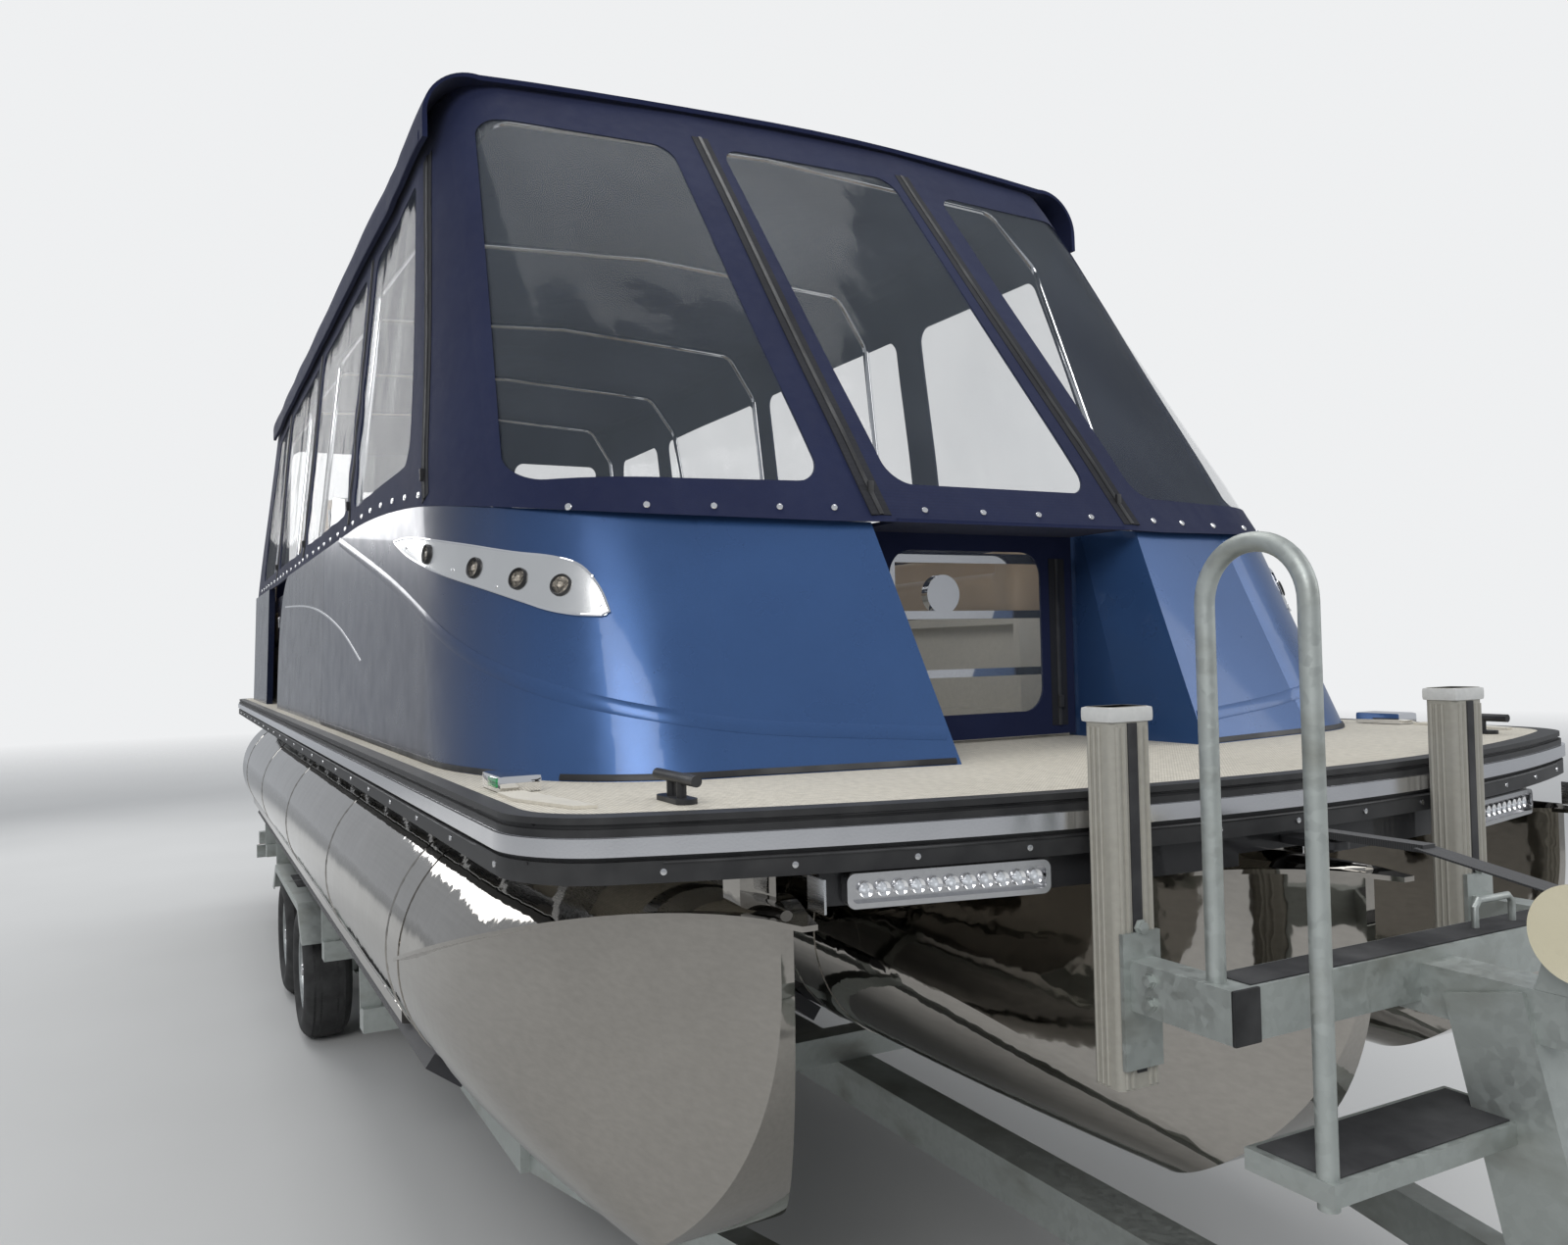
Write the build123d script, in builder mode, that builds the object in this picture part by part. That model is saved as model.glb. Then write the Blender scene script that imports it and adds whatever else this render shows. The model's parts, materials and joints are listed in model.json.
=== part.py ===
from build123d import *
import math
import os

# Three-log pontoon boat with a full canvas enclosure, standing on its
# galvanised tandem-axle trailer. Millimetres. X forward to the bow, Y to
# port, Z up from the ground; the origin is under the middle of the outfit.

os.makedirs("parts", exist_ok=True)

# Clearances
SEAT = 0.3
PIN_GAP = 0.5
RUN_GAP = 6.0

# Deck
BEAM = 2590.0
DECK_LENGTH = 7300.0
DECK_TOP = 1400.0
DECK_BOARD = 19.0
DECK_CROWN = 260.0
DECK_CORNER = 150.0
STERN_CORNER = 90.0

# Overhangs that place the origin under the middle of the outfit
DRAWBAR_REACH = 2050.0
MOTOR_REACH = 1096.0
BOW = (DECK_LENGTH + MOTOR_REACH - DRAWBAR_REACH) / 2
STERN = BOW - DECK_LENGTH

# Rub rail: bands from the top down
RAIL_DEPTH = 30.0
# columns: height, outset from the narrowest band
RAIL_BANDS = [(10.0, 6.0), (7.0, 2.0), (12.0, 8.0), (27.0, 14.0), (8.0, 4.0), (32.0, 10.0)]
RAIL_HEIGHT = sum(band[0] for band in RAIL_BANDS)
RAIL_OUT = max(band[1] for band in RAIL_BANDS)
DECK_HALF = BEAM / 2 - RAIL_OUT - RAIL_DEPTH

# Deck frame
CROSS_HEIGHT = 76.0
CROSS_WIDTH = 44.0
CROSS_WALL = 4.0
CROSS_PITCH = 406.0
CROSS_FIRST = 480.0
FRAME_TOP = DECK_TOP - DECK_BOARD
FRAME_BOTTOM = FRAME_TOP - CROSS_HEIGHT

# Logs
LOG_RADIUS = 320.0
LOG_SPACING = 950.0
LOG_BOTTOM = 625.0
LOG_AXIS = LOG_BOTTOM + LOG_RADIUS
LOG_TOP = LOG_AXIS + LOG_RADIUS
NOSE_LENGTH = 1300.0
WELD_STEP = 2.0
STEM_HALF = 12.0
STEM_RADIUS = 535.0
STEM_SETBACK = 100.0
CENTRE_NOSE_LEAD = 230.0
NOSE_PLATE = 8.0
NOSE_PLATE_LIP = 22.0
NOSE_PLATE_TIP = 70.0
LOG_AFT_INSET = 60.0
RISER_LENGTH = 60.0
RISER_WIDTH = 150.0
NOSE_POST = 60.0
LOG_AFT_ROUND = 40.0
RISER_FOOT = 40.0

# Front fascia and light bars under the deck edge
FASCIA_THICK = 6.0
FASCIA_BACK = 1000.0
FASCIA_PAST = 100.0
FASCIA_OPEN = 700.0
FASCIA_DROP = 54.0
FASCIA_NOTCH = 120.0
FASCIA_SETBACK = 26.0
FASCIA_HALF = 870.0
BAR_LENGTH = 330.0
BAR_HEIGHT = 52.0
BAR_THICK = 28.0
BAR_CENTRE = 680.0

# Fence: fibreglass bow panels and side panels, heights above the deck
PANEL_THICK = 32.0
PANEL_TOP = 650.0
PANEL_TOP_GATE = 505.0
PANEL_SIDE = 1215.0
PANEL_SIDE_TOP = 1190.0
PANEL_FRONT = 515.0
PANEL_SLANT = 75.0
PANEL_RAKE = 0.48
PANEL_RETURN = 450.0
PANEL_SEAM = 3300.0
PANEL_AFT = 5200.0
LOFT_TOP = 720.0
GATE_HALF = 335.0
GATE_HALF_TOP = 400.0

# Side gates and stern
SIDE_GATE_WIDTH = 700.0
STERN_FENCE = 6950.0
STERN_GATE_HALF = 330.0
GATE_GAP = 8.0
GATE_LIFT = 40.0
TUBE = 25.0

# Canvas enclosure, heights above the deck
CANVAS = 8.0
CANVAS_FRONT = 735.0
CANVAS_FOOT = 505.0
ROOF_EDGE = 1660.0
ROOF_TOP = 1840.0
ROOF_FRONT = 1790.0
ROOF_AFT = 6500.0
ROOF_HALF = 1110.0
ROOF_SHOULDER = 150.0
ROOF_THICK = 14.0
ZIP_FOOT = 1400.0
ZIP_HEAD = 1850.0

# Canopy frame tubes
BOW_TUBE = 12.5

# Seats
SEAT_BASE_HEIGHT = 330.0
SEAT_DEPTH = 560.0
SEAT_PAD = 130.0
SEAT_BACK = 150.0
SEAT_BACK_TOP = 575.0
SEAT_CORNER = 60.0

# Helm
CONSOLE_LENGTH = 620.0
CONSOLE_WIDTH = 620.0
CONSOLE_HEIGHT = 980.0
CONSOLE_AT = 3850.0
CONSOLE_SIDE = 730.0
HELM_RADIUS = 175.0
HELM_RIM = 15.0
HELM_TILT = 25.0
CHAIR_AT = 4750.0
CHAIR_SIDE = 780.0

# Outboard motor
POD_LENGTH = 560.0
POD_WIDTH = 620.0
TRANSOM_THICK = 45.0
TILT_PIN_UP = 80.0
PROP_RADIUS = 190.0
PROP_DROP = 800.0

# Trailer
RAIL_TUBE_HEIGHT = 100.0
RAIL_TUBE_WIDTH = 60.0
RAIL_TUBE_TOP = 470.0
RAIL_TUBE_SIDE = 940.0
RAIL_FORE = 1500.0
RAIL_REAR = 7050.0
SPINE_WIDTH = 110.0
CROSSBAR = 75.0
BUNK_WIDTH = 100.0
BUNK_THICK = 40.0
AXLE_FIRST = 4200.0
AXLE_PITCH = 780.0
AXLE_SQUARE = 50.0
TRACK_HALF = 1125.0
TYRE_RADIUS = 290.0
TYRE_WIDTH = 185.0
TYRE_CORNER = 32.0
RIM_RADIUS = 172.0
RIM_WIDTH = 140.0
HUB_RADIUS = 62.0
GUARD_SHEET = 4.0
GUARD_WIDTH = 225.0

# Bow stop, winch and step on the trailer
POST_SIDE = 420.0
POST_SECTION = 82.0
POST_DEPTH = 62.0
POST_UP = 135.0
POST_DOWN = 445.0
STOP_BAR_DROP = 247.0
STOP_CROSS_LEAD = 202.0
STEP_DROP = 457.0
STEP_LEAD = 385.0
HOOP_TOP = 366.0
HOOP_TUBE = 14.0
WINCH_LEAD = 480.0

# Jockey wheel
JOCKEY_LEAD = 1500.0
JOCKEY_SIDE = 190.0
JOCKEY_RADIUS = 100.0
JOCKEY_WIDTH = 60.0
JOCKEY_TUBE = 30.0

EYE_DROP = 16.0
EYE_HEIGHT = DECK_TOP - RAIL_HEIGHT - EYE_DROP
EYE_PLATE = 12.0
EYE_REACH = 110.0
EYE_WIDTH = 56.0
EYE_HOLE = 13.0
BAR_BOW = 6.0
BAR_RIM = 8.0
BAR_POCKET = 14.0
TOP_CURVE_FROM = 757.0
TOP_CURVE_TO = 2500.0
CORNER_REACH_X = 640.0
CORNER_REACH_Y = 440.0
CORNER_MID_X = 75.0
CORNER_MID_Y = 215.0
CORNER_HIP_X = 250.0
CORNER_HIP_Y = 85.0
CORNER_FLANK_X = 430.0
CORNER_FLANK_Y = 25.0
SEAM_GAP = 3.0
ARCH_RADIUS = 480.0
STERN_GATE_CENTRE = 650.0
GATE_CORNER = 40.0
GATE_DISC = 48.0
GATE_TOP = 600.0
GATE_INSET = 60.0
BOW_GATE_BACK = 1000.0
ROOF_RISE = 140.0
ROOF_LIP = 30.0
ROOF_HEM = 50.0
CANVAS_SIDE = 1197.0
CANVAS_SIDE_TOP = 1058.0
CANVAS_AFT = 6990.0
CANVAS_TIGHTEN = 0.62
CANVAS_START = 40.0
AFT_ZIP = 60.0
WINDOW_CORNER = 60.0
FLAP_BACK = 930.0
FLAP_HALF = 325.0
FLAP_FOOT = 8.0
FLAP_CLEAR = 225.0
BOW_FOOT = 610.0
BOW_FOOT_SIDE = 1130.0
BOW_EDGE = 1560.0
BOW_EDGE_SIDE = 1020.0
BOW_SHOULDER = 880.0
BOW_SHOULDER_DROP = 46.0
BOW_BEND = 90.0
BOW_BRACKET = 24.0
LOUNGE_GAP = 6.0
BASE_RIM = 30.0
BASE_RECESS = 40.0
BENCH_STARBOARD = 1100.0
BENCH_PORT = 240.0
HELM_SHAFT = 170.0
HELM_HUB = 45.0
CHAIR_POST = 330.0
POD_BOTTOM = 700.0
POD_WELL = 1100.0
TRANSOM_TOP = 1240.0
TILT_BACK = 50.0
STEER_BACK = 90.0
CLAMP_HALF = 150.0
CLAMP_PLATE = 22.0
TILT_PIN = 14.0
STEER_TUBE = 26.0
PROP_SHAFT = 110.0
PROP_HUB = 52.0
PROP_HUB_LENGTH = 90.0
PROP_BLADE = 62.0
PROP_PITCH = 28.0
# columns: height above the cowl's foot, length, width
COWL_LEVELS = [(0.0, 560.0, 330.0), (180.0, 640.0, 400.0), (420.0, 600.0, 370.0), (520.0, 480.0, 280.0)]

BUNK_ANGLE = 36.0
BUNK_FORE = 1450.0
BUNK_REAR = 6900.0
BUNK_PLATE = 12.0
DRAWBAR_TIP = 1810.0
DRAWBAR_HALF = 45.0
TIE_LEAD = 1250.0
TIE_THICK = 12.0
SPINE_TIP = 1450.0
LIGHT_BEAM = 1200.0
GUARD_TOP = 612.0
GUARD_INNER = 1012.0
GUARD_REACH = 340.0
GUARD_SLOPE = 180.0
GUARD_SKIRT = 34.0
SPRING_REACH = 340.0
SPRING_END = 345.0
SPRING_THICK = 28.0
SPRING_WIDTH = 56.0
HUB_FACE = 1040.0
SPINDLE = 20.0
SPINDLE_TIP = 1165.0
DRUM_RADIUS = 110.0
DISC_OUT = 24.0
HUB_NOSE = 62.0
HUB_BACK = 80.0
WHEEL_SLOTS = 8
BALL_LEAD = 1990.0
BALL_RADIUS = 26.0
STOP_BAR = 75.0
ARM_REACH = 640.0
ARM_WIDTH = 80.0
ARM_DROP = 18.0
MAST_HEAD = 340.0
MAST_FOOT = 480.0
MAST_WIDTH = 100.0
MAST_DEPTH = 120.0
STEP_SIDE = 435.0
HOOP_BEND = 84.0
HOOP_FOOT = 20.0
HOOP_SINK = 6.0
HOOP_TAIL = 40.0
WINCH_UP = 90.0
WINCH_HALF = 34.0
WINCH_AXLE = 9.0
WINCH_COIL = 34.0
WINCH_DISC = 45.0
WINCH_GEAR = 68.0
CRANK_SIDE = 60.0
CRANK_LENGTH = 190.0
HOOK_REACH = 225.0
HOOK_PIN = 9.0
JOCKEY_FOOT = 430.0
JOCKEY_HEAD = 790.0
JOCKEY_LEG = 24.0
JOCKEY_STEM = 10.0
JOCKEY_STEM_RISE = 40.0
JOCKEY_CAP = 9.0
JOCKEY_CRANK = 113.0
JOCKEY_CRANK_UP = 34.0
JOCKEY_AXLE = 9.0
FORK_SHEET = 5.0
FORK_REACH = 30.0
FORK_EAR = 18.0
JOCKEY_LIFT = 150.0
JOCKEY_TRAIL = 45.0
JOCKEY_CLAMP = 90.0


def keep(builder, name):
    """Label a finished piece and write it as its own STEP file."""
    builder.part.label = name
    export_step(builder.part, "parts/" + name + ".step")


def crowned_plan(half, front, aft, crown, corner, stern_corner):
    """Return a deck outline: bowed front edge and rounded corners."""
    with BuildSketch() as plan:
        with BuildLine():
            ThreePointArc((front - crown, -half), (front, 0), (front - crown, half))
            Polyline((front - crown, half), (aft, half), (aft, -half), (front - crown, -half))
        make_face()
        fillet([v for v in plan.vertices() if v.X > front - crown - 1.0], corner)
        fillet([v for v in plan.vertices() if v.X < aft + 1.0], stern_corner)
    return plan.sketch


def side_slab(points, y_from, y_to):
    """Return a slab between two Y stations, cut to an outline given as (x, z)."""
    with BuildPart() as slab:
        with BuildSketch(Plane.XZ.offset(-y_to)):
            with BuildLine():
                Polyline(*points, close=True)
            make_face()
        extrude(amount=y_to - y_from)
    return slab.part


def tube_run(points, radius, bend):
    """Return a round tube along straight runs joined by tangent bends."""
    with BuildPart() as tube:
        with BuildLine() as run:
            FilletPolyline(*points, radius=bend)
        with BuildSketch(Plane(origin=run.line @ 0, z_dir=run.line % 0)):
            Circle(radius)
        sweep(path=run.line)
    return tube.part


def straight_tube(start, end, radius):
    """Return a round bar between two points."""
    axis = Vector(*end) - Vector(*start)
    with BuildPart() as bar:
        with BuildSketch(Plane(origin=start, z_dir=axis)):
            Circle(radius)
        extrude(amount=axis.length)
    return bar.part


def box_beam(start, end, width, height, up=(0, 0, 1)):
    """Return a square-cut beam between two points, its height along the up vector."""
    axis = Vector(*end) - Vector(*start)
    across = Vector(*up).cross(axis)
    with BuildPart() as beam:
        with BuildSketch(Plane(origin=start, x_dir=across, z_dir=axis)):
            Rectangle(width, height)
        extrude(amount=axis.length)
    return beam.part


def block(x_from, x_to, y_from, y_to, z_from, z_to):
    """Return a plain block between stations."""
    with BuildPart() as solid:
        with BuildSketch(Plane.XY.offset(z_from)):
            with Locations(((x_from + x_to) / 2, (y_from + y_to) / 2)):
                Rectangle(abs(x_to - x_from), abs(y_to - y_from))
        extrude(amount=z_to - z_from)
    return solid.part


# Deck board
with BuildPart() as deck:
    with BuildSketch(Plane.XY.offset(FRAME_TOP)):
        add(crowned_plan(DECK_HALF, BOW - RAIL_OUT - RAIL_DEPTH, STERN + RAIL_OUT + RAIL_DEPTH,
                         DECK_CROWN, DECK_CORNER, STERN_CORNER))
    extrude(amount=DECK_BOARD)
keep(deck, "deck")

# Rub rail: a ring of stacked bands around the deck board
with BuildPart() as rub_rail:
    band_top = DECK_TOP
    for band_height, band_out in RAIL_BANDS:
        with BuildSketch(Plane.XY.offset(band_top - band_height)):
            add(crowned_plan(DECK_HALF + RAIL_DEPTH + band_out, BOW - RAIL_OUT + band_out,
                             STERN + RAIL_OUT - band_out, DECK_CROWN,
                             DECK_CORNER + RAIL_DEPTH + band_out, STERN_CORNER + RAIL_DEPTH + band_out))
        extrude(amount=band_height)
        band_top -= band_height
    with BuildSketch(Plane.XY.offset(DECK_TOP - RAIL_HEIGHT)):
        add(crowned_plan(DECK_HALF, BOW - RAIL_OUT - RAIL_DEPTH, STERN + RAIL_OUT + RAIL_DEPTH,
                         DECK_CROWN, DECK_CORNER, STERN_CORNER))
    extrude(amount=RAIL_HEIGHT, mode=Mode.SUBTRACT)
keep(rub_rail, "rub_rail")

# Deck frame: channel cross-members between two side channels
cross_count = int((DECK_LENGTH - CROSS_FIRST - 120.0) / CROSS_PITCH) + 1
cross_stations = [BOW - CROSS_FIRST - CROSS_PITCH * k for k in range(cross_count)]
side_channel_half = DECK_HALF - 8.0
with BuildPart() as deck_frame:
    for station in cross_stations:
        with BuildSketch(Plane.XZ.offset(-side_channel_half)):
            with Locations((station, FRAME_TOP - CROSS_HEIGHT / 2)):
                Rectangle(CROSS_WIDTH, CROSS_HEIGHT)
            with Locations((station - CROSS_WALL, FRAME_TOP - CROSS_HEIGHT / 2)):
                Rectangle(CROSS_WIDTH, CROSS_HEIGHT - 2 * CROSS_WALL, mode=Mode.SUBTRACT)
        extrude(amount=2 * side_channel_half)
    for side in (-1, 1):
        with BuildSketch(Plane.YZ.offset(cross_stations[-1] - CROSS_WIDTH / 2)):
            with Locations((side * (side_channel_half - CROSS_WALL / 2), FRAME_TOP - CROSS_HEIGHT / 2)):
                Rectangle(CROSS_WALL, CROSS_HEIGHT)
            with Locations((side * (side_channel_half - CROSS_WIDTH / 2), FRAME_TOP - CROSS_WALL / 2)):
                Rectangle(CROSS_WIDTH, CROSS_WALL)
        extrude(amount=cross_stations[0] - cross_stations[-1] + CROSS_WIDTH)
keep(deck_frame, "deck_frame")


def nose_half(run):
    """Half width of a log nose at a distance ahead of its full section."""
    swing = (NOSE_LENGTH ** 2 + LOG_RADIUS ** 2) / (2 * LOG_RADIUS)
    return max(STEM_HALF, LOG_RADIUS - swing + math.sqrt(swing ** 2 - run ** 2))


PLATE_TOP = LOG_AXIS + 310.0
# columns: share of the nose length, height of the chine above the log axis
NOSE_STATIONS = [(0.0, 6.0), (0.33, 130.0), (0.64, 235.0), (0.87, 292.0), (1.0, 306.0)]
PLATE_STATIONS = [(0.06, 30.0), (0.33, 130.0), (0.64, 235.0), (0.87, 292.0), (1.0, 306.0)]


def nose_section(x, side_y, half, chine):
    """Return one nose section: crowned top, upright sides and a round keel."""
    bottom = LOG_BOTTOM + WELD_STEP
    low = bottom + half
    with BuildSketch(Plane(origin=(x, side_y, 0), x_dir=(0, 1, 0), z_dir=(1, 0, 0))) as section:
        with BuildLine():
            ThreePointArc((-half, low), (0, bottom), (half, low))
            Line((half, low), (half, chine))
            ThreePointArc((half, chine), (0, LOG_TOP - WELD_STEP), (-half, chine))
            Line((-half, chine), (-half, low))
        make_face()
    return section.sketch


def log_nose(side_y, stem_x):
    """Return a lofted nose, its keel swept up to an upright stem."""
    start = stem_x - NOSE_LENGTH
    heel = (stem_x - STEM_RADIUS, LOG_BOTTOM)
    toe = (stem_x, LOG_BOTTOM + STEM_RADIUS)
    with BuildPart() as nose:
        for share, rise in NOSE_STATIONS:
            add(nose_section(start + share * (NOSE_LENGTH + 1.0), side_y,
                             nose_half(share * NOSE_LENGTH) - WELD_STEP,
                             LOG_AXIS + rise))
        loft()
        with BuildSketch(Plane.XZ.offset(-side_y - LOG_RADIUS)):
            with BuildLine():
                Line((start - 5, LOG_BOTTOM), heel)
                RadiusArc(heel, toe, -STEM_RADIUS)
                Polyline(toe, (stem_x, LOG_TOP + 5), (start - 5, LOG_TOP + 5), (start - 5, LOG_BOTTOM))
            make_face()
        extrude(amount=2 * LOG_RADIUS, mode=Mode.INTERSECT)
    return nose.part


def spray_plate(side_y, stem_x):
    """Return the thin plate that rises along a nose's chine to a pointed tip."""
    start = stem_x - NOSE_LENGTH
    lip = STEM_HALF + NOSE_PLATE_LIP
    with BuildPart() as plate:
        for share, rise in PLATE_STATIONS:
            run = share * NOSE_LENGTH
            with BuildSketch(Plane(origin=(start + run, side_y, 0), x_dir=(0, 1, 0), z_dir=(1, 0, 0))):
                with Locations((0, LOG_AXIS + rise)):
                    Rectangle(2 * (nose_half(run) + NOSE_PLATE_LIP), NOSE_PLATE)
        loft()
        with BuildSketch(Plane.XY.offset(PLATE_TOP - NOSE_PLATE)):
            with BuildLine():
                Polyline((stem_x, side_y - lip), (stem_x + NOSE_PLATE_TIP, side_y - STEM_HALF),
                         (stem_x + NOSE_PLATE_TIP, side_y + STEM_HALF), (stem_x, side_y + lip), close=True)
            make_face()
        extrude(amount=NOSE_PLATE)
    return plate.part


def pontoon_log(side_y, stem_x):
    """Return a whole log: tube, nose, spray plate, nose post, keel fin and risers."""
    start = stem_x - NOSE_LENGTH
    aft = STERN + LOG_AFT_INSET
    post_x = min(stem_x - 2 * NOSE_POST, BOW - FASCIA_SETBACK - NOSE_POST)
    with BuildPart() as log:
        with BuildSketch(Plane.YZ.offset(aft)):
            with Locations((side_y, LOG_AXIS)):
                Circle(LOG_RADIUS)
        extrude(amount=start - aft)
        fillet(log.faces().sort_by(Axis.X)[0].edges(), LOG_AFT_ROUND)
        add(log_nose(side_y, stem_x))
        add(spray_plate(side_y, stem_x))
        add(block(post_x - NOSE_POST / 2, post_x + NOSE_POST / 2, side_y - NOSE_POST / 2,
                  side_y + NOSE_POST / 2, PLATE_TOP - NOSE_PLATE, DECK_TOP - RAIL_HEIGHT))
        with BuildSketch(Plane.XY.offset(LOG_TOP - RISER_FOOT)):
            for station in cross_stations[2:]:
                with Locations((station, side_y)):
                    Rectangle(RISER_LENGTH, RISER_WIDTH)
        extrude(amount=FRAME_BOTTOM - LOG_TOP + RISER_FOOT)
    return log.part


LOGS = [("log_starboard", -LOG_SPACING, BOW - STEM_SETBACK),
        ("log_centre", 0.0, BOW - STEM_SETBACK + CENTRE_NOSE_LEAD),
        ("log_port", LOG_SPACING, BOW - STEM_SETBACK)]
for log_name, log_side, log_stem in LOGS:
    with BuildPart() as log_piece:
        add(pontoon_log(log_side, log_stem))
    keep(log_piece, log_name)

# Fascia under the bow edge, with the towing eye plate at its middle
with BuildPart() as front_fascia:
    with BuildSketch(Plane.XY.offset(DECK_TOP - RAIL_HEIGHT - FASCIA_DROP)):
        add(crowned_plan(BEAM / 2 - FASCIA_SETBACK, BOW - FASCIA_SETBACK, BOW - FASCIA_BACK,
                         DECK_CROWN, DECK_CORNER, FASCIA_THICK))
        add(crowned_plan(BEAM / 2 - FASCIA_SETBACK - FASCIA_THICK, BOW - FASCIA_SETBACK - FASCIA_THICK,
                         BOW - FASCIA_BACK, DECK_CROWN, DECK_CORNER - FASCIA_THICK, FASCIA_THICK),
            mode=Mode.SUBTRACT)
        with Locations((BOW - FASCIA_BACK / 2, 0)):
            Rectangle(FASCIA_BACK + 2 * FASCIA_PAST, 2 * FASCIA_HALF, mode=Mode.INTERSECT)
        with Locations((BOW - FASCIA_BACK + FASCIA_OPEN / 2, 0)):
            Rectangle(FASCIA_OPEN, 2 * FASCIA_HALF + 2, mode=Mode.SUBTRACT)
    extrude(amount=FASCIA_DROP)
    add(block(BOW - 2 * FASCIA_PAST, BOW, -FASCIA_NOTCH, FASCIA_NOTCH, 0, LOG_TOP + RUN_GAP), mode=Mode.SUBTRACT)
    with BuildSketch(Plane.XY.offset(EYE_HEIGHT - EYE_PLATE / 2)):
        with Locations((BOW - FASCIA_SETBACK + EYE_REACH / 2 - 2.0, 0)):
            RectangleRounded(EYE_REACH + 4.0, EYE_WIDTH, EYE_WIDTH / 3)
        with Locations((BOW - FASCIA_SETBACK + EYE_REACH - EYE_WIDTH / 2, 0)):
            Circle(EYE_HOLE, mode=Mode.SUBTRACT)
    extrude(amount=EYE_PLATE)
keep(front_fascia, "front_fascia")


def bow_edge(y, inset):
    """X of the bowed front edge at a distance from the middle, set back by an inset."""
    half = BEAM / 2 - inset
    radius = (half ** 2 + DECK_CROWN ** 2) / (2 * DECK_CROWN)
    return BOW - inset - radius + math.sqrt(radius ** 2 - y ** 2)


def bow_edge_plane(y, inset, height):
    """Plane facing out of the bowed front edge at a distance from the middle."""
    half = BEAM / 2 - inset
    radius = (half ** 2 + DECK_CROWN ** 2) / (2 * DECK_CROWN)
    outward = (math.sqrt(radius ** 2 - y ** 2) / radius, y / radius, 0)
    return Plane(origin=(bow_edge(y, inset), y, height), x_dir=(-outward[1], outward[0], 0), z_dir=outward)


# Light bars: rounded housings with a lens pocket, seated on the fascia
with BuildPart() as light_bars:
    for side in (-1, 1):
        bar_plane = bow_edge_plane(side * BAR_CENTRE, FASCIA_SETBACK,
                                   DECK_TOP - RAIL_HEIGHT - FASCIA_DROP / 2)
        with BuildSketch(bar_plane.offset(BAR_BOW)):
            RectangleRounded(BAR_LENGTH, BAR_HEIGHT, BAR_HEIGHT / 4)
        extrude(amount=BAR_THICK)
        with BuildSketch(bar_plane.offset(BAR_BOW + BAR_THICK)):
            RectangleRounded(BAR_LENGTH - 2 * BAR_RIM, BAR_HEIGHT - 2 * BAR_RIM, BAR_HEIGHT / 6)
        extrude(amount=-BAR_POCKET, mode=Mode.SUBTRACT)
keep(light_bars, "light_bars")


def fence_top(back):
    """Height of the fence's top above the deck at a distance behind the bow."""
    if back <= TOP_CURVE_FROM:
        return PANEL_TOP_GATE
    if back >= TOP_CURVE_TO:
        return PANEL_TOP
    share = (back - TOP_CURVE_FROM) / (TOP_CURVE_TO - TOP_CURVE_FROM)
    return PANEL_TOP_GATE + (PANEL_TOP - PANEL_TOP_GATE) * math.sin(share * math.pi / 2)


def under_fence_line(lift, back_to):
    """Return a full-width slab under the fence's top line, raised by a lift."""
    mid = (TOP_CURVE_FROM + TOP_CURVE_TO) / 2
    with BuildPart() as slab:
        with BuildSketch(Plane.XZ.offset(-BEAM / 2)):
            with BuildLine():
                low = (BOW, DECK_TOP - 5.0)
                high = (BOW, DECK_TOP + PANEL_TOP_GATE + lift)
                bend_from = (BOW - TOP_CURVE_FROM, DECK_TOP + PANEL_TOP_GATE + lift)
                bend_mid = (BOW - mid, DECK_TOP + fence_top(mid) + lift)
                bend_to = (BOW - TOP_CURVE_TO, DECK_TOP + PANEL_TOP + lift)
                Polyline(low, high, bend_from)
                ThreePointArc(bend_from, bend_mid, bend_to)
                Polyline(bend_to, (BOW - back_to, DECK_TOP + PANEL_TOP + lift),
                         (BOW - back_to, DECK_TOP - 5.0), low)
            make_face()
        extrude(amount=BEAM)
    return slab.part


def bow_corner_section(height, inset, side):
    """Return the plan of one bow corner at a height above the deck."""
    lean = PANEL_RAKE * height
    share = height / LOFT_TOP
    outer = PANEL_SIDE + (PANEL_SIDE_TOP - PANEL_SIDE) * share - inset
    inner = GATE_HALF + (GATE_HALF_TOP - GATE_HALF) * share + inset
    front = BOW - PANEL_FRONT - lean - inset
    x_2 = front - PANEL_SLANT
    aft = BOW - PANEL_SEAM - (20.0 if inset > 0 else 0.0)
    opening = GATE_HALF - (20.0 if inset > 0 else 0.0)
    rear = BOW - PANEL_FRONT - PANEL_RETURN
    with BuildSketch(Plane.XY.offset(DECK_TOP + height)) as section:
        with BuildLine():
            first = Line((front, side * inner), (x_2, side * (outer - CORNER_REACH_Y)))
            turn = ThreePointArc(first @ 1, (x_2 - CORNER_MID_X, side * (outer - CORNER_MID_Y)),
                                 (x_2 - CORNER_HIP_X, side * (outer - CORNER_HIP_Y)))
            flank = ThreePointArc(turn @ 1, (x_2 - CORNER_FLANK_X, side * (outer - CORNER_FLANK_Y)),
                                  (x_2 - CORNER_REACH_X, side * outer))
            corners = [(aft, side * outer), (aft, side * opening), (rear, side * opening)]
            if inset > 0:
                corners.append((rear, side * (GATE_HALF + inset)))
            Polyline(flank @ 1, *corners, first @ 0)
        make_face()
    return section.sketch


def bow_corner_shell(inset, side):
    """Return the closed bow corner form between deck and loft top."""
    with BuildPart() as form:
        add(bow_corner_section(0.0, inset, side))
        add(bow_corner_section(LOFT_TOP, inset, side))
        loft(ruled=True)
    return form.part


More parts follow.
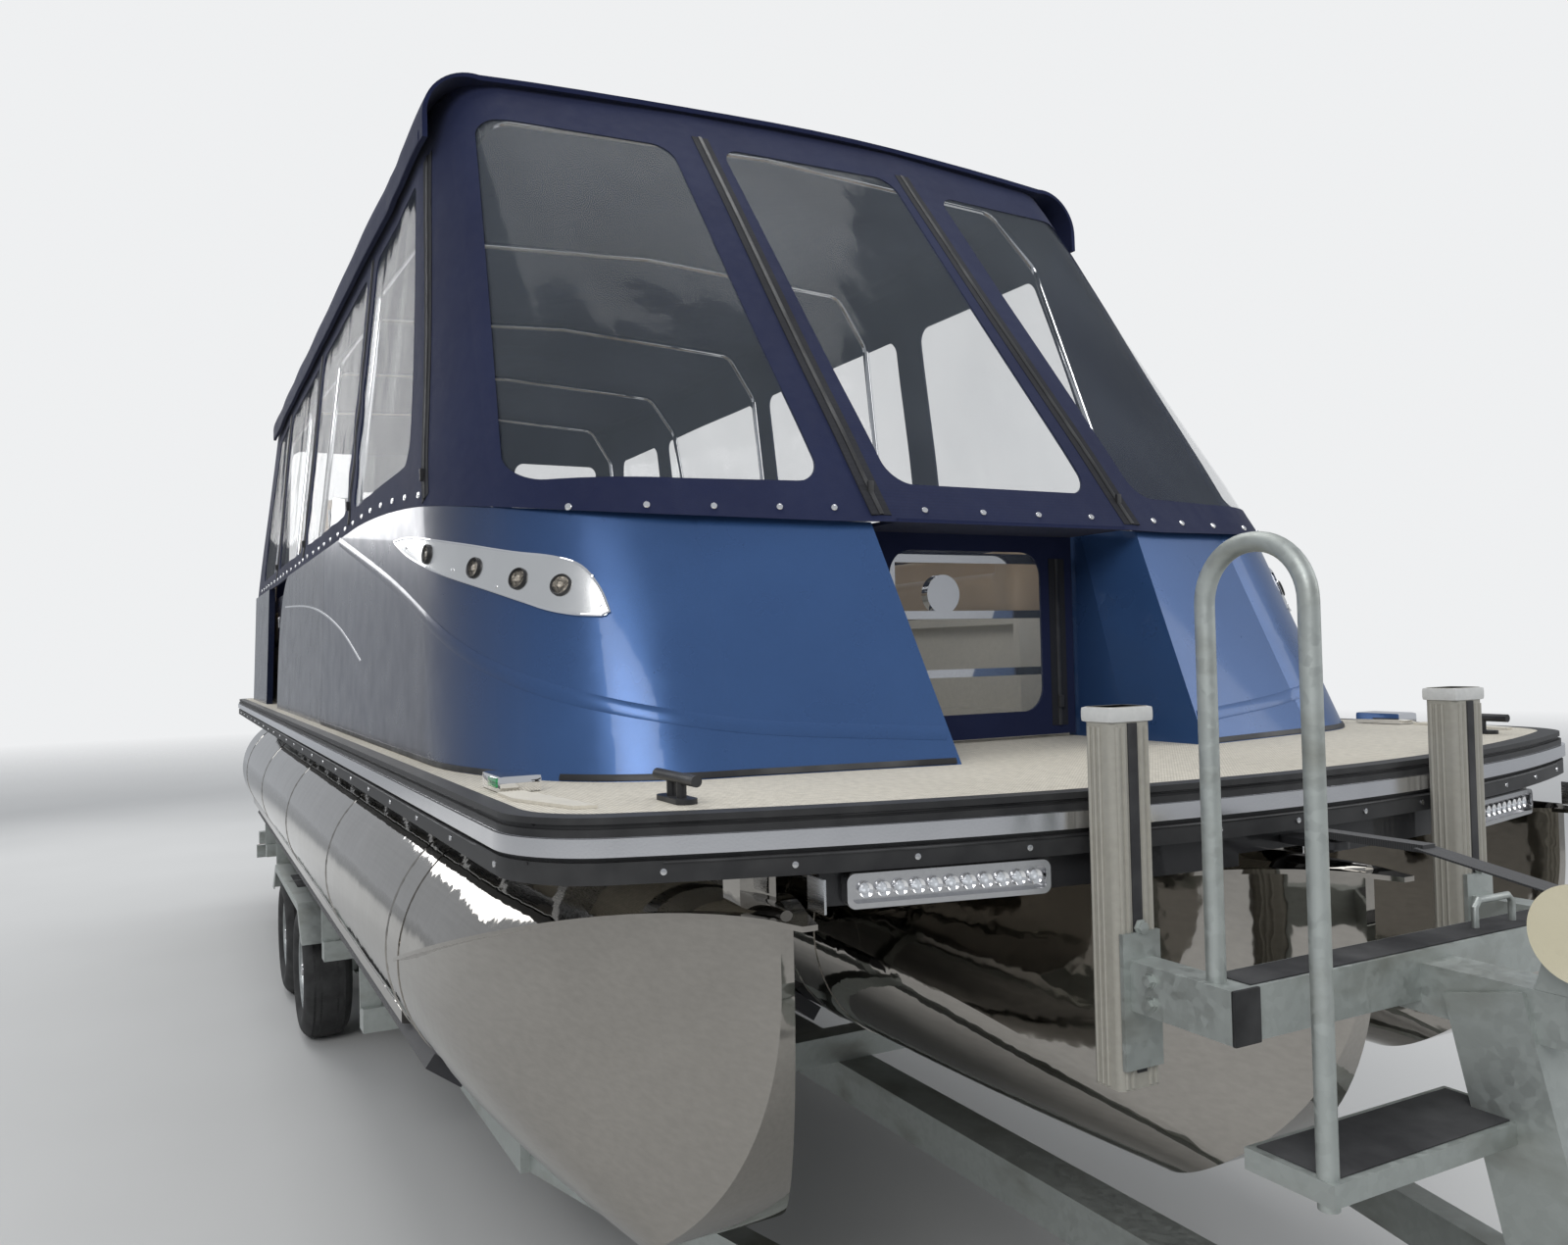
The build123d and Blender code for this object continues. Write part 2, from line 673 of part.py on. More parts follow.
# Bow panels: raked fibreglass corners that return beside the bow gate
for side, name in ((-1, "bow_panel_starboard"), (1, "bow_panel_port")):
    with BuildPart() as bow_panel:
        add(bow_corner_shell(0.0, side))
        add(bow_corner_shell(PANEL_THICK, side), mode=Mode.SUBTRACT)
        add(under_fence_line(0.0, PANEL_SEAM), mode=Mode.INTERSECT)
    keep(bow_panel, name)


def side_y(height):
    """Outer face of the fence at a height above the deck."""
    return PANEL_SIDE + (PANEL_SIDE_TOP - PANEL_SIDE) * height / LOFT_TOP


def leaning_wall(side, back_from, back_to, bottom, top, thick):
    """Return a length of side wall that leans in with the fence."""
    with BuildPart() as wall:
        with BuildSketch(Plane.YZ.offset(BOW - back_to)):
            with BuildLine():
                Polyline((side * side_y(bottom), DECK_TOP + bottom), (side * side_y(top), DECK_TOP + top),
                         (side * (side_y(top) - thick), DECK_TOP + top),
                         (side * (side_y(bottom) - thick), DECK_TOP + bottom), close=True)
            make_face()
        extrude(amount=back_to - back_from)
    return wall.part


# Side panels: level top, then a quarter-round fall to the side entry
for side, name in ((-1, "side_panel_starboard"), (1, "side_panel_port")):
    with BuildPart() as side_panel:
        add(leaning_wall(side, PANEL_SEAM + SEAM_GAP, PANEL_AFT, 0.0, PANEL_TOP, PANEL_THICK))
        rear_top = side_panel.faces().sort_by(Axis.X)[0].edges().sort_by(Axis.Z)[-1]
        fillet(rear_top, ARCH_RADIUS)
    keep(side_panel, name)

# Stern fence: two wings and a cross wall with a gate opening to port
wing_from = PANEL_AFT + SIDE_GATE_WIDTH
gate_y_from = STERN_GATE_CENTRE - STERN_GATE_HALF
gate_y_to = STERN_GATE_CENTRE + STERN_GATE_HALF
with BuildPart() as stern_fence:
    for side in (-1, 1):
        add(leaning_wall(side, wing_from, STERN_FENCE, 0.0, PANEL_TOP, PANEL_THICK))
    add(block(BOW - STERN_FENCE, BOW - STERN_FENCE + PANEL_THICK, -side_y(PANEL_TOP), gate_y_from,
              DECK_TOP, DECK_TOP + PANEL_TOP))
    add(block(BOW - STERN_FENCE, BOW - STERN_FENCE + PANEL_THICK, gate_y_to, side_y(PANEL_TOP),
              DECK_TOP, DECK_TOP + PANEL_TOP))
keep(stern_fence, "stern_fence")


def tube_gate(hinge_edge, far_edge, bottom, top, panel):
    """Return a gate in its own plane: tube frame, cross tubes and a thin panel."""
    width = abs(far_edge - hinge_edge)
    middle = (hinge_edge + far_edge) / 2
    with BuildPart() as gate:
        with BuildSketch(Plane.YZ):
            with Locations((middle, (bottom + top) / 2)):
                RectangleRounded(width, top - bottom, GATE_CORNER)
                RectangleRounded(width - 2 * TUBE, top - bottom - 2 * TUBE, GATE_CORNER - TUBE / 2,
                                 mode=Mode.SUBTRACT)
                if panel:
                    Rectangle(width - TUBE, top - bottom - TUBE)
                else:
                    with Locations((0, (top - bottom) * 0.14), (0, -(top - bottom) * 0.2)):
                        Rectangle(width - TUBE, TUBE * 0.8)
                    with Locations((-width * 0.28, 0)):
                        Rectangle(TUBE * 0.8, top - bottom - TUBE)
                    with Locations((-width * 0.05, (top - bottom) * 0.26)):
                        Circle(GATE_DISC)
        extrude(amount=TUBE / 2, both=True)
    return gate.part


# Bow gate: open tube frame with a plain disc, hinged to port
with BuildPart() as bow_gate:
    with Locations((BOW - BOW_GATE_BACK, 0, DECK_TOP)):
        add(tube_gate(GATE_HALF - GATE_GAP, -GATE_HALF + GATE_GAP, GATE_LIFT, PANEL_TOP_GATE - GATE_LIFT,
                      False))
keep(bow_gate, "bow_gate")

# Side gates: panelled frames between the side panel and the stern wing
for side, name in ((-1, "side_gate_starboard"), (1, "side_gate_port")):
    with BuildPart() as side_gate:
        with BuildSketch(Plane.XZ.offset(-side * (side_y(GATE_TOP) - GATE_INSET))):
            with Locations((BOW - PANEL_AFT - SIDE_GATE_WIDTH / 2, DECK_TOP + (GATE_LIFT + GATE_TOP) / 2)):
                RectangleRounded(SIDE_GATE_WIDTH - 2 * GATE_GAP, GATE_TOP - GATE_LIFT, GATE_CORNER)
        extrude(amount=TUBE / 2, both=True)
        with BuildSketch(Plane.XZ.offset(-side * (side_y(GATE_TOP) - GATE_INSET) + side * TUBE / 2)):
            with Locations((BOW - PANEL_AFT - SIDE_GATE_WIDTH / 2, DECK_TOP + (GATE_LIFT + GATE_TOP) / 2)):
                RectangleRounded(SIDE_GATE_WIDTH - 2 * GATE_GAP - 2 * TUBE, GATE_TOP - GATE_LIFT - 2 * TUBE,
                                 GATE_CORNER - TUBE / 2)
        extrude(amount=-side * TUBE * 0.4, mode=Mode.SUBTRACT)
    keep(side_gate, name)

# Stern gate: panelled frame in the stern wall
with BuildPart() as stern_gate:
    with Locations((BOW - STERN_FENCE + PANEL_THICK / 2, 0, DECK_TOP)):
        add(tube_gate(gate_y_to - GATE_GAP, gate_y_from + GATE_GAP, GATE_LIFT, GATE_TOP, True))
keep(stern_gate, "stern_gate")


def roof_section(drop):
    """Return the roof's cross-section outline down to the deck, lowered by a drop."""
    edge = ROOF_HALF - drop
    shoulder = ROOF_HALF - ROOF_SHOULDER
    with BuildSketch() as section:
        with BuildLine():
            low = Line((-edge, DECK_TOP), (-edge, DECK_TOP + ROOF_EDGE))
            left = ThreePointArc(low @ 1,
                                 (-edge + ROOF_SHOULDER * 0.26, DECK_TOP + ROOF_EDGE + ROOF_RISE * 0.72),
                                 (-shoulder, DECK_TOP + ROOF_EDGE + ROOF_RISE - drop))
            crown = ThreePointArc(left @ 1, (0, DECK_TOP + ROOF_TOP - drop),
                                  (shoulder, DECK_TOP + ROOF_EDGE + ROOF_RISE - drop))
            right = ThreePointArc(crown @ 1,
                                  (edge - ROOF_SHOULDER * 0.26, DECK_TOP + ROOF_EDGE + ROOF_RISE * 0.72),
                                  (edge, DECK_TOP + ROOF_EDGE))
            Polyline(right @ 1, (edge, DECK_TOP), low @ 0)
        make_face()
    return section.sketch


def under_roof(drop, back_from, back_to):
    """Return the space under the roof between two stations."""
    with BuildPart() as space:
        with BuildSketch(Plane.YZ.offset(BOW - back_to)):
            add(roof_section(drop))
        extrude(amount=back_to - back_from)
    return space.part


# Roof: one arched sheet over the canopy bows
with BuildPart() as canopy_roof:
    add(under_roof(0.0, ROOF_FRONT - ROOF_LIP, ROOF_AFT + ROOF_LIP))
    add(under_roof(ROOF_THICK, ROOF_FRONT - ROOF_LIP - 1, ROOF_AFT + ROOF_LIP + 1), mode=Mode.SUBTRACT)
    add(block(BOW - ROOF_AFT - 100, BOW - ROOF_FRONT + 100, -ROOF_HALF - 1, ROOF_HALF + 1,
              DECK_TOP - 1, DECK_TOP + ROOF_EDGE - ROOF_HEM), mode=Mode.SUBTRACT)
keep(canopy_roof, "canopy_roof")


def canvas_section(height, inset):
    """Return the plan of the canvas enclosure at a height above the deck."""
    share = (height - CANVAS_FOOT) / (ROOF_TOP - CANVAS_FOOT)
    front = BOW - (CANVAS_FRONT + (ROOF_FRONT - CANVAS_FRONT) * share) - inset
    outer = CANVAS_SIDE + (CANVAS_SIDE_TOP - CANVAS_SIDE) * share - inset
    aft = BOW - (CANVAS_AFT + (ROOF_AFT - CANVAS_AFT) * share) + inset
    tight = 1.0 - CANVAS_TIGHTEN * share
    x_2 = front - PANEL_SLANT * tight
    with BuildSketch(Plane.XY.offset(DECK_TOP + height)) as section:
        with BuildLine():
            for side in (-1, 1):
                first = Line((front, 0), (front, side * GATE_HALF_TOP * 0.9))
                slant = Line(first @ 1, (x_2, side * (outer - CORNER_REACH_Y * tight)))
                turn = ThreePointArc(slant @ 1,
                                     (x_2 - CORNER_MID_X * tight, side * (outer - CORNER_MID_Y * tight)),
                                     (x_2 - CORNER_HIP_X * tight, side * (outer - CORNER_HIP_Y * tight)))
                flank = ThreePointArc(turn @ 1,
                                      (x_2 - CORNER_FLANK_X * tight, side * (outer - CORNER_FLANK_Y * tight)),
                                      (x_2 - CORNER_REACH_X * tight, side * outer))
                Polyline(flank @ 1, (aft, side * outer), (aft, 0))
        make_face()
    return section.sketch


def canvas_form(inset):
    """Return the solid form inside the canvas enclosure, set in by an inset."""
    with BuildPart() as form:
        add(canvas_section(CANVAS_FOOT - CANVAS_START, inset))
        add(canvas_section(ROOF_TOP, inset))
        loft(ruled=True)
    return form.part


def canvas_room():
    """Return the space that the curtains may fill: under the roof and below its hem."""
    with BuildPart() as room:
        add(under_roof(ROOF_THICK + SEAT, 0.0, DECK_LENGTH))
        add(block(STERN, BOW, -BEAM / 2, BEAM / 2, DECK_TOP, DECK_TOP + ROOF_EDGE - ROOF_HEM - SEAT))
    return room.part


def canvas_layer(outer_inset, inner_inset):
    """Return one layer of the enclosure between two insets, below the roof."""
    with BuildPart() as layer:
        add(canvas_form(outer_inset))
        add(canvas_form(inner_inset), mode=Mode.SUBTRACT)
        add(canvas_room(), mode=Mode.INTERSECT)
        add(under_fence_line(SEAT, PANEL_AFT + SIDE_GATE_WIDTH), mode=Mode.SUBTRACT)
        add(block(STERN, BOW - PANEL_AFT, -BEAM, BEAM, DECK_TOP - 5, DECK_TOP + PANEL_TOP + SEAT),
            mode=Mode.SUBTRACT)
    return layer.part


def zip_slab(from_front):
    """Return the space ahead of or behind the raking corner zips."""
    foot = BOW - ZIP_FOOT
    head = BOW - ZIP_HEAD
    far = BOW if from_front else STERN
    points = [(foot, DECK_TOP), (head, DECK_TOP + ROOF_TOP + 10), (far, DECK_TOP + ROOF_TOP + 10),
              (far, DECK_TOP)]
    return side_slab(points, -BEAM, BEAM)


def outline_block_x(points, corner, back_from, back_to, inset=0.0):
    """Return a block along X cut to a rounded outline given as (y, height)."""
    with BuildPart() as cutter:
        with BuildSketch(Plane.YZ.offset(BOW - back_to)) as outline:
            with BuildLine():
                Polyline(*[(y, DECK_TOP + height) for y, height in points], close=True)
            make_face()
            fillet(outline.vertices(), corner)
            if inset > 0:
                offset(amount=-inset, mode=Mode.REPLACE)
        extrude(amount=back_to - back_from)
    return cutter.part


def outline_block_y(points, corner, side, inset=0.0):
    """Return a block through one side cut to a rounded outline given as (back, height)."""
    with BuildPart() as cutter:
        with BuildSketch(Plane.XZ.offset(-side * 700.0)) as outline:
            with BuildLine():
                Polyline(*[(BOW - back, DECK_TOP + height) for back, height in points], close=True)
            make_face()
            fillet(outline.vertices(), corner)
            if inset > 0:
                offset(amount=-inset, mode=Mode.REPLACE)
        extrude(amount=-side * 700.0)
    return cutter.part


# Clear panels, columns: foot and head edges across the boat, foot and head heights
FRONT_CLEAR = [(-1090.0, -455.0, -985.0, -455.0, 600.0, 1660.0),
               (-290.0, 290.0, -290.0, 290.0, 600.0, 1690.0),
               (455.0, 1090.0, 455.0, 985.0, 600.0, 1660.0)]
# columns: foot front and rear, head front and rear behind the bow, foot and head heights
SIDE_CLEAR = [(1680.0, 2680.0, 1960.0, 2680.0, 730.0, 1560.0),
              (2860.0, 4080.0, 2860.0, 4080.0, 730.0, 1560.0),
              (4260.0, 5480.0, 4260.0, 5480.0, 730.0, 1560.0),
              (5660.0, 6560.0, 5660.0, 6280.0, 730.0, 1560.0)]
# columns: edges across the boat
AFT_CLEAR = [(-1000.0, -420.0), (-290.0, 290.0), (420.0, 1000.0)]


def front_cutters(inset=0.0):
    """Return the window blocks of the front curtain."""
    with BuildPart() as cutters:
        for foot_a, foot_b, head_a, head_b, foot, head in FRONT_CLEAR:
            add(outline_block_x([(foot_a, foot), (foot_b, foot), (head_b, head), (head_a, head)],
                                WINDOW_CORNER, 500.0, 2000.0, inset))
    return cutters.part


def side_cutters(side, inset=0.0):
    """Return the window blocks of one side curtain."""
    with BuildPart() as cutters:
        for foot_a, foot_b, head_a, head_b, foot, head in SIDE_CLEAR:
            add(outline_block_y([(foot_a, foot), (foot_b, foot), (head_b, head), (head_a, head)],
                                WINDOW_CORNER, side, inset))
    return cutters.part


def aft_cutters(inset=0.0):
    """Return the window blocks of the aft curtain."""
    with BuildPart() as cutters:
        for edge_a, edge_b in AFT_CLEAR:
            add(outline_block_x([(edge_a, 760.0), (edge_b, 760.0), (edge_b, 1560.0), (edge_a, 1560.0)],
                                WINDOW_CORNER, ROOF_AFT - 200.0, DECK_LENGTH, inset))
    return cutters.part


canvas_walls = canvas_layer(0.0, CANVAS)
clear_walls = canvas_layer(CANVAS * 0.35, CANVAS * 0.65)
space_front = zip_slab(True)
space_behind = zip_slab(False)
aft_plane = side_slab([(BOW - CANVAS_AFT + AFT_ZIP, DECK_TOP),
                       (BOW - ROOF_AFT + AFT_ZIP, DECK_TOP + ROOF_TOP + 10),
                       (STERN, DECK_TOP + ROOF_TOP + 10), (STERN, DECK_TOP)], -BEAM, BEAM)

# Front curtain, with the door flap that hangs ahead of the bow gate
flap_x = BOW - FLAP_BACK
with BuildPart() as curtain_front:
    add(canvas_walls)
    add(space_front, mode=Mode.INTERSECT)
    add(front_cutters(), mode=Mode.SUBTRACT)
    add(block(flap_x, BOW - CANVAS_FRONT - 1, -FLAP_HALF, FLAP_HALF, DECK_TOP + PANEL_TOP_GATE + SEAT,
              DECK_TOP + PANEL_TOP_GATE + SEAT + CANVAS))
    add(block(flap_x - CANVAS, flap_x, -FLAP_HALF, FLAP_HALF, DECK_TOP + FLAP_FOOT,
              DECK_TOP + PANEL_TOP_GATE + SEAT + CANVAS))
    add(outline_block_x([(-FLAP_CLEAR, FLAP_FOOT + 60), (FLAP_CLEAR, FLAP_FOOT + 60),
                         (FLAP_CLEAR, PANEL_TOP_GATE - 40), (-FLAP_CLEAR, PANEL_TOP_GATE - 40)],
                        WINDOW_CORNER, FLAP_BACK - 50, FLAP_BACK + 50), mode=Mode.SUBTRACT)
keep(curtain_front, "curtain_front")

# Side curtains, dropping to the deck at the side entries
with BuildPart() as curtain_port:
    add(canvas_walls)
    add(space_behind, mode=Mode.INTERSECT)
    add(block(STERN, BOW, 0.0, BEAM, DECK_TOP, DECK_TOP + ROOF_TOP), mode=Mode.INTERSECT)
    add(aft_plane, mode=Mode.SUBTRACT)
    add(side_cutters(1), mode=Mode.SUBTRACT)
keep(curtain_port, "curtain_port")
with BuildPart() as curtain_starboard:
    add(mirror(curtain_port.part, about=Plane.XZ))
keep(curtain_starboard, "curtain_starboard")

# Aft curtain
with BuildPart() as curtain_aft:
    add(canvas_walls)
    add(aft_plane, mode=Mode.INTERSECT)
    add(aft_cutters(), mode=Mode.SUBTRACT)
keep(curtain_aft, "curtain_aft")

# Clear panels that fill the curtains' windows
with BuildPart() as window_tools:
    add(front_cutters(SEAT))
    add(aft_cutters(SEAT))
    for side in (-1, 1):
        add(side_cutters(side, SEAT))
with BuildPart() as clear_windows:
    add(clear_walls)
    add(window_tools.part, mode=Mode.INTERSECT)
    add(outline_block_x([(-FLAP_CLEAR, FLAP_FOOT + 60), (FLAP_CLEAR, FLAP_FOOT + 60),
                         (FLAP_CLEAR, PANEL_TOP_GATE - 40), (-FLAP_CLEAR, PANEL_TOP_GATE - 40)],
                        WINDOW_CORNER, FLAP_BACK + CANVAS * 0.35, FLAP_BACK + CANVAS * 0.65, SEAT))
keep(clear_windows, "clear_windows")

# Canopy frame: planar bows, columns: foot and head behind the bow
CANOPY_BOWS = [(1560.0, 1940.0), (3050.0, 3000.0), (4150.0, 4120.0), (5100.0, 5240.0), (6420.0, 6340.0)]
with BuildPart() as canopy_frame:
    for foot_back, head_back in CANOPY_BOWS:
        foot_z = DECK_TOP + BOW_FOOT
        head_z = DECK_TOP + ROOF_TOP - ROOF_THICK - BOW_TUBE - SEAT
        points = []
        shoulder_z = head_z - BOW_SHOULDER_DROP
        for y, z in [(-BOW_FOOT_SIDE, foot_z), (-BOW_EDGE_SIDE, DECK_TOP + BOW_EDGE),
                     (-BOW_SHOULDER, shoulder_z),
                     (0, head_z), (BOW_SHOULDER, shoulder_z), (BOW_EDGE_SIDE, DECK_TOP + BOW_EDGE),
                     (BOW_FOOT_SIDE, foot_z)]:
            lean = (z - foot_z) / (head_z - foot_z)
            points.append((BOW - foot_back - (head_back - foot_back) * lean, y, z))
        add(tube_run(points, BOW_TUBE, BOW_BEND))
        for side in (-1, 1):
            add(block(BOW - foot_back - 20, BOW - foot_back + 20, side * BOW_FOOT_SIDE,
                      side * (side_y(BOW_FOOT + BOW_BRACKET) - PANEL_THICK - SEAT),
                      foot_z - BOW_BRACKET / 2, foot_z + BOW_BRACKET))
keep(canopy_frame, "canopy_frame")


def soft_block(x_from, x_to, y_from, y_to, z_from, z_to, radius):
    """Return a padded block with rounded edges."""
    with BuildPart() as pad:
        add(block(x_from, x_to, y_from, y_to, z_from, z_to))
        fillet(pad.edges(), radius)
    return pad.part


# Lounges, columns: side, front and rear behind the bow
LOUNGES = [(-1, 1480.0, 3150.0), (1, 1480.0, 3150.0), (1, 3600.0, 5000.0)]
lounge_wall = side_y(SEAT_BACK_TOP) - PANEL_THICK - LOUNGE_GAP
bench_front = STERN_FENCE - PANEL_THICK - LOUNGE_GAP - SEAT_DEPTH

# Seat bases: hollow-fronted plinths on the deck
with BuildPart() as seat_bases:
    for side, front, rear in LOUNGES:
        add(block(BOW - rear, BOW - front, side * (lounge_wall - SEAT_DEPTH), side * lounge_wall,
                  DECK_TOP, DECK_TOP + SEAT_BASE_HEIGHT))
        add(block(BOW - rear + BASE_RIM, BOW - front - BASE_RIM, side * (lounge_wall - SEAT_DEPTH),
                  side * (lounge_wall - SEAT_DEPTH + BASE_RECESS), DECK_TOP + BASE_RIM,
                  DECK_TOP + SEAT_BASE_HEIGHT - BASE_RIM), mode=Mode.SUBTRACT)
    add(block(BOW - bench_front - SEAT_DEPTH, BOW - bench_front, -BENCH_STARBOARD, BENCH_PORT,
              DECK_TOP, DECK_TOP + SEAT_BASE_HEIGHT))
    add(block(BOW - bench_front - BASE_RECESS, BOW - bench_front, -BENCH_STARBOARD + BASE_RIM,
              BENCH_PORT - BASE_RIM, DECK_TOP + BASE_RIM, DECK_TOP + SEAT_BASE_HEIGHT - BASE_RIM),
        mode=Mode.SUBTRACT)
keep(seat_bases, "seat_bases")


def lounge_cushion(side, front, rear, end_rest):
    """Return a lounge's cushion: seat pad, back along the wall and an end rest."""
    seat_z = DECK_TOP + SEAT_BASE_HEIGHT + SEAT
    with BuildPart() as cushion:
        add(soft_block(BOW - rear, BOW - front, side * (lounge_wall - SEAT_DEPTH), side * lounge_wall,
                       seat_z, seat_z + SEAT_PAD, SEAT_CORNER / 2))
        add(soft_block(BOW - rear, BOW - front, side * (lounge_wall - SEAT_BACK), side * lounge_wall,
                       seat_z, DECK_TOP + SEAT_BACK_TOP, SEAT_CORNER / 2))
        if end_rest:
            add(soft_block(BOW - front - SEAT_BACK, BOW - front, side * (lounge_wall - SEAT_DEPTH),
                           side * lounge_wall, seat_z, DECK_TOP + SEAT_BACK_TOP, SEAT_CORNER / 2))
    return cushion.part


with BuildPart() as cushions_starboard:
    add(lounge_cushion(*LOUNGES[0], True))
keep(cushions_starboard, "cushions_starboard")
with BuildPart() as cushions_port:
    add(lounge_cushion(*LOUNGES[1], True))
    add(lounge_cushion(*LOUNGES[2], False))
keep(cushions_port, "cushions_port")
with BuildPart() as cushions_stern:
    bench_z = DECK_TOP + SEAT_BASE_HEIGHT + SEAT
    add(soft_block(BOW - bench_front - SEAT_DEPTH, BOW - bench_front, -BENCH_STARBOARD, BENCH_PORT,
                   bench_z, bench_z + SEAT_PAD, SEAT_CORNER / 2))
    add(soft_block(BOW - bench_front - SEAT_DEPTH, BOW - bench_front - SEAT_DEPTH + SEAT_BACK,
                   -BENCH_STARBOARD, BENCH_PORT, bench_z, DECK_TOP + SEAT_BACK_TOP, SEAT_CORNER / 2))
keep(cushions_stern, "cushions_stern")

# Helm console: pod with a raked dash, a knee recess and a wheel shaft
console_front = BOW - CONSOLE_AT
console_rear = console_front - CONSOLE_LENGTH
dash_z = DECK_TOP + CONSOLE_HEIGHT * 0.78
helm_axis = Vector(-math.cos(math.radians(HELM_TILT)), 0, math.sin(math.radians(HELM_TILT)))
helm_centre = Vector(console_rear + 60, -CONSOLE_SIDE, dash_z + 40)
with BuildPart() as helm_console:
    add(side_slab([(console_rear, DECK_TOP), (console_rear, dash_z),
                   (console_rear + 160, DECK_TOP + CONSOLE_HEIGHT),
                   (console_front - 60, DECK_TOP + CONSOLE_HEIGHT * 0.94), (console_front, DECK_TOP + 300),
                   (console_front, DECK_TOP)], -CONSOLE_SIDE - CONSOLE_WIDTH / 2,
                   -CONSOLE_SIDE + CONSOLE_WIDTH / 2))
    fillet(helm_console.edges().filter_by(Axis.Y).group_by(Axis.Z)[-1], 40)
    add(straight_tube(tuple(helm_centre), tuple(helm_centre + helm_axis * HELM_SHAFT), 16))
keep(helm_console, "helm_console")

# Steering wheel: rim, three spokes and a hub bored over the helm shaft
helm_plane = Plane(origin=helm_centre + helm_axis * (HELM_SHAFT - HELM_HUB / 2 + 4), x_dir=(0, 1, 0),
                   z_dir=helm_axis)
with BuildPart() as helm_wheel:
    with BuildSketch(helm_plane):
        Circle(HELM_HUB)
        for angle in (90, 210, 330):
            with Locations(Location((HELM_RADIUS / 2 * math.cos(math.radians(angle)),
                                     HELM_RADIUS / 2 * math.sin(math.radians(angle))), angle)):
                Rectangle(HELM_RADIUS, HELM_RIM * 1.4)
        Circle(16 + PIN_GAP, mode=Mode.SUBTRACT)
    extrude(amount=6, both=True)
    with BuildSketch(Plane(origin=helm_plane.origin, x_dir=helm_plane.x_dir, z_dir=helm_plane.y_dir)):
        with Locations((HELM_RADIUS, 0)):
            Circle(HELM_RIM)
    revolve(axis=Axis(helm_plane.origin, helm_plane.z_dir))
keep(helm_wheel, "helm_wheel")

# Helm chair: fixed pedestal, and a seat that turns on its post
chair_x = BOW - CHAIR_AT
with BuildPart() as chair_pedestal:
    with BuildSketch(Plane.XY.offset(DECK_TOP)):
        with Locations((chair_x, -CHAIR_SIDE)):
            Circle(150)
    extrude(amount=12)
    with BuildSketch(Plane.XY.offset(DECK_TOP + 12)):
        with Locations((chair_x, -CHAIR_SIDE)):
            Circle(36)
    extrude(amount=CHAIR_POST)
keep(chair_pedestal, "chair_pedestal")
with BuildPart() as helm_chair:
    pan_z = DECK_TOP + 12 + CHAIR_POST + SEAT
    add(block(chair_x - 150, chair_x + 150, -CHAIR_SIDE - 150, -CHAIR_SIDE + 150, pan_z, pan_z + 20))
    add(soft_block(chair_x - 250, chair_x + 250, -CHAIR_SIDE - 250, -CHAIR_SIDE + 250, pan_z + 19,
                   pan_z + 150, 45))
    add(soft_block(chair_x - 290, chair_x - 170, -CHAIR_SIDE - 240, -CHAIR_SIDE + 240, pan_z + 60,
                   pan_z + 720, 45))
    for side in (-1, 1):
        add(soft_block(chair_x - 200, chair_x + 150, -CHAIR_SIDE + side * 300, -CHAIR_SIDE + side * 235,
                       pan_z + 130, pan_z + 300, 24))
keep(helm_chair, "helm_chair")

# Motor pod: a buoyant box under the stern that carries the transom
pod_aft = STERN - POD_LENGTH
with BuildPart() as motor_pod:
    add(side_slab([(STERN - SEAT + 200, FRAME_BOTTOM - 6), (STERN - SEAT + 200, LOG_TOP + 8),
                   (STERN + LOG_AFT_INSET - RUN_GAP, LOG_TOP + 8),
                   (STERN + LOG_AFT_INSET - RUN_GAP, POD_BOTTOM), (pod_aft + 80, POD_BOTTOM + 60),
                   (pod_aft, POD_BOTTOM + 200),
                   (pod_aft, TRANSOM_TOP), (pod_aft + TRANSOM_THICK, TRANSOM_TOP),
                   (pod_aft + TRANSOM_THICK, POD_WELL), (STERN - 30, POD_WELL),
                   (STERN + 20, FRAME_BOTTOM - 6)],
                  -POD_WIDTH / 2, POD_WIDTH / 2))
    add(block(STERN + 60, STERN + 190, -POD_WIDTH / 2, POD_WIDTH / 2, FRAME_BOTTOM - 7,
              DECK_TOP - RAIL_HEIGHT))
keep(motor_pod, "motor_pod")

# Outboard: clamp bracket with the tilt pin, swivel bracket, leg, cowl and propeller
tilt_x = pod_aft - TILT_BACK
tilt_z = TRANSOM_TOP + TILT_PIN_UP
steer_x = tilt_x - STEER_BACK
prop_z = TRANSOM_TOP - PROP_DROP
with BuildPart() as motor_bracket:
    for side in (-1, 1):
        y_in = side * (CLAMP_HALF - CLAMP_PLATE)
        y_out = side * CLAMP_HALF
        add(side_slab([(pod_aft - SEAT, TRANSOM_TOP - 320), (pod_aft - SEAT, TRANSOM_TOP + 20),
                       (tilt_x - 35, tilt_z + 35),
                       (tilt_x - 35, tilt_z - 35), (pod_aft - 90, TRANSOM_TOP - 320)], min(y_in, y_out),
                       max(y_in, y_out)))
    add(block(pod_aft - 16, pod_aft - SEAT, -CLAMP_HALF, CLAMP_HALF, TRANSOM_TOP - 320, TRANSOM_TOP - 40))
    add(straight_tube((tilt_x, -CLAMP_HALF - 12, tilt_z), (tilt_x, CLAMP_HALF + 12, tilt_z), TILT_PIN))
keep(motor_bracket, "motor_bracket")
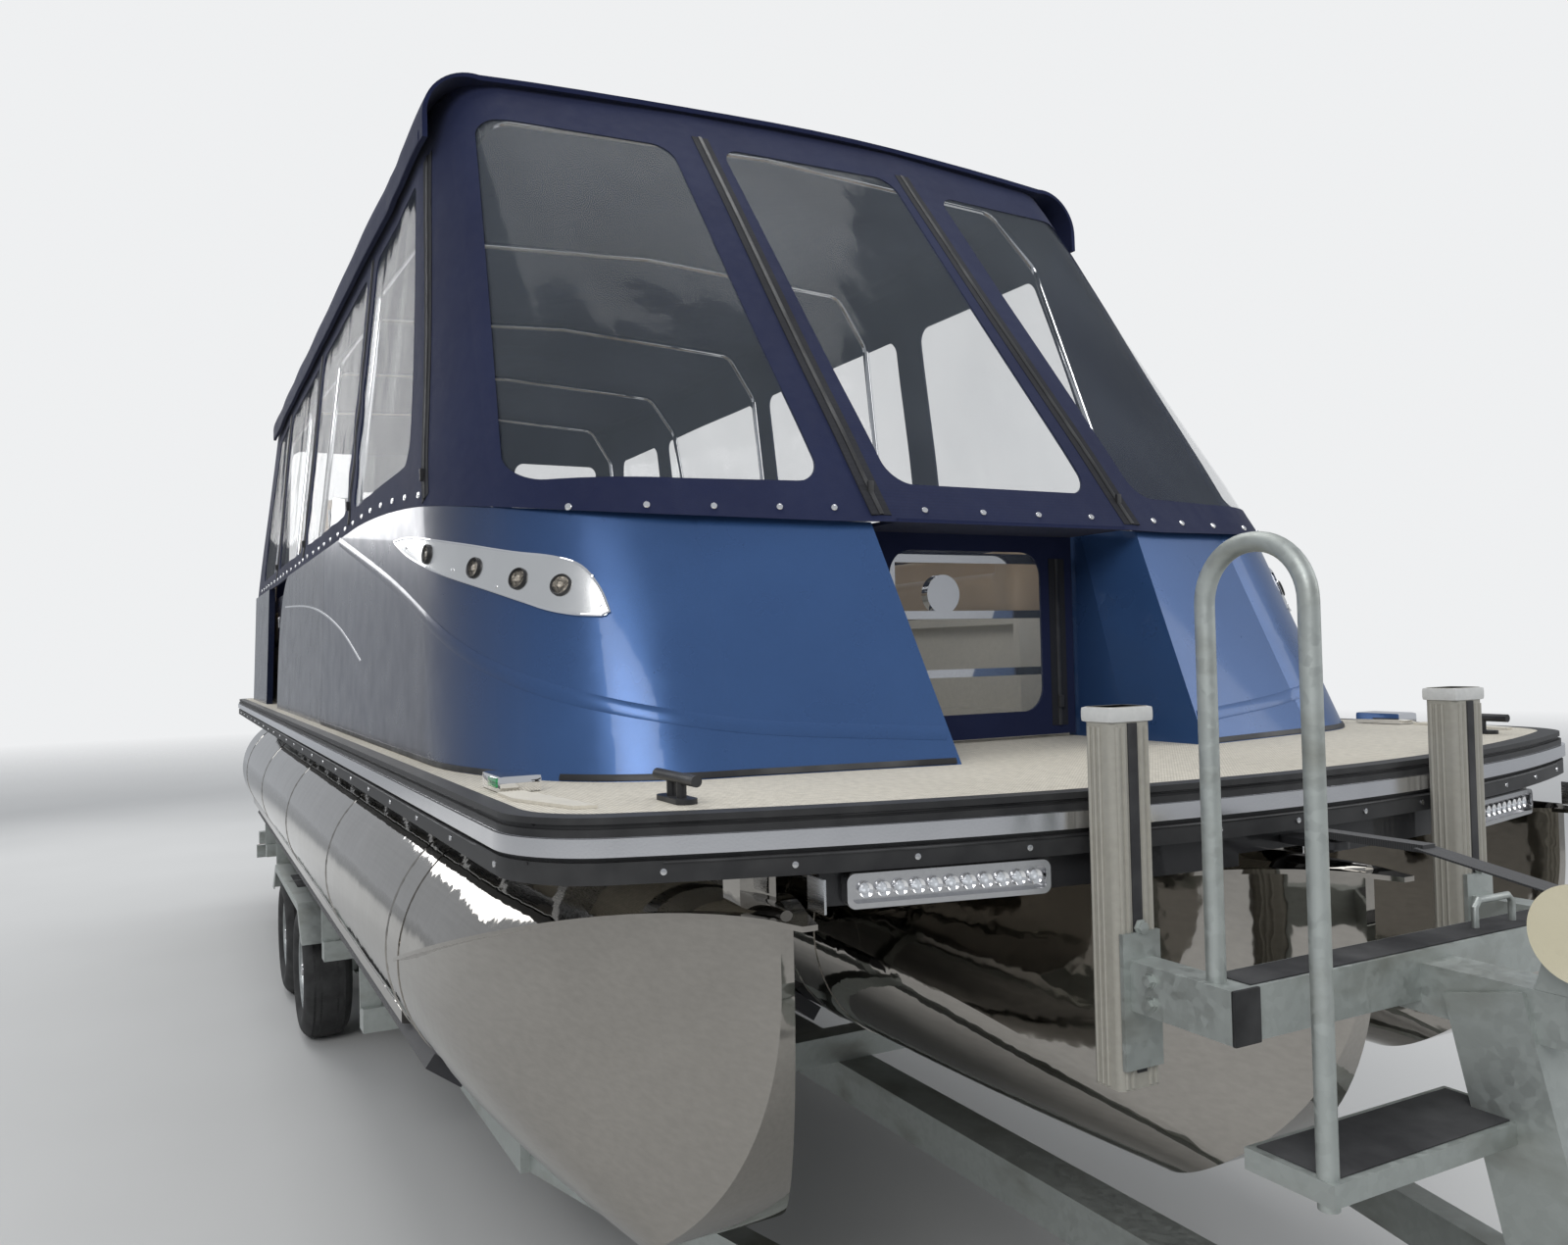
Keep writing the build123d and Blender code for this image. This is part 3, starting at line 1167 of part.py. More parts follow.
with BuildPart() as motor_swivel:
    half = CLAMP_HALF - CLAMP_PLATE - 3
    with BuildSketch(Plane.XZ.offset(-half)):
        with Locations((tilt_x, tilt_z)):
            Circle(34)
        with BuildLine():
            Polyline((tilt_x, tilt_z + 30), (steer_x - 45, tilt_z + 20), (steer_x - 45, tilt_z - 420),
                     (steer_x + 45, tilt_z - 420), (steer_x + 45, tilt_z - 60), (tilt_x, tilt_z - 30),
                     close=True)
        make_face()
        with Locations((tilt_x, tilt_z)):
            Circle(TILT_PIN + PIN_GAP, mode=Mode.SUBTRACT)
    extrude(amount=2 * half)
    with BuildSketch(Plane.XY.offset(tilt_z - 430)):
        with Locations((steer_x, 0)):
            Circle(STEER_TUBE + PIN_GAP)
    extrude(amount=500, mode=Mode.SUBTRACT)
keep(motor_swivel, "motor_swivel")
with BuildPart() as motor_leg:
    with BuildSketch(Plane.XY.offset(tilt_z - 420 - 6)):
        with Locations((steer_x, 0)):
            Circle(STEER_TUBE)
    extrude(amount=426 + 60)
    with BuildSketch(Plane.XY.offset(tilt_z + 42)):
        with Locations((steer_x - 90, 0)):
            RectangleRounded(360, 240, 60)
    extrude(amount=24)
    with BuildSketch(Plane.XY.offset(prop_z + 40)):
        with Locations((steer_x - 140, 0)):
            Ellipse(128, 46)
    with BuildSketch(Plane.XY.offset(tilt_z - 426)):
        with Locations((steer_x - 110, 0)):
            Ellipse(170, 75)
    loft()
    with BuildSketch(Plane.XY.offset(tilt_z - 427)):
        with Locations((steer_x - 175, 0)):
            RectangleRounded(140, 150, 40)
    extrude(amount=490)
    with BuildSketch(Plane.XY.offset(prop_z + PROP_RADIUS + 12)):
        with Locations((steer_x - 170, 0)):
            Ellipse(260, 120)
    extrude(amount=8)
    with BuildSketch(Plane(origin=(steer_x - 140, 0, prop_z), x_dir=(1, 0, 0), z_dir=(0, 1, 0))):
        with BuildLine():
            nose = (190, 0)
            ThreePointArc(nose, (120, 46), (0, 56))
            Polyline((0, 56), (-130, 44), (-130, 0), nose)
        make_face()
    revolve(axis=Axis((steer_x - 140, 0, prop_z), (1, 0, 0)))
    add(side_slab([(steer_x - 10, prop_z - 40), (steer_x - 190, prop_z - 40), (steer_x - 210, prop_z - 190),
                   (steer_x - 130, prop_z - 190)], -9, 9))
    add(straight_tube((steer_x - 265, 0, prop_z), (steer_x - 140 - 130 - PROP_SHAFT, 0, prop_z), 12))
keep(motor_leg, "motor_leg")
with BuildPart() as motor_cowl:
    cowl_x = steer_x - 70
    for height, length, width in COWL_LEVELS:
        with BuildSketch(Plane.XY.offset(tilt_z + 66 + SEAT + height)):
            with Locations((cowl_x, 0)):
                RectangleRounded(length, width, width * 0.3)
    loft()
    fillet(motor_cowl.faces().sort_by(Axis.Z)[-1].edges(), 30)
keep(motor_cowl, "motor_cowl")
prop_x = steer_x - 140 - 130 - PROP_SHAFT / 2
with BuildPart() as propeller:
    with BuildSketch(Plane.YZ.offset(prop_x - PROP_HUB_LENGTH / 2)):
        with Locations((0, prop_z)):
            Circle(PROP_HUB)
            Circle(12 + PIN_GAP, mode=Mode.SUBTRACT)
    extrude(amount=PROP_HUB_LENGTH)
    for angle in (90, 210, 330):
        radial = (0, math.cos(math.radians(angle)), math.sin(math.radians(angle)))
        tangent = Vector(1, 0, 0).cross(Vector(*radial))
        pitch = Vector(1, 0,
                       0) * math.sin(math.radians(PROP_PITCH)) + tangent * math.cos(math.radians(PROP_PITCH))
        with BuildSketch(Plane(origin=(prop_x, 0, prop_z), x_dir=radial, z_dir=pitch.cross(Vector(*radial)))):
            with Locations((PROP_HUB * 0.7 + (PROP_RADIUS - PROP_HUB * 0.7) / 2, 0)):
                Ellipse((PROP_RADIUS - PROP_HUB * 0.7) / 2, PROP_BLADE)
        extrude(amount=4, both=True)
    with BuildSketch(Plane.YZ.offset(prop_x - PROP_HUB_LENGTH / 2 - 1)):
        with Locations((0, prop_z)):
            Circle(12 + PIN_GAP)
    extrude(amount=PROP_HUB_LENGTH + 2, mode=Mode.SUBTRACT)
keep(propeller, "propeller")


# Trailer frame: box-section rails, drawbar, spine and cross-members, fused as welded
rail_low = RAIL_TUBE_TOP - RAIL_TUBE_HEIGHT
rail_mid = RAIL_TUBE_TOP - RAIL_TUBE_HEIGHT / 2
# columns: station behind the bow, half-width
CROSS_MEMBERS = [(1560.0, 940.0), (2550.0, 1190.0), (3560.0, 1190.0), (4590.0, 970.0), (5620.0, 1190.0),
                 (6400.0, 1190.0), (6990.0, 1190.0)]
BUNK_STATIONS = [1560.0, 2550.0, 3560.0, 5620.0, 6400.0]
bunk_sin = math.sin(math.radians(BUNK_ANGLE))
bunk_cos = math.cos(math.radians(BUNK_ANGLE))


def bunk_point(log_y, side, depth, along):
    """Return (y, z) at a depth from the log's axis and a shift along the plank's width."""
    return (log_y + side * (depth * bunk_sin + along * bunk_cos),
            LOG_AXIS - depth * bunk_cos + along * bunk_sin)


def cradle_section(log_y, side, points, back_from, back_to):
    """Return a bar under a log cut to a section given as (depth, along)."""
    with BuildPart() as bar:
        with BuildSketch(Plane.YZ.offset(BOW - back_to)):
            with BuildLine():
                Polyline(*[bunk_point(log_y, side, depth, along) for depth, along in points], close=True)
            make_face()
        extrude(amount=back_to - back_from)
    return bar.part


bunk_under = LOG_RADIUS + SEAT + BUNK_THICK
with BuildPart() as trailer_frame:
    for side in (-1, 1):
        add(block(BOW - RAIL_REAR, BOW - RAIL_FORE, side * (RAIL_TUBE_SIDE - RAIL_TUBE_WIDTH / 2),
                  side * (RAIL_TUBE_SIDE + RAIL_TUBE_WIDTH / 2), rail_low, RAIL_TUBE_TOP))
        add(box_beam((BOW - RAIL_FORE - 60, side * (RAIL_TUBE_SIDE - 8), rail_mid),
                     (BOW + DRAWBAR_TIP, side * DRAWBAR_HALF, rail_mid), RAIL_TUBE_WIDTH, RAIL_TUBE_HEIGHT))
        add(block(BOW - AXLE_FIRST - AXLE_PITCH / 2 - 25, BOW - AXLE_FIRST - AXLE_PITCH / 2 + 25,
                  side * RAIL_TUBE_SIDE, side * (RAIL_TUBE_SIDE + 100), rail_low + 10, rail_low + 70))
        add(block(BOW - AXLE_FIRST - AXLE_PITCH / 2 - 25, BOW - AXLE_FIRST - AXLE_PITCH / 2 + 25,
                  side * (RAIL_TUBE_SIDE + 74), side * (RAIL_TUBE_SIDE + 100), rail_low + 10,
                  GUARD_TOP - GUARD_SHEET - SEAT))
        for back in (AXLE_FIRST - SPRING_REACH, AXLE_FIRST + AXLE_PITCH / 2,
                     AXLE_FIRST + AXLE_PITCH + SPRING_REACH):
            add(block(BOW - back - 35, BOW - back + 35, side * (RAIL_TUBE_SIDE - 30),
                      side * (RAIL_TUBE_SIDE + 30),
                      SPRING_END + SPRING_THICK / 2 + SEAT, rail_low))
    add(block(BOW - RAIL_REAR, BOW + SPINE_TIP, -SPINE_WIDTH / 2, SPINE_WIDTH / 2, rail_low, RAIL_TUBE_TOP))
    drawbar_spread = (RAIL_TUBE_SIDE - DRAWBAR_HALF) / (DRAWBAR_TIP + RAIL_FORE)
    tie_half = DRAWBAR_HALF + drawbar_spread * (DRAWBAR_TIP - TIE_LEAD)
    add(block(BOW + TIE_LEAD, BOW + TIE_LEAD + CROSSBAR, -tie_half, tie_half, rail_low - TIE_THICK - SEAT,
              rail_low - SEAT))
    add(block(BOW + DRAWBAR_TIP - 110, BOW + DRAWBAR_TIP, -DRAWBAR_HALF - 30, DRAWBAR_HALF + 30,
              rail_low, RAIL_TUBE_TOP))
    for back, half in CROSS_MEMBERS:
        add(block(BOW - back - CROSSBAR / 2, BOW - back + CROSSBAR / 2, -half, half, RAIL_TUBE_TOP + SEAT,
                  RAIL_TUBE_TOP + CROSSBAR))
    add(block(BOW - RAIL_REAR - 40, BOW - RAIL_REAR - SEAT, -LIGHT_BEAM, LIGHT_BEAM, rail_low,
              RAIL_TUBE_TOP - 20))
    for log_y in (-LOG_SPACING, 0, LOG_SPACING):
        for side in (-1, 1):
            for back in BUNK_STATIONS:
                if abs(log_y + side * 200) < RAIL_TUBE_SIDE or back in BUNK_STATIONS[1:]:
                    (y_a, z_a) = bunk_point(log_y, side, bunk_under + SEAT, -BUNK_WIDTH * 0.4)
                    (y_b, z_b) = bunk_point(log_y, side, bunk_under + SEAT, BUNK_WIDTH * 0.4)
                    with BuildSketch(Plane.YZ.offset(BOW - back - BUNK_PLATE / 2)):
                        with BuildLine():
                            Polyline((y_a, RAIL_TUBE_TOP + CROSSBAR - 5), (y_a, z_a), (y_b, z_b),
                                     (y_b, RAIL_TUBE_TOP + CROSSBAR - 5), close=True)
                        make_face()
                    extrude(amount=BUNK_PLATE)
keep(trailer_frame, "trailer_frame")

# Bunks: two carpeted planks under each log
with BuildPart() as bunks:
    plank = [(LOG_RADIUS + SEAT, -BUNK_WIDTH / 2), (LOG_RADIUS + SEAT, BUNK_WIDTH / 2),
             (bunk_under, BUNK_WIDTH / 2), (bunk_under, -BUNK_WIDTH / 2)]
    for log_y in (-LOG_SPACING, 0, LOG_SPACING):
        for side in (-1, 1):
            add(cradle_section(log_y, side, plank, BUNK_FORE, BUNK_REAR))
keep(bunks, "bunks")

# Axles with their leaf springs, spindles and backing plates
with BuildPart() as axles:
    for back in (AXLE_FIRST, AXLE_FIRST + AXLE_PITCH):
        axle_x = BOW - back
        add(block(axle_x - AXLE_SQUARE / 2, axle_x + AXLE_SQUARE / 2, -HUB_FACE, HUB_FACE,
                  TYRE_RADIUS - AXLE_SQUARE / 2, TYRE_RADIUS + AXLE_SQUARE / 2))
        add(straight_tube((axle_x, -SPINDLE_TIP, TYRE_RADIUS), (axle_x, SPINDLE_TIP, TYRE_RADIUS), SPINDLE))
        for side in (-1, 1):
            add(straight_tube((axle_x, side * (HUB_FACE - 12), TYRE_RADIUS),
                              (axle_x, side * HUB_FACE, TYRE_RADIUS), DRUM_RADIUS + 6))
            with BuildSketch(Plane.XZ.offset(-side * RAIL_TUBE_SIDE + SPRING_WIDTH / 2)):
                with BuildLine():
                    upper = ThreePointArc((axle_x - SPRING_REACH, SPRING_END + SPRING_THICK / 2),
                                          (axle_x, TYRE_RADIUS + AXLE_SQUARE / 2 + SPRING_THICK),
                                          (axle_x + SPRING_REACH, SPRING_END + SPRING_THICK / 2))
                    Line(upper @ 1, (axle_x + SPRING_REACH, SPRING_END - SPRING_THICK / 2))
                    lower = ThreePointArc((axle_x + SPRING_REACH, SPRING_END - SPRING_THICK / 2),
                                          (axle_x, TYRE_RADIUS + AXLE_SQUARE / 2 - 4),
                                          (axle_x - SPRING_REACH, SPRING_END - SPRING_THICK / 2))
                    Line(lower @ 1, upper @ 0)
                make_face()
            extrude(amount=-SPRING_WIDTH)
keep(axles, "axles")


def trailer_wheel(axle_x, side):
    """Return one tyre and its slotted steel wheel with hub and drum."""
    centre = (axle_x, side * TRACK_HALF, TYRE_RADIUS)
    plane = Plane(origin=centre, x_dir=(1, 0, 0), z_dir=(0, side, 0))
    profile = Plane(origin=centre, x_dir=(0, side, 0), z_dir=(1, 0, 0))
    axis = Axis(centre, (0, 1, 0))
    half = TYRE_WIDTH / 2
    with BuildPart() as tyre:
        with BuildSketch(profile):
            with BuildLine():
                crown = ThreePointArc((-half + TYRE_CORNER, TYRE_RADIUS - 6), (0, TYRE_RADIUS),
                                      (half - TYRE_CORNER, TYRE_RADIUS - 6))
                outer = ThreePointArc(crown @ 1, (half - 2, (TYRE_RADIUS + RIM_RADIUS) / 2 + 22),
                                      (RIM_WIDTH / 2 + 6, RIM_RADIUS + SEAT))
                inner = ThreePointArc(crown @ 0, (-half + 2, (TYRE_RADIUS + RIM_RADIUS) / 2 + 22),
                                      (-RIM_WIDTH / 2 - 6, RIM_RADIUS + SEAT))
                Line(outer @ 1, inner @ 1)
            make_face()
        revolve(axis=axis)
    with BuildPart() as rim:
        with BuildSketch(profile):
            with BuildLine():
                Polyline((-RIM_WIDTH / 2, RIM_RADIUS), (RIM_WIDTH / 2, RIM_RADIUS),
                         (RIM_WIDTH / 2, RIM_RADIUS - 16),
                         (RIM_WIDTH / 2 - 20, RIM_RADIUS - 22), (DISC_OUT + 5, RIM_RADIUS - 34),
                         (DISC_OUT + 5, HUB_RADIUS), (HUB_NOSE, HUB_RADIUS * 0.5), (HUB_NOSE, 0),
                         (-HUB_BACK, 0),
                         (-HUB_BACK, DRUM_RADIUS), (DISC_OUT - 3, DRUM_RADIUS),
                         (DISC_OUT - 3, RIM_RADIUS - 42),
                         (-RIM_WIDTH / 2, RIM_RADIUS - 16), close=True)
            make_face()
        revolve(axis=axis)
        with BuildSketch(plane.offset(-HUB_BACK - 1)):
            Circle(SPINDLE + PIN_GAP)
        extrude(amount=HUB_BACK + 1 + SPINDLE_TIP - TRACK_HALF + 3, mode=Mode.SUBTRACT)
        with BuildSketch(plane.offset(DISC_OUT - 10)):
            with PolarLocations((DRUM_RADIUS + RIM_RADIUS - 38) / 2, WHEEL_SLOTS):
                SlotOverall(30, 14, rotation=90)
        extrude(amount=20, mode=Mode.SUBTRACT)
    with BuildPart() as wheel:
        add(tyre.part)
        add(rim.part)
    return wheel.part


WHEELS = [("wheel_front_starboard", AXLE_FIRST, -1), ("wheel_front_port", AXLE_FIRST, 1),
          ("wheel_rear_starboard", AXLE_FIRST + AXLE_PITCH, -1),
          ("wheel_rear_port", AXLE_FIRST + AXLE_PITCH, 1)]
for name, back, side in WHEELS:
    with BuildPart() as wheel_piece:
        add(trailer_wheel(BOW - back, side))
    keep(wheel_piece, name)

# Mudguards: flat-topped folded sheets with an outer skirt
guard_fore = BOW - AXLE_FIRST + GUARD_REACH
guard_rear = BOW - AXLE_FIRST - AXLE_PITCH - GUARD_REACH


def guard_outline(drop):
    """Return the guard's side outline as (x, z), sunk by a drop."""
    top = GUARD_TOP - drop
    return [(guard_rear + drop, RAIL_TUBE_TOP - drop), (guard_rear + GUARD_SLOPE + drop * 0.4, top),
            (guard_fore - GUARD_SLOPE - drop * 0.4, top), (guard_fore - drop, RAIL_TUBE_TOP - drop)]


with BuildPart() as mudguards:
    for side in (-1, 1):
        y_near = side * GUARD_INNER
        y_far = side * (GUARD_INNER + GUARD_WIDTH)
        add(side_slab(guard_outline(0.0), min(y_near, y_far), max(y_near, y_far)))
        add(side_slab([(guard_rear + GUARD_SHEET, RAIL_TUBE_TOP - GUARD_SKIRT)] + guard_outline(GUARD_SHEET)
                      + [(guard_fore - GUARD_SHEET, RAIL_TUBE_TOP - GUARD_SKIRT)],
                      min(y_near, y_far) - 1, max(y_near, y_far) + 1), mode=Mode.SUBTRACT)
        y_skirt = y_far - side * GUARD_SHEET
        with BuildPart() as skirt:
            add(side_slab(guard_outline(0.0), min(y_skirt, y_far), max(y_skirt, y_far)))
            add(side_slab(guard_outline(GUARD_SKIRT), min(y_skirt, y_far) - 1, max(y_skirt, y_far) + 1),
                mode=Mode.SUBTRACT)
        add(skirt.part)
keep(mudguards, "mudguards")

# Ball coupling
with BuildPart() as coupling:
    add(side_slab([(BOW + DRAWBAR_TIP + SEAT, rail_low + 20), (BOW + DRAWBAR_TIP + SEAT, RAIL_TUBE_TOP - 4),
                   (BOW + DRAWBAR_REACH - 110, RAIL_TUBE_TOP + 6), (BOW + DRAWBAR_REACH, RAIL_TUBE_TOP - 20),
                   (BOW + DRAWBAR_REACH, rail_low + 20)], -42, 42))
    fillet(coupling.edges().filter_by(Axis.Z).sort_by(Axis.X)[-2:], 34)
    with Locations((BOW + BALL_LEAD, 0, rail_low + 46)):
        Sphere(BALL_RADIUS, mode=Mode.SUBTRACT)
    with BuildSketch(Plane.XY.offset(rail_low)):
        with Locations((BOW + BALL_LEAD, 0)):
            Circle(BALL_RADIUS)
    extrude(amount=46, mode=Mode.SUBTRACT)
    add(box_beam((BOW + DRAWBAR_REACH - 190, 0, RAIL_TUBE_TOP - 2), (BOW + DRAWBAR_REACH - 60, 0,
                                                                     RAIL_TUBE_TOP + 46),
                 30, 12))
keep(coupling, "coupling")

# Tail lights on the rear beam
with BuildPart() as tail_lights:
    for side in (-1, 1):
        add(block(BOW - RAIL_REAR - 40 - SEAT - 40, BOW - RAIL_REAR - 40 - SEAT, side * (LIGHT_BEAM - 210),
                  side * (LIGHT_BEAM - 10), rail_low, RAIL_TUBE_TOP - 22))
    fillet(tail_lights.edges().filter_by(Axis.X), 10)
keep(tail_lights, "tail_lights")

# Mooring cleats on the deck, columns: station behind the bow, side
CLEATS = [(330.0, 1020.0), (330.0, -1020.0), (7130.0, 1110.0), (7130.0, -1110.0)]
with BuildPart() as cleats:
    for back, side_at in CLEATS:
        with BuildSketch(Plane.XY.offset(DECK_TOP + SEAT)):
            with Locations((BOW - back, side_at)):
                SlotOverall(110, 36)
        extrude(amount=8)
        with BuildSketch(Plane.XY.offset(DECK_TOP + 8)):
            with Locations((BOW - back - 20, side_at), (BOW - back + 20, side_at)):
                Circle(8)
        extrude(amount=30)
        add(straight_tube((BOW - back - 80, side_at, DECK_TOP + 38), (BOW - back + 80, side_at,
                                                                      DECK_TOP + 38), 9))
keep(cleats, "cleats")

# Guide posts against the rub rail, and the bow stop that carries them
crown_radius = ((BEAM / 2) ** 2 + DECK_CROWN ** 2) / (2 * DECK_CROWN)
post_near = POST_SIDE - POST_SECTION / 2
post_aft = BOW - (crown_radius - math.sqrt(crown_radius ** 2 - post_near ** 2)) + SEAT
post_fore = post_aft + POST_DEPTH
with BuildPart() as guide_posts:
    for side in (-1, 1):
        add(block(post_aft, post_fore, side * post_near, side * (post_near + POST_SECTION),
                  DECK_TOP - POST_DOWN, DECK_TOP + POST_UP))
    fillet(guide_posts.edges().filter_by(Axis.Z), 12)
keep(guide_posts, "guide_posts")

stop_z = DECK_TOP - STOP_BAR_DROP
cross_x = BOW + STOP_CROSS_LEAD
with BuildPart() as bow_stop_frame:
    for side in (-1, 1):
        add(block(post_fore + SEAT, cross_x + 38, side * (POST_SIDE - 25), side * (POST_SIDE + 25),
                  stop_z - STOP_BAR, stop_z))
        add(block(post_fore + SEAT, post_fore + 8, side * (POST_SIDE - 38), side * (POST_SIDE + 38),
                  stop_z - STOP_BAR - 90, stop_z + 40))
    add(block(cross_x - 38, cross_x + 38, -POST_SIDE, POST_SIDE, stop_z - STOP_BAR, stop_z))
    add(block(cross_x, BOW + ARM_REACH, -ARM_WIDTH / 2, ARM_WIDTH / 2, stop_z - ARM_DROP - STOP_BAR,
              stop_z - ARM_DROP))
    add(box_beam((BOW + MAST_HEAD, 0, stop_z - ARM_DROP - 20), (BOW + MAST_FOOT, 0,
                                                                RAIL_TUBE_TOP + SEAT + 60),
                 MAST_WIDTH, MAST_DEPTH, (1, 0, 0)))
    add(block(BOW + MAST_FOOT - 130, BOW + MAST_FOOT + 130, -SPINE_WIDTH / 2, SPINE_WIDTH / 2,
              RAIL_TUBE_TOP + SEAT, RAIL_TUBE_TOP + 70))
    add(block(BOW + STEP_LEAD - 140, BOW + STEP_LEAD, -STEP_SIDE, 0, DECK_TOP - STEP_DROP - 30,
              DECK_TOP - STEP_DROP))
    hoop_front = BOW + STEP_LEAD - HOOP_FOOT
    hoop_rear = cross_x - HOOP_FOOT / 2
    hoop_top = DECK_TOP + HOOP_TOP
    add(tube_run([(hoop_rear, -POST_SIDE, stop_z - HOOP_SINK), (hoop_rear, -POST_SIDE, hoop_top),
                  (hoop_front, -POST_SIDE, hoop_top), (hoop_front, -POST_SIDE,
                                                       DECK_TOP - STEP_DROP - HOOP_TAIL)],
                 HOOP_TUBE, HOOP_BEND))
keep(bow_stop_frame, "bow_stop_frame")

# Winch: side plates, geared drum with its crank, and the strap to the bow eye
arm_top = stop_z - ARM_DROP
winch_x = BOW + WINCH_LEAD
winch_z = arm_top + WINCH_UP
with BuildPart() as winch_frame:
    add(block(winch_x - 70, winch_x + 70, -WINCH_HALF - 6, WINCH_HALF + 6, arm_top + SEAT, arm_top + 6))
    for side in (-1, 1):
        add(side_slab([(winch_x - 70, arm_top + SEAT), (winch_x - 34, winch_z + 34),
                       (winch_x + 34, winch_z + 34),
                       (winch_x + 70, arm_top + SEAT)], min(side * WINCH_HALF, side * (WINCH_HALF + 6)),
                      max(side * WINCH_HALF, side * (WINCH_HALF + 6))))
        with BuildSketch(Plane.XZ.offset(-side * WINCH_HALF + 10)):
            with Locations((winch_x, winch_z)):
                Circle(WINCH_AXLE + PIN_GAP)
        extrude(amount=-20, mode=Mode.SUBTRACT)
keep(winch_frame, "winch_frame")
with BuildPart() as winch_drum:
    for y_from, y_to, radius in [(-WINCH_DISC - 12, CRANK_SIDE, WINCH_AXLE),
                                 (-WINCH_HALF + 3, WINCH_HALF - 3, WINCH_COIL),
                                 (-WINCH_DISC - 10, -WINCH_DISC, WINCH_GEAR)]:
        add(straight_tube((winch_x, y_from, winch_z), (winch_x, y_to, winch_z), radius))
    add(box_beam((winch_x - 12, CRANK_SIDE, winch_z), (winch_x + CRANK_LENGTH, CRANK_SIDE, winch_z), 8, 24,))
    add(straight_tube((winch_x + CRANK_LENGTH - 12, CRANK_SIDE, winch_z),
                      (winch_x + CRANK_LENGTH - 12, CRANK_SIDE + 100, winch_z), 14))
keep(winch_drum, "winch_drum")
hole_x = BOW - FASCIA_SETBACK + EYE_REACH - EYE_WIDTH / 2
hook_z = EYE_HEIGHT + EYE_PLATE / 2 + 10
hook_tip = BOW + HOOK_REACH
with BuildPart() as winch_strap:
    strap_top = winch_z + WINCH_COIL + SEAT + 1.5
    add(straight_tube((hole_x, 0, EYE_HEIGHT - EYE_PLATE / 2 - 8), (hole_x, 0, hook_z), HOOK_PIN))
    add(box_beam((hole_x - 14, 0, hook_z), (hook_tip + 10, 0, hook_z), 30, 12))
    add(box_beam((hook_tip, 0, hook_z), (winch_x, 0, strap_top), 48, 3))
keep(winch_strap, "winch_strap")

# Jockey wheel: clamp tube, sliding leg, swivelling fork and roller
jockey_x = BOW + JOCKEY_LEAD
jockey_y = -JOCKEY_SIDE
with BuildPart() as jockey_tube:
    with BuildSketch(Plane.XY.offset(JOCKEY_FOOT)):
        with Locations((jockey_x, jockey_y)):
            Circle(JOCKEY_TUBE)
    extrude(amount=JOCKEY_HEAD - JOCKEY_FOOT)
    add(block(jockey_x - 1.5 * JOCKEY_TUBE, jockey_x + 1.5 * JOCKEY_TUBE, jockey_y, -JOCKEY_CLAMP,
              RAIL_TUBE_TOP + SEAT, RAIL_TUBE_TOP + TIE_THICK))
    with BuildSketch(Plane.XY.offset(JOCKEY_FOOT - 1)):
        with Locations((jockey_x, jockey_y)):
            Circle(JOCKEY_LEG + PIN_GAP)
    extrude(amount=JOCKEY_HEAD - JOCKEY_FOOT - JOCKEY_CAP, mode=Mode.SUBTRACT)
    crank_z = JOCKEY_HEAD + JOCKEY_CRANK_UP
    crank_y = jockey_y - JOCKEY_CRANK
    add(straight_tube((jockey_x, jockey_y, JOCKEY_HEAD - 4), (jockey_x, jockey_y, crank_z + 12), 11))
    add(box_beam((jockey_x, crank_y - 13, crank_z), (jockey_x, jockey_y, crank_z), 14, 8))
    add(straight_tube((jockey_x, crank_y, crank_z), (jockey_x, crank_y, crank_z + 70), 10))
keep(jockey_tube, "jockey_tube")
fork_top = 2 * JOCKEY_RADIUS + 16
with BuildPart() as jockey_leg:
    with BuildSketch(Plane.XY.offset(fork_top + SEAT)):
        with Locations((jockey_x, jockey_y)):
            Circle(JOCKEY_LEG)
    extrude(amount=JOCKEY_HEAD - JOCKEY_LIFT - 20 - fork_top)
    with BuildSketch(Plane.XY.offset(fork_top)):
        with Locations((jockey_x, jockey_y)):
            Circle(JOCKEY_STEM + PIN_GAP)
    extrude(amount=JOCKEY_STEM_RISE + 6, mode=Mode.SUBTRACT)
keep(jockey_leg, "jockey_leg")
fork_x = jockey_x - JOCKEY_TRAIL
fork_half = JOCKEY_WIDTH / 2 + 6
fork_out = fork_half + FORK_SHEET
with BuildPart() as jockey_fork:
    add(block(fork_x - FORK_REACH, jockey_x + FORK_REACH, jockey_y - fork_out, jockey_y + fork_out,
              fork_top - 8, fork_top))
    ear = [(fork_x - FORK_EAR, JOCKEY_RADIUS - FORK_EAR), (fork_x - FORK_REACH, fork_top - 4),
           (jockey_x + 20, fork_top - 4), (fork_x + FORK_EAR, JOCKEY_RADIUS - FORK_EAR)]
    for side in (-1, 1):
        y_near = jockey_y + side * fork_half
        y_far = jockey_y + side * fork_out
        add(side_slab(ear, min(y_near, y_far), max(y_near, y_far)))
    add(straight_tube((fork_x, jockey_y - fork_half - 12, JOCKEY_RADIUS),
                      (fork_x, jockey_y + fork_half + 12, JOCKEY_RADIUS), JOCKEY_AXLE))
    add(straight_tube((jockey_x, jockey_y, fork_top - 4), (jockey_x, jockey_y, fork_top + JOCKEY_STEM_RISE),
                      JOCKEY_STEM))
keep(jockey_fork, "jockey_fork")
with BuildPart() as jockey_wheel:
    with BuildSketch(Plane.XZ.offset(-jockey_y - JOCKEY_WIDTH / 2)):
        with Locations((fork_x, JOCKEY_RADIUS)):
            Circle(JOCKEY_RADIUS)
            Circle(JOCKEY_AXLE + PIN_GAP, mode=Mode.SUBTRACT)
    extrude(amount=JOCKEY_WIDTH)
    fillet(jockey_wheel.edges().filter_by(GeomType.CIRCLE).group_by(SortBy.RADIUS)[-1], 10)
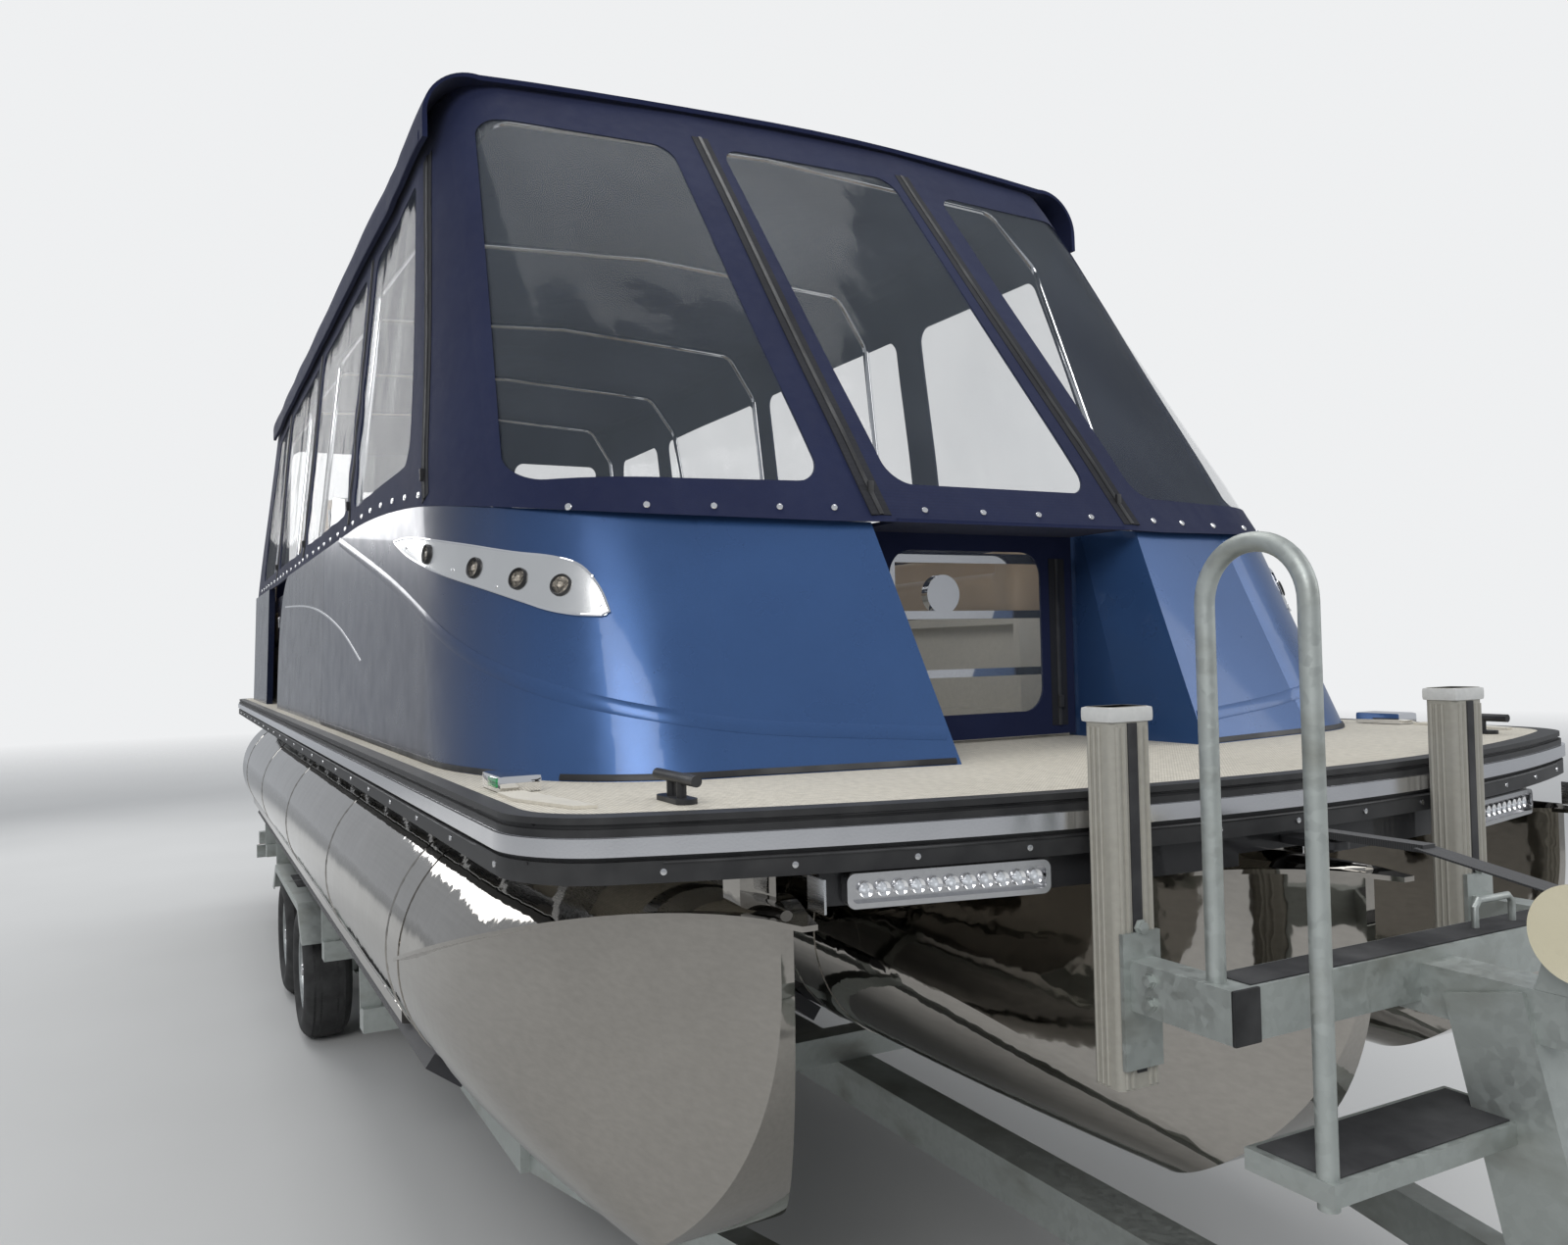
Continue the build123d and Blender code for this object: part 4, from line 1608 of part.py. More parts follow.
keep(jockey_wheel, "jockey_wheel")
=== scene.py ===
"""Looks of a three-log pontoon boat with a full canvas enclosure, parked on its trailer."""

import json
import logging
import math
from dataclasses import dataclass
from enum import Enum
from typing import Iterable, Sequence

import bmesh
import bpy
from mathutils import Matrix, Vector, noise
from mathutils.bvhtree import BVHTree

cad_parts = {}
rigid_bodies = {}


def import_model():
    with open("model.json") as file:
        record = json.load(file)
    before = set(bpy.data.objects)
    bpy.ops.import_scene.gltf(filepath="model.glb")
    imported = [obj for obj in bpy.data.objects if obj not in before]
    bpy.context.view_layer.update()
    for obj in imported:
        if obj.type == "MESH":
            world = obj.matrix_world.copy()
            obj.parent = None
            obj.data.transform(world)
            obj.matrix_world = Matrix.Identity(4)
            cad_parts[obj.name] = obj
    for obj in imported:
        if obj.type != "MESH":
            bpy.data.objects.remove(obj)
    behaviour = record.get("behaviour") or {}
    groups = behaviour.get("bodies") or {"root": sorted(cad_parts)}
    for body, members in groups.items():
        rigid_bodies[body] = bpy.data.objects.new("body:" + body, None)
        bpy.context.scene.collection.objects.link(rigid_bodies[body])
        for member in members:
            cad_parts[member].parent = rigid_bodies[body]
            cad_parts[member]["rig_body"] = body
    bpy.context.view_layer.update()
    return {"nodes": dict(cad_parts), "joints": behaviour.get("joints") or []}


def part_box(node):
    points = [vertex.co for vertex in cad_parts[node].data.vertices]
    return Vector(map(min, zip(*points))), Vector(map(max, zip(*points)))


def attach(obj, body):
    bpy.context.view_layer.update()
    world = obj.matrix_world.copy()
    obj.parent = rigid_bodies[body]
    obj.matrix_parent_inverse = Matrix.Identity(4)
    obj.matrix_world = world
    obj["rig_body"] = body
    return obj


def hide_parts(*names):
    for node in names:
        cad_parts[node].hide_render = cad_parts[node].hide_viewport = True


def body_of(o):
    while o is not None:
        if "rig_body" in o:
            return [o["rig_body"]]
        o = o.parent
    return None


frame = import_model()

LOG = logging.getLogger("pontoon")
Point = tuple[float, float, float]
Pair = tuple[float, float]
Colour = tuple[float, float, float]
Ray = tuple[Point, Point]
Hit = tuple[Vector, Vector]
Stop = tuple[float, Colour | float]
Socket = bpy.types.NodeSocket
Material = bpy.types.Material

BOW = 3.173
STERN = BOW - 7.3
DECK = 1.4
SIDES = (-1.0, 1.0)
AXLES = {"front": 4.2, "rear": 4.98}
UP = (0.0, 0.0, 1.0)
EYE = (BOW + 1.4066, -1.7341, DECK + 0.2325)
WAVE_LENGTH = 0.314
POINT_RADIUS = 1e-4


class Direction(Enum):
    """Axis along which a wave or a coordinate runs."""

    X = "X"
    Y = "Y"
    Z = "Z"


def tone(colour: Colour, share: float) -> Colour:
    """Return a colour made lighter or darker by a share."""
    return tuple(part * share for part in colour)


class Graph:
    """A material's node tree, with short calls for the nodes that the finishes share."""

    def __init__(self, name: str) -> None:
        """Start a material with its own shader.

        Args:
            name: The material's name.
        """
        self.material = bpy.data.materials.new(name)
        self.material.use_nodes = True
        self.tree = self.material.node_tree
        self.shader = self.tree.nodes["Principled BSDF"]
        self.place = self.tree.nodes.new("ShaderNodeTexCoord").outputs["Object"]

    def feed(self, target: Socket, value: object) -> None:
        """Give an input another node's output, a colour or a number.

        Args:
            target: The input.
            value: What it gets.
        """
        if isinstance(value, bpy.types.NodeSocket):
            self.tree.links.new(value, target)
        else:
            target.default_value = (*value, 1.0) if target.type == "RGBA" else value

    def add(self, kind: str, output: str | int, inputs: dict[str | int, object],
            **settings: object) -> Socket:
        """Add a node.

        Args:
            kind: The node type's short name.
            output: The wanted output, by name or number.
            inputs: What the inputs get, by name or number.
            settings: Properties to set on the node.

        Returns:
            The output.
        """
        node = self.tree.nodes.new("ShaderNode" + kind)
        for key, value in settings.items():
            setattr(node, key, value)
        for key, value in inputs.items():
            self.feed(node.inputs[key], value)
        return node.outputs[output]

    def shade(self, **values: object) -> None:
        """Set or join the shader's sockets, named with underscores for spaces."""
        for key, value in values.items():
            self.feed(self.shader.inputs[key.replace("_", " ")], value)

    def stretch(self, scale: Point) -> Socket:
        """Return the object's coordinates scaled along each axis."""
        return self.add("Mapping", "Vector", {"Scale": scale, "Vector": self.place})

    def noise(self, scale: float, detail: float = 3.0, stretch: Point = (1.0, 1.0, 1.0)) -> Socket:
        """Return noise of a fineness per metre, with octaves, on stretched coordinates."""
        inputs = {"Scale": scale, "Detail": detail, "Vector": self.stretch(stretch)}
        return self.add("TexNoise", "Fac", inputs)

    def cells(self, scale: float) -> Socket:
        """Return a random colour for each cell of a Voronoi pattern."""
        return self.add("TexVoronoi", "Color", {"Scale": scale, "Vector": self.stretch((1.0, 1.0, 1.0))})

    def wave(self, pitch: float, direction: Direction) -> Socket:
        """Return a sine wave along an axis, with its pitch in metres."""
        return self.add("TexWave", "Fac", {"Scale": WAVE_LENGTH / pitch, "Vector": self.place},
                        bands_direction=direction.value, wave_profile="SIN")

    def math(self, operation: str, first: object, second: object = 0.0) -> Socket:
        """Return the result of an operation on outputs or numbers."""
        return self.add("Math", "Value", {0: first, 1: second}, operation=operation)

    def reach(self, first: Socket, second: Socket) -> Socket:
        """Return the length of two lengths at right angles."""
        squares = (self.math("MULTIPLY", side, side) for side in (first, second))
        return self.math("SQRT", self.math("ADD", *squares))

    def axis(self, direction: Direction) -> Socket:
        """Return one of the object's coordinates in metres."""
        return self.add("SeparateXYZ", direction.value, {"Vector": self.place})

    def ramp(self, factor: Socket, low: Stop, high: Stop) -> Socket:
        """Return a colour read between two stops.

        Args:
            factor: Value read along the ramp.
            low: Lower place and its colour, or a number for a grey.
            high: Higher place and its colour or grey.

        Returns:
            The ramp's colour.
        """
        output = self.add("ValToRGB", "Color", {"Fac": factor})
        for element, (place, colour) in zip(output.node.color_ramp.elements, (low, high)):
            element.position = place
            element.color = (*(colour if isinstance(colour, tuple) else (colour,) * 3), 1.0)
        return output

    def span(self, value: Socket, low: float, high: float) -> Socket:
        """Return a value mapped from a range to 0 to 1, clamped."""
        return self.add("MapRange", "Result", {"From Min": low, "From Max": high, "Value": value})

    def blend(self, factor: Socket | float, first: object, second: object, mode: str = "MIX") -> Socket:
        """Return two colours mixed by a factor."""
        return self.add("Mix", 2, {0: factor, 6: first, 7: second}, data_type="RGBA", blend_type=mode)

    def times(self, first: Socket, second: Socket) -> Socket:
        """Return one colour multiplied by another."""
        return self.blend(1.0, first, second, "MULTIPLY")

    def bump(self, height: Socket, strength: float, distance: float, **below: Socket) -> Socket:
        """Return a bumped normal, with its height in metres, added to the given Normal if any."""
        inputs = {"Strength": strength, "Distance": distance, "Height": height, **below}
        return self.add("Bump", "Normal", inputs)

    def finish(self, colour: Socket, roughness: Socket, normal: Socket, **more: Socket) -> Material:
        """Join the last outputs to the shader and return the material."""
        self.shade(Base_Color=colour, Roughness=roughness, Normal=normal, **more)
        return self.material


@dataclass(frozen=True)
class Finish:
    """A surface finish, made once as a material."""

    name: str

    def material(self) -> Material:
        """Return the finish's material, built on first use."""
        return bpy.data.materials.get(self.name) or self.build()

    def build(self) -> Material:
        """Build the material."""
        raise NotImplementedError


@dataclass(frozen=True)
class Paint(Finish):
    """Glossy gelcoat or paint, with an optional change of colour from bow to stern, which on the bow panels
    is a painted reflection at the bow end.
    """

    fore: Colour
    aft: Colour
    metallic: float
    roughness: float
    change_from: float = 2.4
    change_to: float = -0.6
    coat: float = 0.45

    def build(self) -> Material:
        """Build the paint: a slow colour change, fine flake and a faint ripple."""
        g = Graph(self.name)
        g.shade(Metallic=self.metallic, Coat_Weight=self.coat, Coat_Roughness=0.05, Specular_IOR_Level=0.3)
        along = g.span(g.axis(Direction.X), self.change_from, self.change_to)
        flake = g.ramp(g.noise(2600.0, 1.0), (0.42, 0.75), (0.62, 1.3))
        cloud = g.ramp(g.noise(1.6), (0.3, 0.92), (0.7, 1.06))
        # Colour ramps from the fore to the aft colour along the boat; on the bow panels the lighter fore end
        # is painted reflection.
        colour = g.times(g.times(g.ramp(along, (0.0, self.fore), (1.0, self.aft)), flake), cloud)
        rough = g.ramp(g.noise(9.0, 4.0), (0.3, self.roughness * 0.85), (0.75, self.roughness * 1.2))
        return g.finish(colour, rough, g.bump(g.noise(7.0, 1.0), 0.12, 0.004))


@dataclass(frozen=True)
class Canvas(Finish):
    """Woven marine canvas, slightly faded and dusty in random patches."""

    colour: Colour
    faded: Colour
    pitch: float = 0.0016

    def build(self) -> Material:
        """Build the cloth: crossed threads, slow fading and soft creases."""
        g = Graph(self.name)
        g.shade(Sheen_Weight=0.06, Sheen_Roughness=0.5, Specular_IOR_Level=0.2)
        base = g.blend(g.span(g.noise(1.8, 4.0), 0.35, 0.7), self.colour, self.faded)
        threads = g.math("MAXIMUM", g.wave(self.pitch, Direction.X), g.wave(self.pitch, Direction.Z))
        speck = g.ramp(g.noise(420.0, 2.0), (0.3, 0.85), (0.7, 1.15))
        colour = g.times(g.times(base, g.ramp(threads, (0.2, 0.72), (0.9, 1.15))), speck)
        rough = g.ramp(g.noise(30.0), (0.2, 0.78), (0.8, 0.92))
        crease = g.bump(g.noise(3.2, 3.0, (1.0, 1.0, 0.55)), 0.5, 0.02)
        return g.finish(colour, rough, g.bump(threads, 0.35, 0.0006, Normal=crease))


@dataclass(frozen=True)
class ClearVinyl(Finish):
    """Clear flexible window vinyl with soft ripples and faint haze."""

    tint: Colour
    haze: float

    def build(self) -> Material:
        """Build the vinyl: see-through, glossy, rippled, cloudier in patches."""
        g = Graph(self.name)
        g.material.surface_render_method = "BLENDED"
        g.shade(Specular_IOR_Level=0.6, IOR=1.46)
        cloud = g.noise(2.2, 4.0, (1.0, 1.0, 0.6))
        alpha = g.ramp(cloud, (0.25, self.haze * 0.8), (0.75, self.haze * 1.35))
        rough = g.ramp(cloud, (0.3, 0.05), (0.8, 0.16))
        colour = g.ramp(cloud, (0.2, self.tint), (0.9, tone(self.tint, 1.15)))
        ripple = g.bump(g.noise(2.6, 2.0, (1.0, 1.0, 0.5)), 0.6, 0.03)
        return g.finish(colour, rough, g.bump(g.noise(11.0, 2.0), 0.25, 0.004, Normal=ripple), Alpha=alpha)


@dataclass(frozen=True)
class WovenVinyl(Finish):
    """Woven vinyl decking: a basket weave of two near tones."""

    light: Colour
    dark: Colour
    pitch: float = 0.007

    def build(self) -> Material:
        """Build the weave from two crossed waves and coarse mottling."""
        g = Graph(self.name)
        g.shade(Specular_IOR_Level=0.3)
        weave = g.math("MULTIPLY", g.wave(self.pitch, Direction.X), g.wave(self.pitch, Direction.Y))
        mottle = g.ramp(g.noise(60.0), (0.3, 0.86), (0.7, 1.08))
        dirt = g.ramp(g.noise(1.3, 5.0), (0.35, 0.9), (0.65, 1.04))
        colour = g.times(g.times(g.ramp(weave, (0.1, self.dark), (0.6, self.light)), mottle), dirt)
        rough = g.ramp(g.noise(40.0, 2.0), (0.2, 0.55), (0.8, 0.72))
        return g.finish(colour, rough, g.bump(weave, 0.6, 0.0012))


@dataclass(frozen=True)
class Metal(Finish):
    """Bare metal, from mirror-polished to satin, with the marks of rolling and handling."""

    colour: Colour
    roughness: float
    grain: Point = (1.0, 60.0, 60.0)
    dents: float = 0.15

    def build(self) -> Material:
        """Build the metal: fine grain along the sheet, smudges and a slow waviness."""
        g = Graph(self.name)
        g.shade(Metallic=1.0)
        streak = g.noise(4.0, 5.0, self.grain)
        smudge = g.noise(3.5, 4.0)
        rolled = g.ramp(streak, (0.3, tone(self.colour, 0.9)), (0.7, self.colour))
        rough = g.math("ADD", g.span(streak, -1.2, 6.0), g.span(smudge, 0.0, 9.0))
        return g.finish(g.times(rolled, g.ramp(smudge, (0.3, 0.93), (0.7, 1.0))),
                        g.math("MULTIPLY", rough, self.roughness * 3.2), g.bump(smudge, self.dents, 0.01))


@dataclass(frozen=True)
class Galvanised(Finish):
    """Hot-dip galvanised steel: spangle, dull patches and grime in places."""

    colour: Colour
    warm: Colour

    def build(self) -> Material:
        """Build the zinc coat from spangle cells, cloudy dull patches and grit."""
        g = Graph(self.name)
        g.shade(Metallic=0.75)
        spangle = g.add("RGBToBW", "Val", {"Color": g.cells(75.0)})
        base = g.ramp(spangle, (0.1, tone(self.colour, 0.86)), (0.9, self.colour))
        patch = g.span(g.noise(5.0, 6.0, (1.0, 1.0, 2.2)), 0.52, 0.72)
        rough = g.ramp(spangle, (0.0, 0.42), (1.0, 0.62))
        grit = g.bump(g.noise(160.0), 0.25, 0.0008)
        return g.finish(g.blend(patch, base, self.warm), rough,
                        g.bump(g.noise(14.0), 0.2, 0.003, Normal=grit))


@dataclass(frozen=True)
class Plastic(Finish):
    """Moulded plastic or rubber with a fine grain and dusting."""

    colour: Colour
    roughness: float = 0.5
    grain: float = 900.0
    dust: float = 0.15

    def build(self) -> Material:
        """Build the plastic: grain bump, cloudy dust and uneven gloss."""
        g = Graph(self.name)
        g.shade(Specular_IOR_Level=0.4)
        pale = tuple(part * (1.0 - self.dust) + 0.45 * self.dust for part in self.colour)
        mottled = g.ramp(g.noise(90.0, 2.0), (0.3, tone(self.colour, 0.9)), (0.7, self.colour))
        colour = g.blend(g.span(g.noise(6.0, 5.0), 0.45, 0.8), mottled, pale)
        rough = g.ramp(g.noise(25.0, 4.0), (0.25, self.roughness * 0.85), (0.8, self.roughness * 1.2))
        return g.finish(colour, rough, g.bump(g.noise(self.grain, 2.0), 0.2, 0.0005))


@dataclass(frozen=True)
class WheelFinish(Finish):
    """Black tyre rubber outside the rim's edge and zinc-grey steel inside it."""

    axle: float
    rubber: Colour = (0.018, 0.018, 0.018)
    steel: Colour = (0.5, 0.52, 0.52)
    height: float = 0.29
    rim: float = 0.174

    def build(self) -> Material:
        """Build the wheel: the distance from the axle parts rubber from steel."""
        g = Graph(self.name)
        along = g.math("SUBTRACT", g.axis(Direction.X), self.axle)
        up = g.math("SUBTRACT", g.axis(Direction.Z), self.height)
        tyre = g.span(g.reach(along, up), self.rim, self.rim + 0.001)
        dust = g.noise(14.0, 5.0)
        rubber = g.ramp(dust, (0.35, self.rubber), (0.75, tone(self.rubber, 2.6)))
        steel = g.ramp(g.cells(70.0), (0.0, tone(self.steel, 0.8)), (1.0, self.steel))
        return g.finish(g.blend(tyre, steel, rubber), g.ramp(tyre, (0.0, 0.42), (1.0, 0.8)),
                        g.bump(dust, 0.2, 0.002), Metallic=g.ramp(tyre, (0.0, 0.85), (1.0, 0.0)))


@dataclass(frozen=True)
class RubRail(Finish):
    """Black extruded rub rail with one polished metal band."""

    black: Colour = (0.012, 0.012, 0.013)
    metal: Colour = (0.72, 0.72, 0.74)
    band_low: float = DECK - 0.0562
    band_high: float = DECK - 0.0288

    def build(self) -> Material:
        """Build the rail: the band's height picks metal or rubber."""
        g = Graph(self.name)
        height = g.axis(Direction.Z)
        band = g.math("MULTIPLY", g.math("GREATER_THAN", height, self.band_low),
                      g.math("LESS_THAN", height, self.band_high))
        scuff = g.noise(18.0, 5.0)
        colour = g.blend(band, g.ramp(scuff, (0.35, self.black), (0.85, 0.035)), self.metal)
        rubber = g.math("MULTIPLY", g.math("SUBTRACT", 1.0, band), 0.4)
        rough = g.math("ADD", rubber, g.span(scuff, -0.6, 6.0))
        return g.finish(colour, rough, g.bump(g.noise(260.0, 2.0), 0.08, 0.0006), Metallic=band)


@dataclass(frozen=True)
class Leather(Finish):
    """Upholstery vinyl: leather grain with soft wear."""

    colour: Colour
    roughness: float = 0.5

    def build(self) -> Material:
        """Build the hide: cell grain, pores and a soft change of tone."""
        g = Graph(self.name)
        g.shade(Sheen_Weight=0.1, Specular_IOR_Level=0.4)
        grain = g.add("TexVoronoi", "Distance", {"Scale": 330.0, "Vector": g.place},
                      feature="DISTANCE_TO_EDGE")
        hide = g.ramp(g.noise(5.0, 4.0), (0.3, tone(self.colour, 0.88)), (0.7, self.colour))
        crack = g.ramp(g.span(grain, 0.0, 0.12), (0.0, 0.8), (1.0, 1.0))
        rough = g.ramp(g.noise(12.0), (0.2, self.roughness * 0.85), (0.8, self.roughness * 1.15))
        return g.finish(g.times(hide, crack), rough, g.bump(grain, 0.4, 0.0006))


@dataclass(frozen=True)
class Carpet(Finish):
    """Looped marine carpet."""

    colour: Colour

    def build(self) -> Material:
        """Build the pile from fine noise."""
        g = Graph(self.name)
        g.shade(Sheen_Weight=0.4, Specular_IOR_Level=0.1)
        pile = g.noise(520.0, 4.0)
        colour = g.ramp(pile, (0.25, tone(self.colour, 0.5)), (0.75, tone(self.colour, 1.5)))
        return g.finish(colour, g.ramp(pile, (0.0, 0.9), (1.0, 1.0)), g.bump(pile, 0.8, 0.003))


@dataclass(frozen=True)
class Webbing(Finish):
    """Woven strap webbing."""

    colour: Colour

    def build(self) -> Material:
        """Build the webbing from crossed ribs."""
        g = Graph(self.name)
        g.shade(Sheen_Weight=0.2)
        ribs = g.math("MAXIMUM", g.wave(0.004, Direction.X), g.wave(0.003, Direction.Y))
        colour = g.ramp(ribs, (0.1, tone(self.colour, 0.6)), (0.9, tone(self.colour, 1.4)))
        rough = g.ramp(g.noise(50.0, 2.0), (0.0, 0.7), (1.0, 0.85))
        return g.finish(colour, rough, g.bump(ribs, 0.5, 0.0008))


@dataclass(frozen=True)
class Lens(Finish):
    """Coloured or clear moulded lens with fine prisms."""

    colour: Colour
    glow: float = 0.0

    def build(self) -> Material:
        """Build the lens: prisms as bump under a glossy face."""
        g = Graph(self.name)
        g.shade(Coat_Weight=0.8, Coat_Roughness=0.03, Emission_Color=self.colour, Emission_Strength=self.glow)
        prisms = g.math("MULTIPLY", g.wave(0.008, Direction.Y), g.wave(0.008, Direction.Z))
        colour = g.ramp(prisms, (0.1, tone(self.colour, 0.55)), (0.7, self.colour))
        rough = g.ramp(g.noise(20.0, 2.0), (0.2, 0.1), (0.8, 0.2))
        return g.finish(colour, rough, g.bump(prisms, 0.5, 0.001))


# Bow panels: real metallic blue gelcoat, with a lighter mid-blue at the bow end that is painted reflection,
# fading to navy by x 1.8.
BOW_PAINT_AND_PAINTED_REFLECTION = Paint("bow_gelcoat_and_painted_reflection", (0.042, 0.1, 0.25), (0.007, 0.012, 0.042), 0.45, 0.3,
                 change_to=1.8, coat=0.3)
NAVY = Paint("navy_gelcoat", (0.007, 0.012, 0.04), (0.006, 0.01, 0.03), 0.1, 0.25, coat=0.2)
GLOSS_BLACK = Paint("gloss_black_paint", (0.012, 0.012, 0.014), (0.012, 0.012, 0.014), 0.3, 0.25)
SATIN_BLACK = Paint("satin_black_paint", (0.02, 0.02, 0.022), (0.02, 0.02, 0.022), 0.2, 0.5)
GREY_GLOSS = Paint("console_grey", (0.09, 0.095, 0.11), (0.09, 0.095, 0.11), 0.1, 0.3)
CREAM_PAINT = Paint("cream_enamel", (0.72, 0.66, 0.48), (0.72, 0.66, 0.48), 0.0, 0.3)
NAVY_CANVAS = Canvas("navy_canvas", (0.007, 0.011, 0.042), (0.011, 0.017, 0.056))
ZIP_TAPE = Canvas("zip_tape", (0.012, 0.012, 0.015), (0.022, 0.023, 0.028), 0.0024)
CLEAR = ClearVinyl("clear_vinyl_sheet", (0.2, 0.23, 0.26), 0.1)
DECKING = WovenVinyl("woven_decking", (0.8, 0.76, 0.66), (0.5, 0.46, 0.38))
MIRROR = Metal("polished_aluminium", (0.37, 0.35, 0.32), 0.045, (1.0, 30.0, 30.0), 0.3)
SATIN = Metal("mill_aluminium", (0.66, 0.67, 0.69), 0.3)
CHROME = Metal("bright_chrome", (0.9, 0.9, 0.91), 0.05, (1.0, 1.0, 1.0), 0.05)
CHROME_WHITE = Metal("bright_plate", (0.86, 0.86, 0.85), 0.22, (1.0, 1.0, 1.0), 0.05)
STAINLESS = Metal("stainless", (0.62, 0.62, 0.63), 0.2)
ZINC = Galvanised("galvanised_steel", (0.46, 0.49, 0.47), (0.30, 0.31, 0.28))
RAIL = RubRail("rub_rail_rubber")
BLACK_PLASTIC = Plastic("black_moulding", (0.014, 0.014, 0.015), 0.45)
POST_PLASTIC = Plastic("post_cover", (0.36, 0.345, 0.3), 0.55, 500.0)
POST_WHITE = Plastic("post_cap", (0.62, 0.62, 0.6), 0.45)
CREAM_PLASTIC = Plastic("seat_base_moulding", (0.66, 0.62, 0.53))
TYRE = Plastic("tyre_rubber", (0.018, 0.018, 0.018), 0.75, 300.0, 0.12)
GRIP = Plastic("grip_tape", (0.03, 0.03, 0.032), 0.85)
TINTED = Plastic("tinted_screen", (0.03, 0.035, 0.04), 0.12)
FRONT_WHEEL = WheelFinish("front_wheel", BOW - AXLES["front"])
REAR_WHEEL = WheelFinish("rear_wheel", BOW - AXLES["rear"])
TAN = Leather("tan_hide", (0.48, 0.36, 0.24))
CARPET = Carpet("bunk_carpet_pile", (0.05, 0.05, 0.055))
STRAP = Webbing("black_webbing", (0.018, 0.018, 0.019))
RED_LENS = Lens("red_lens", (0.5, 0.01, 0.012))
CLEAR_LENS = Lens("clear_lens", (0.75, 0.78, 0.82), 0.15)
AMBER_LENS = Lens("amber_lens", (0.8, 0.28, 0.02))
GREEN_LENS = Lens("green_lens", (0.01, 0.35, 0.1))
LAMP_GLASS = Lens("lamp_glass", (0.62, 0.55, 0.45))

FINISH_NODES: dict[Finish, str] = {
    DECKING: "deck", RAIL: "rub_rail", SATIN: "deck_frame motor_pod",
    MIRROR: "log_starboard log_centre log_port",
    SATIN_BLACK: "front_fascia motor_bracket motor_swivel motor_leg", GLOSS_BLACK: "motor_cowl",
    STAINLESS: "light_bars chair_pedestal propeller", BOW_PAINT_AND_PAINTED_REFLECTION: "bow_panel_starboard bow_panel_port",
    NAVY: "side_panel_starboard side_panel_port stern_fence side_gate_starboard side_gate_port stern_gate",
    NAVY_CANVAS: "canopy_roof curtain_front curtain_starboard curtain_port curtain_aft",
    CLEAR: "clear_windows", CHROME: "bow_gate canopy_frame", CREAM_PLASTIC: "seat_bases",
    GREY_GLOSS: "helm_console",
    TAN: "cushions_starboard cushions_port cushions_stern helm_chair", BLACK_PLASTIC: "helm_wheel cleats",
    ZINC: "trailer_frame axles mudguards coupling bow_stop_frame winch_frame "
          "jockey_tube jockey_leg jockey_fork",
    FRONT_WHEEL: "wheel_front_starboard wheel_front_port", REAR_WHEEL: "wheel_rear_starboard wheel_rear_port",
    CARPET: "bunks", RED_LENS: "tail_lights", POST_PLASTIC: "guide_posts", CREAM_PAINT: "winch_drum",
    STRAP: "winch_strap", TYRE: "jockey_wheel"}
NODE_FINISHES = {node: finish for finish, nodes in FINISH_NODES.items() for node in nodes.split()}


def square_to(ahead: Vector) -> Vector:
    """Return a unit vector at right angles to another."""
    spare = Vector(UP) if abs(ahead.z) < 0.9 else Vector((1.0, 0.0, 0.0))
    return ahead.cross(spare).normalized()


def circle(centre: Vector, across: Vector, other: Vector, radius: float, sides: int) -> list[Vector]:
    """Return a circle's points, from two unit vectors in its plane."""
    turns = (math.tau * k / sides for k in range(sides))
    return [centre + (across * math.cos(turn) + other * math.sin(turn)) * radius for turn in turns]


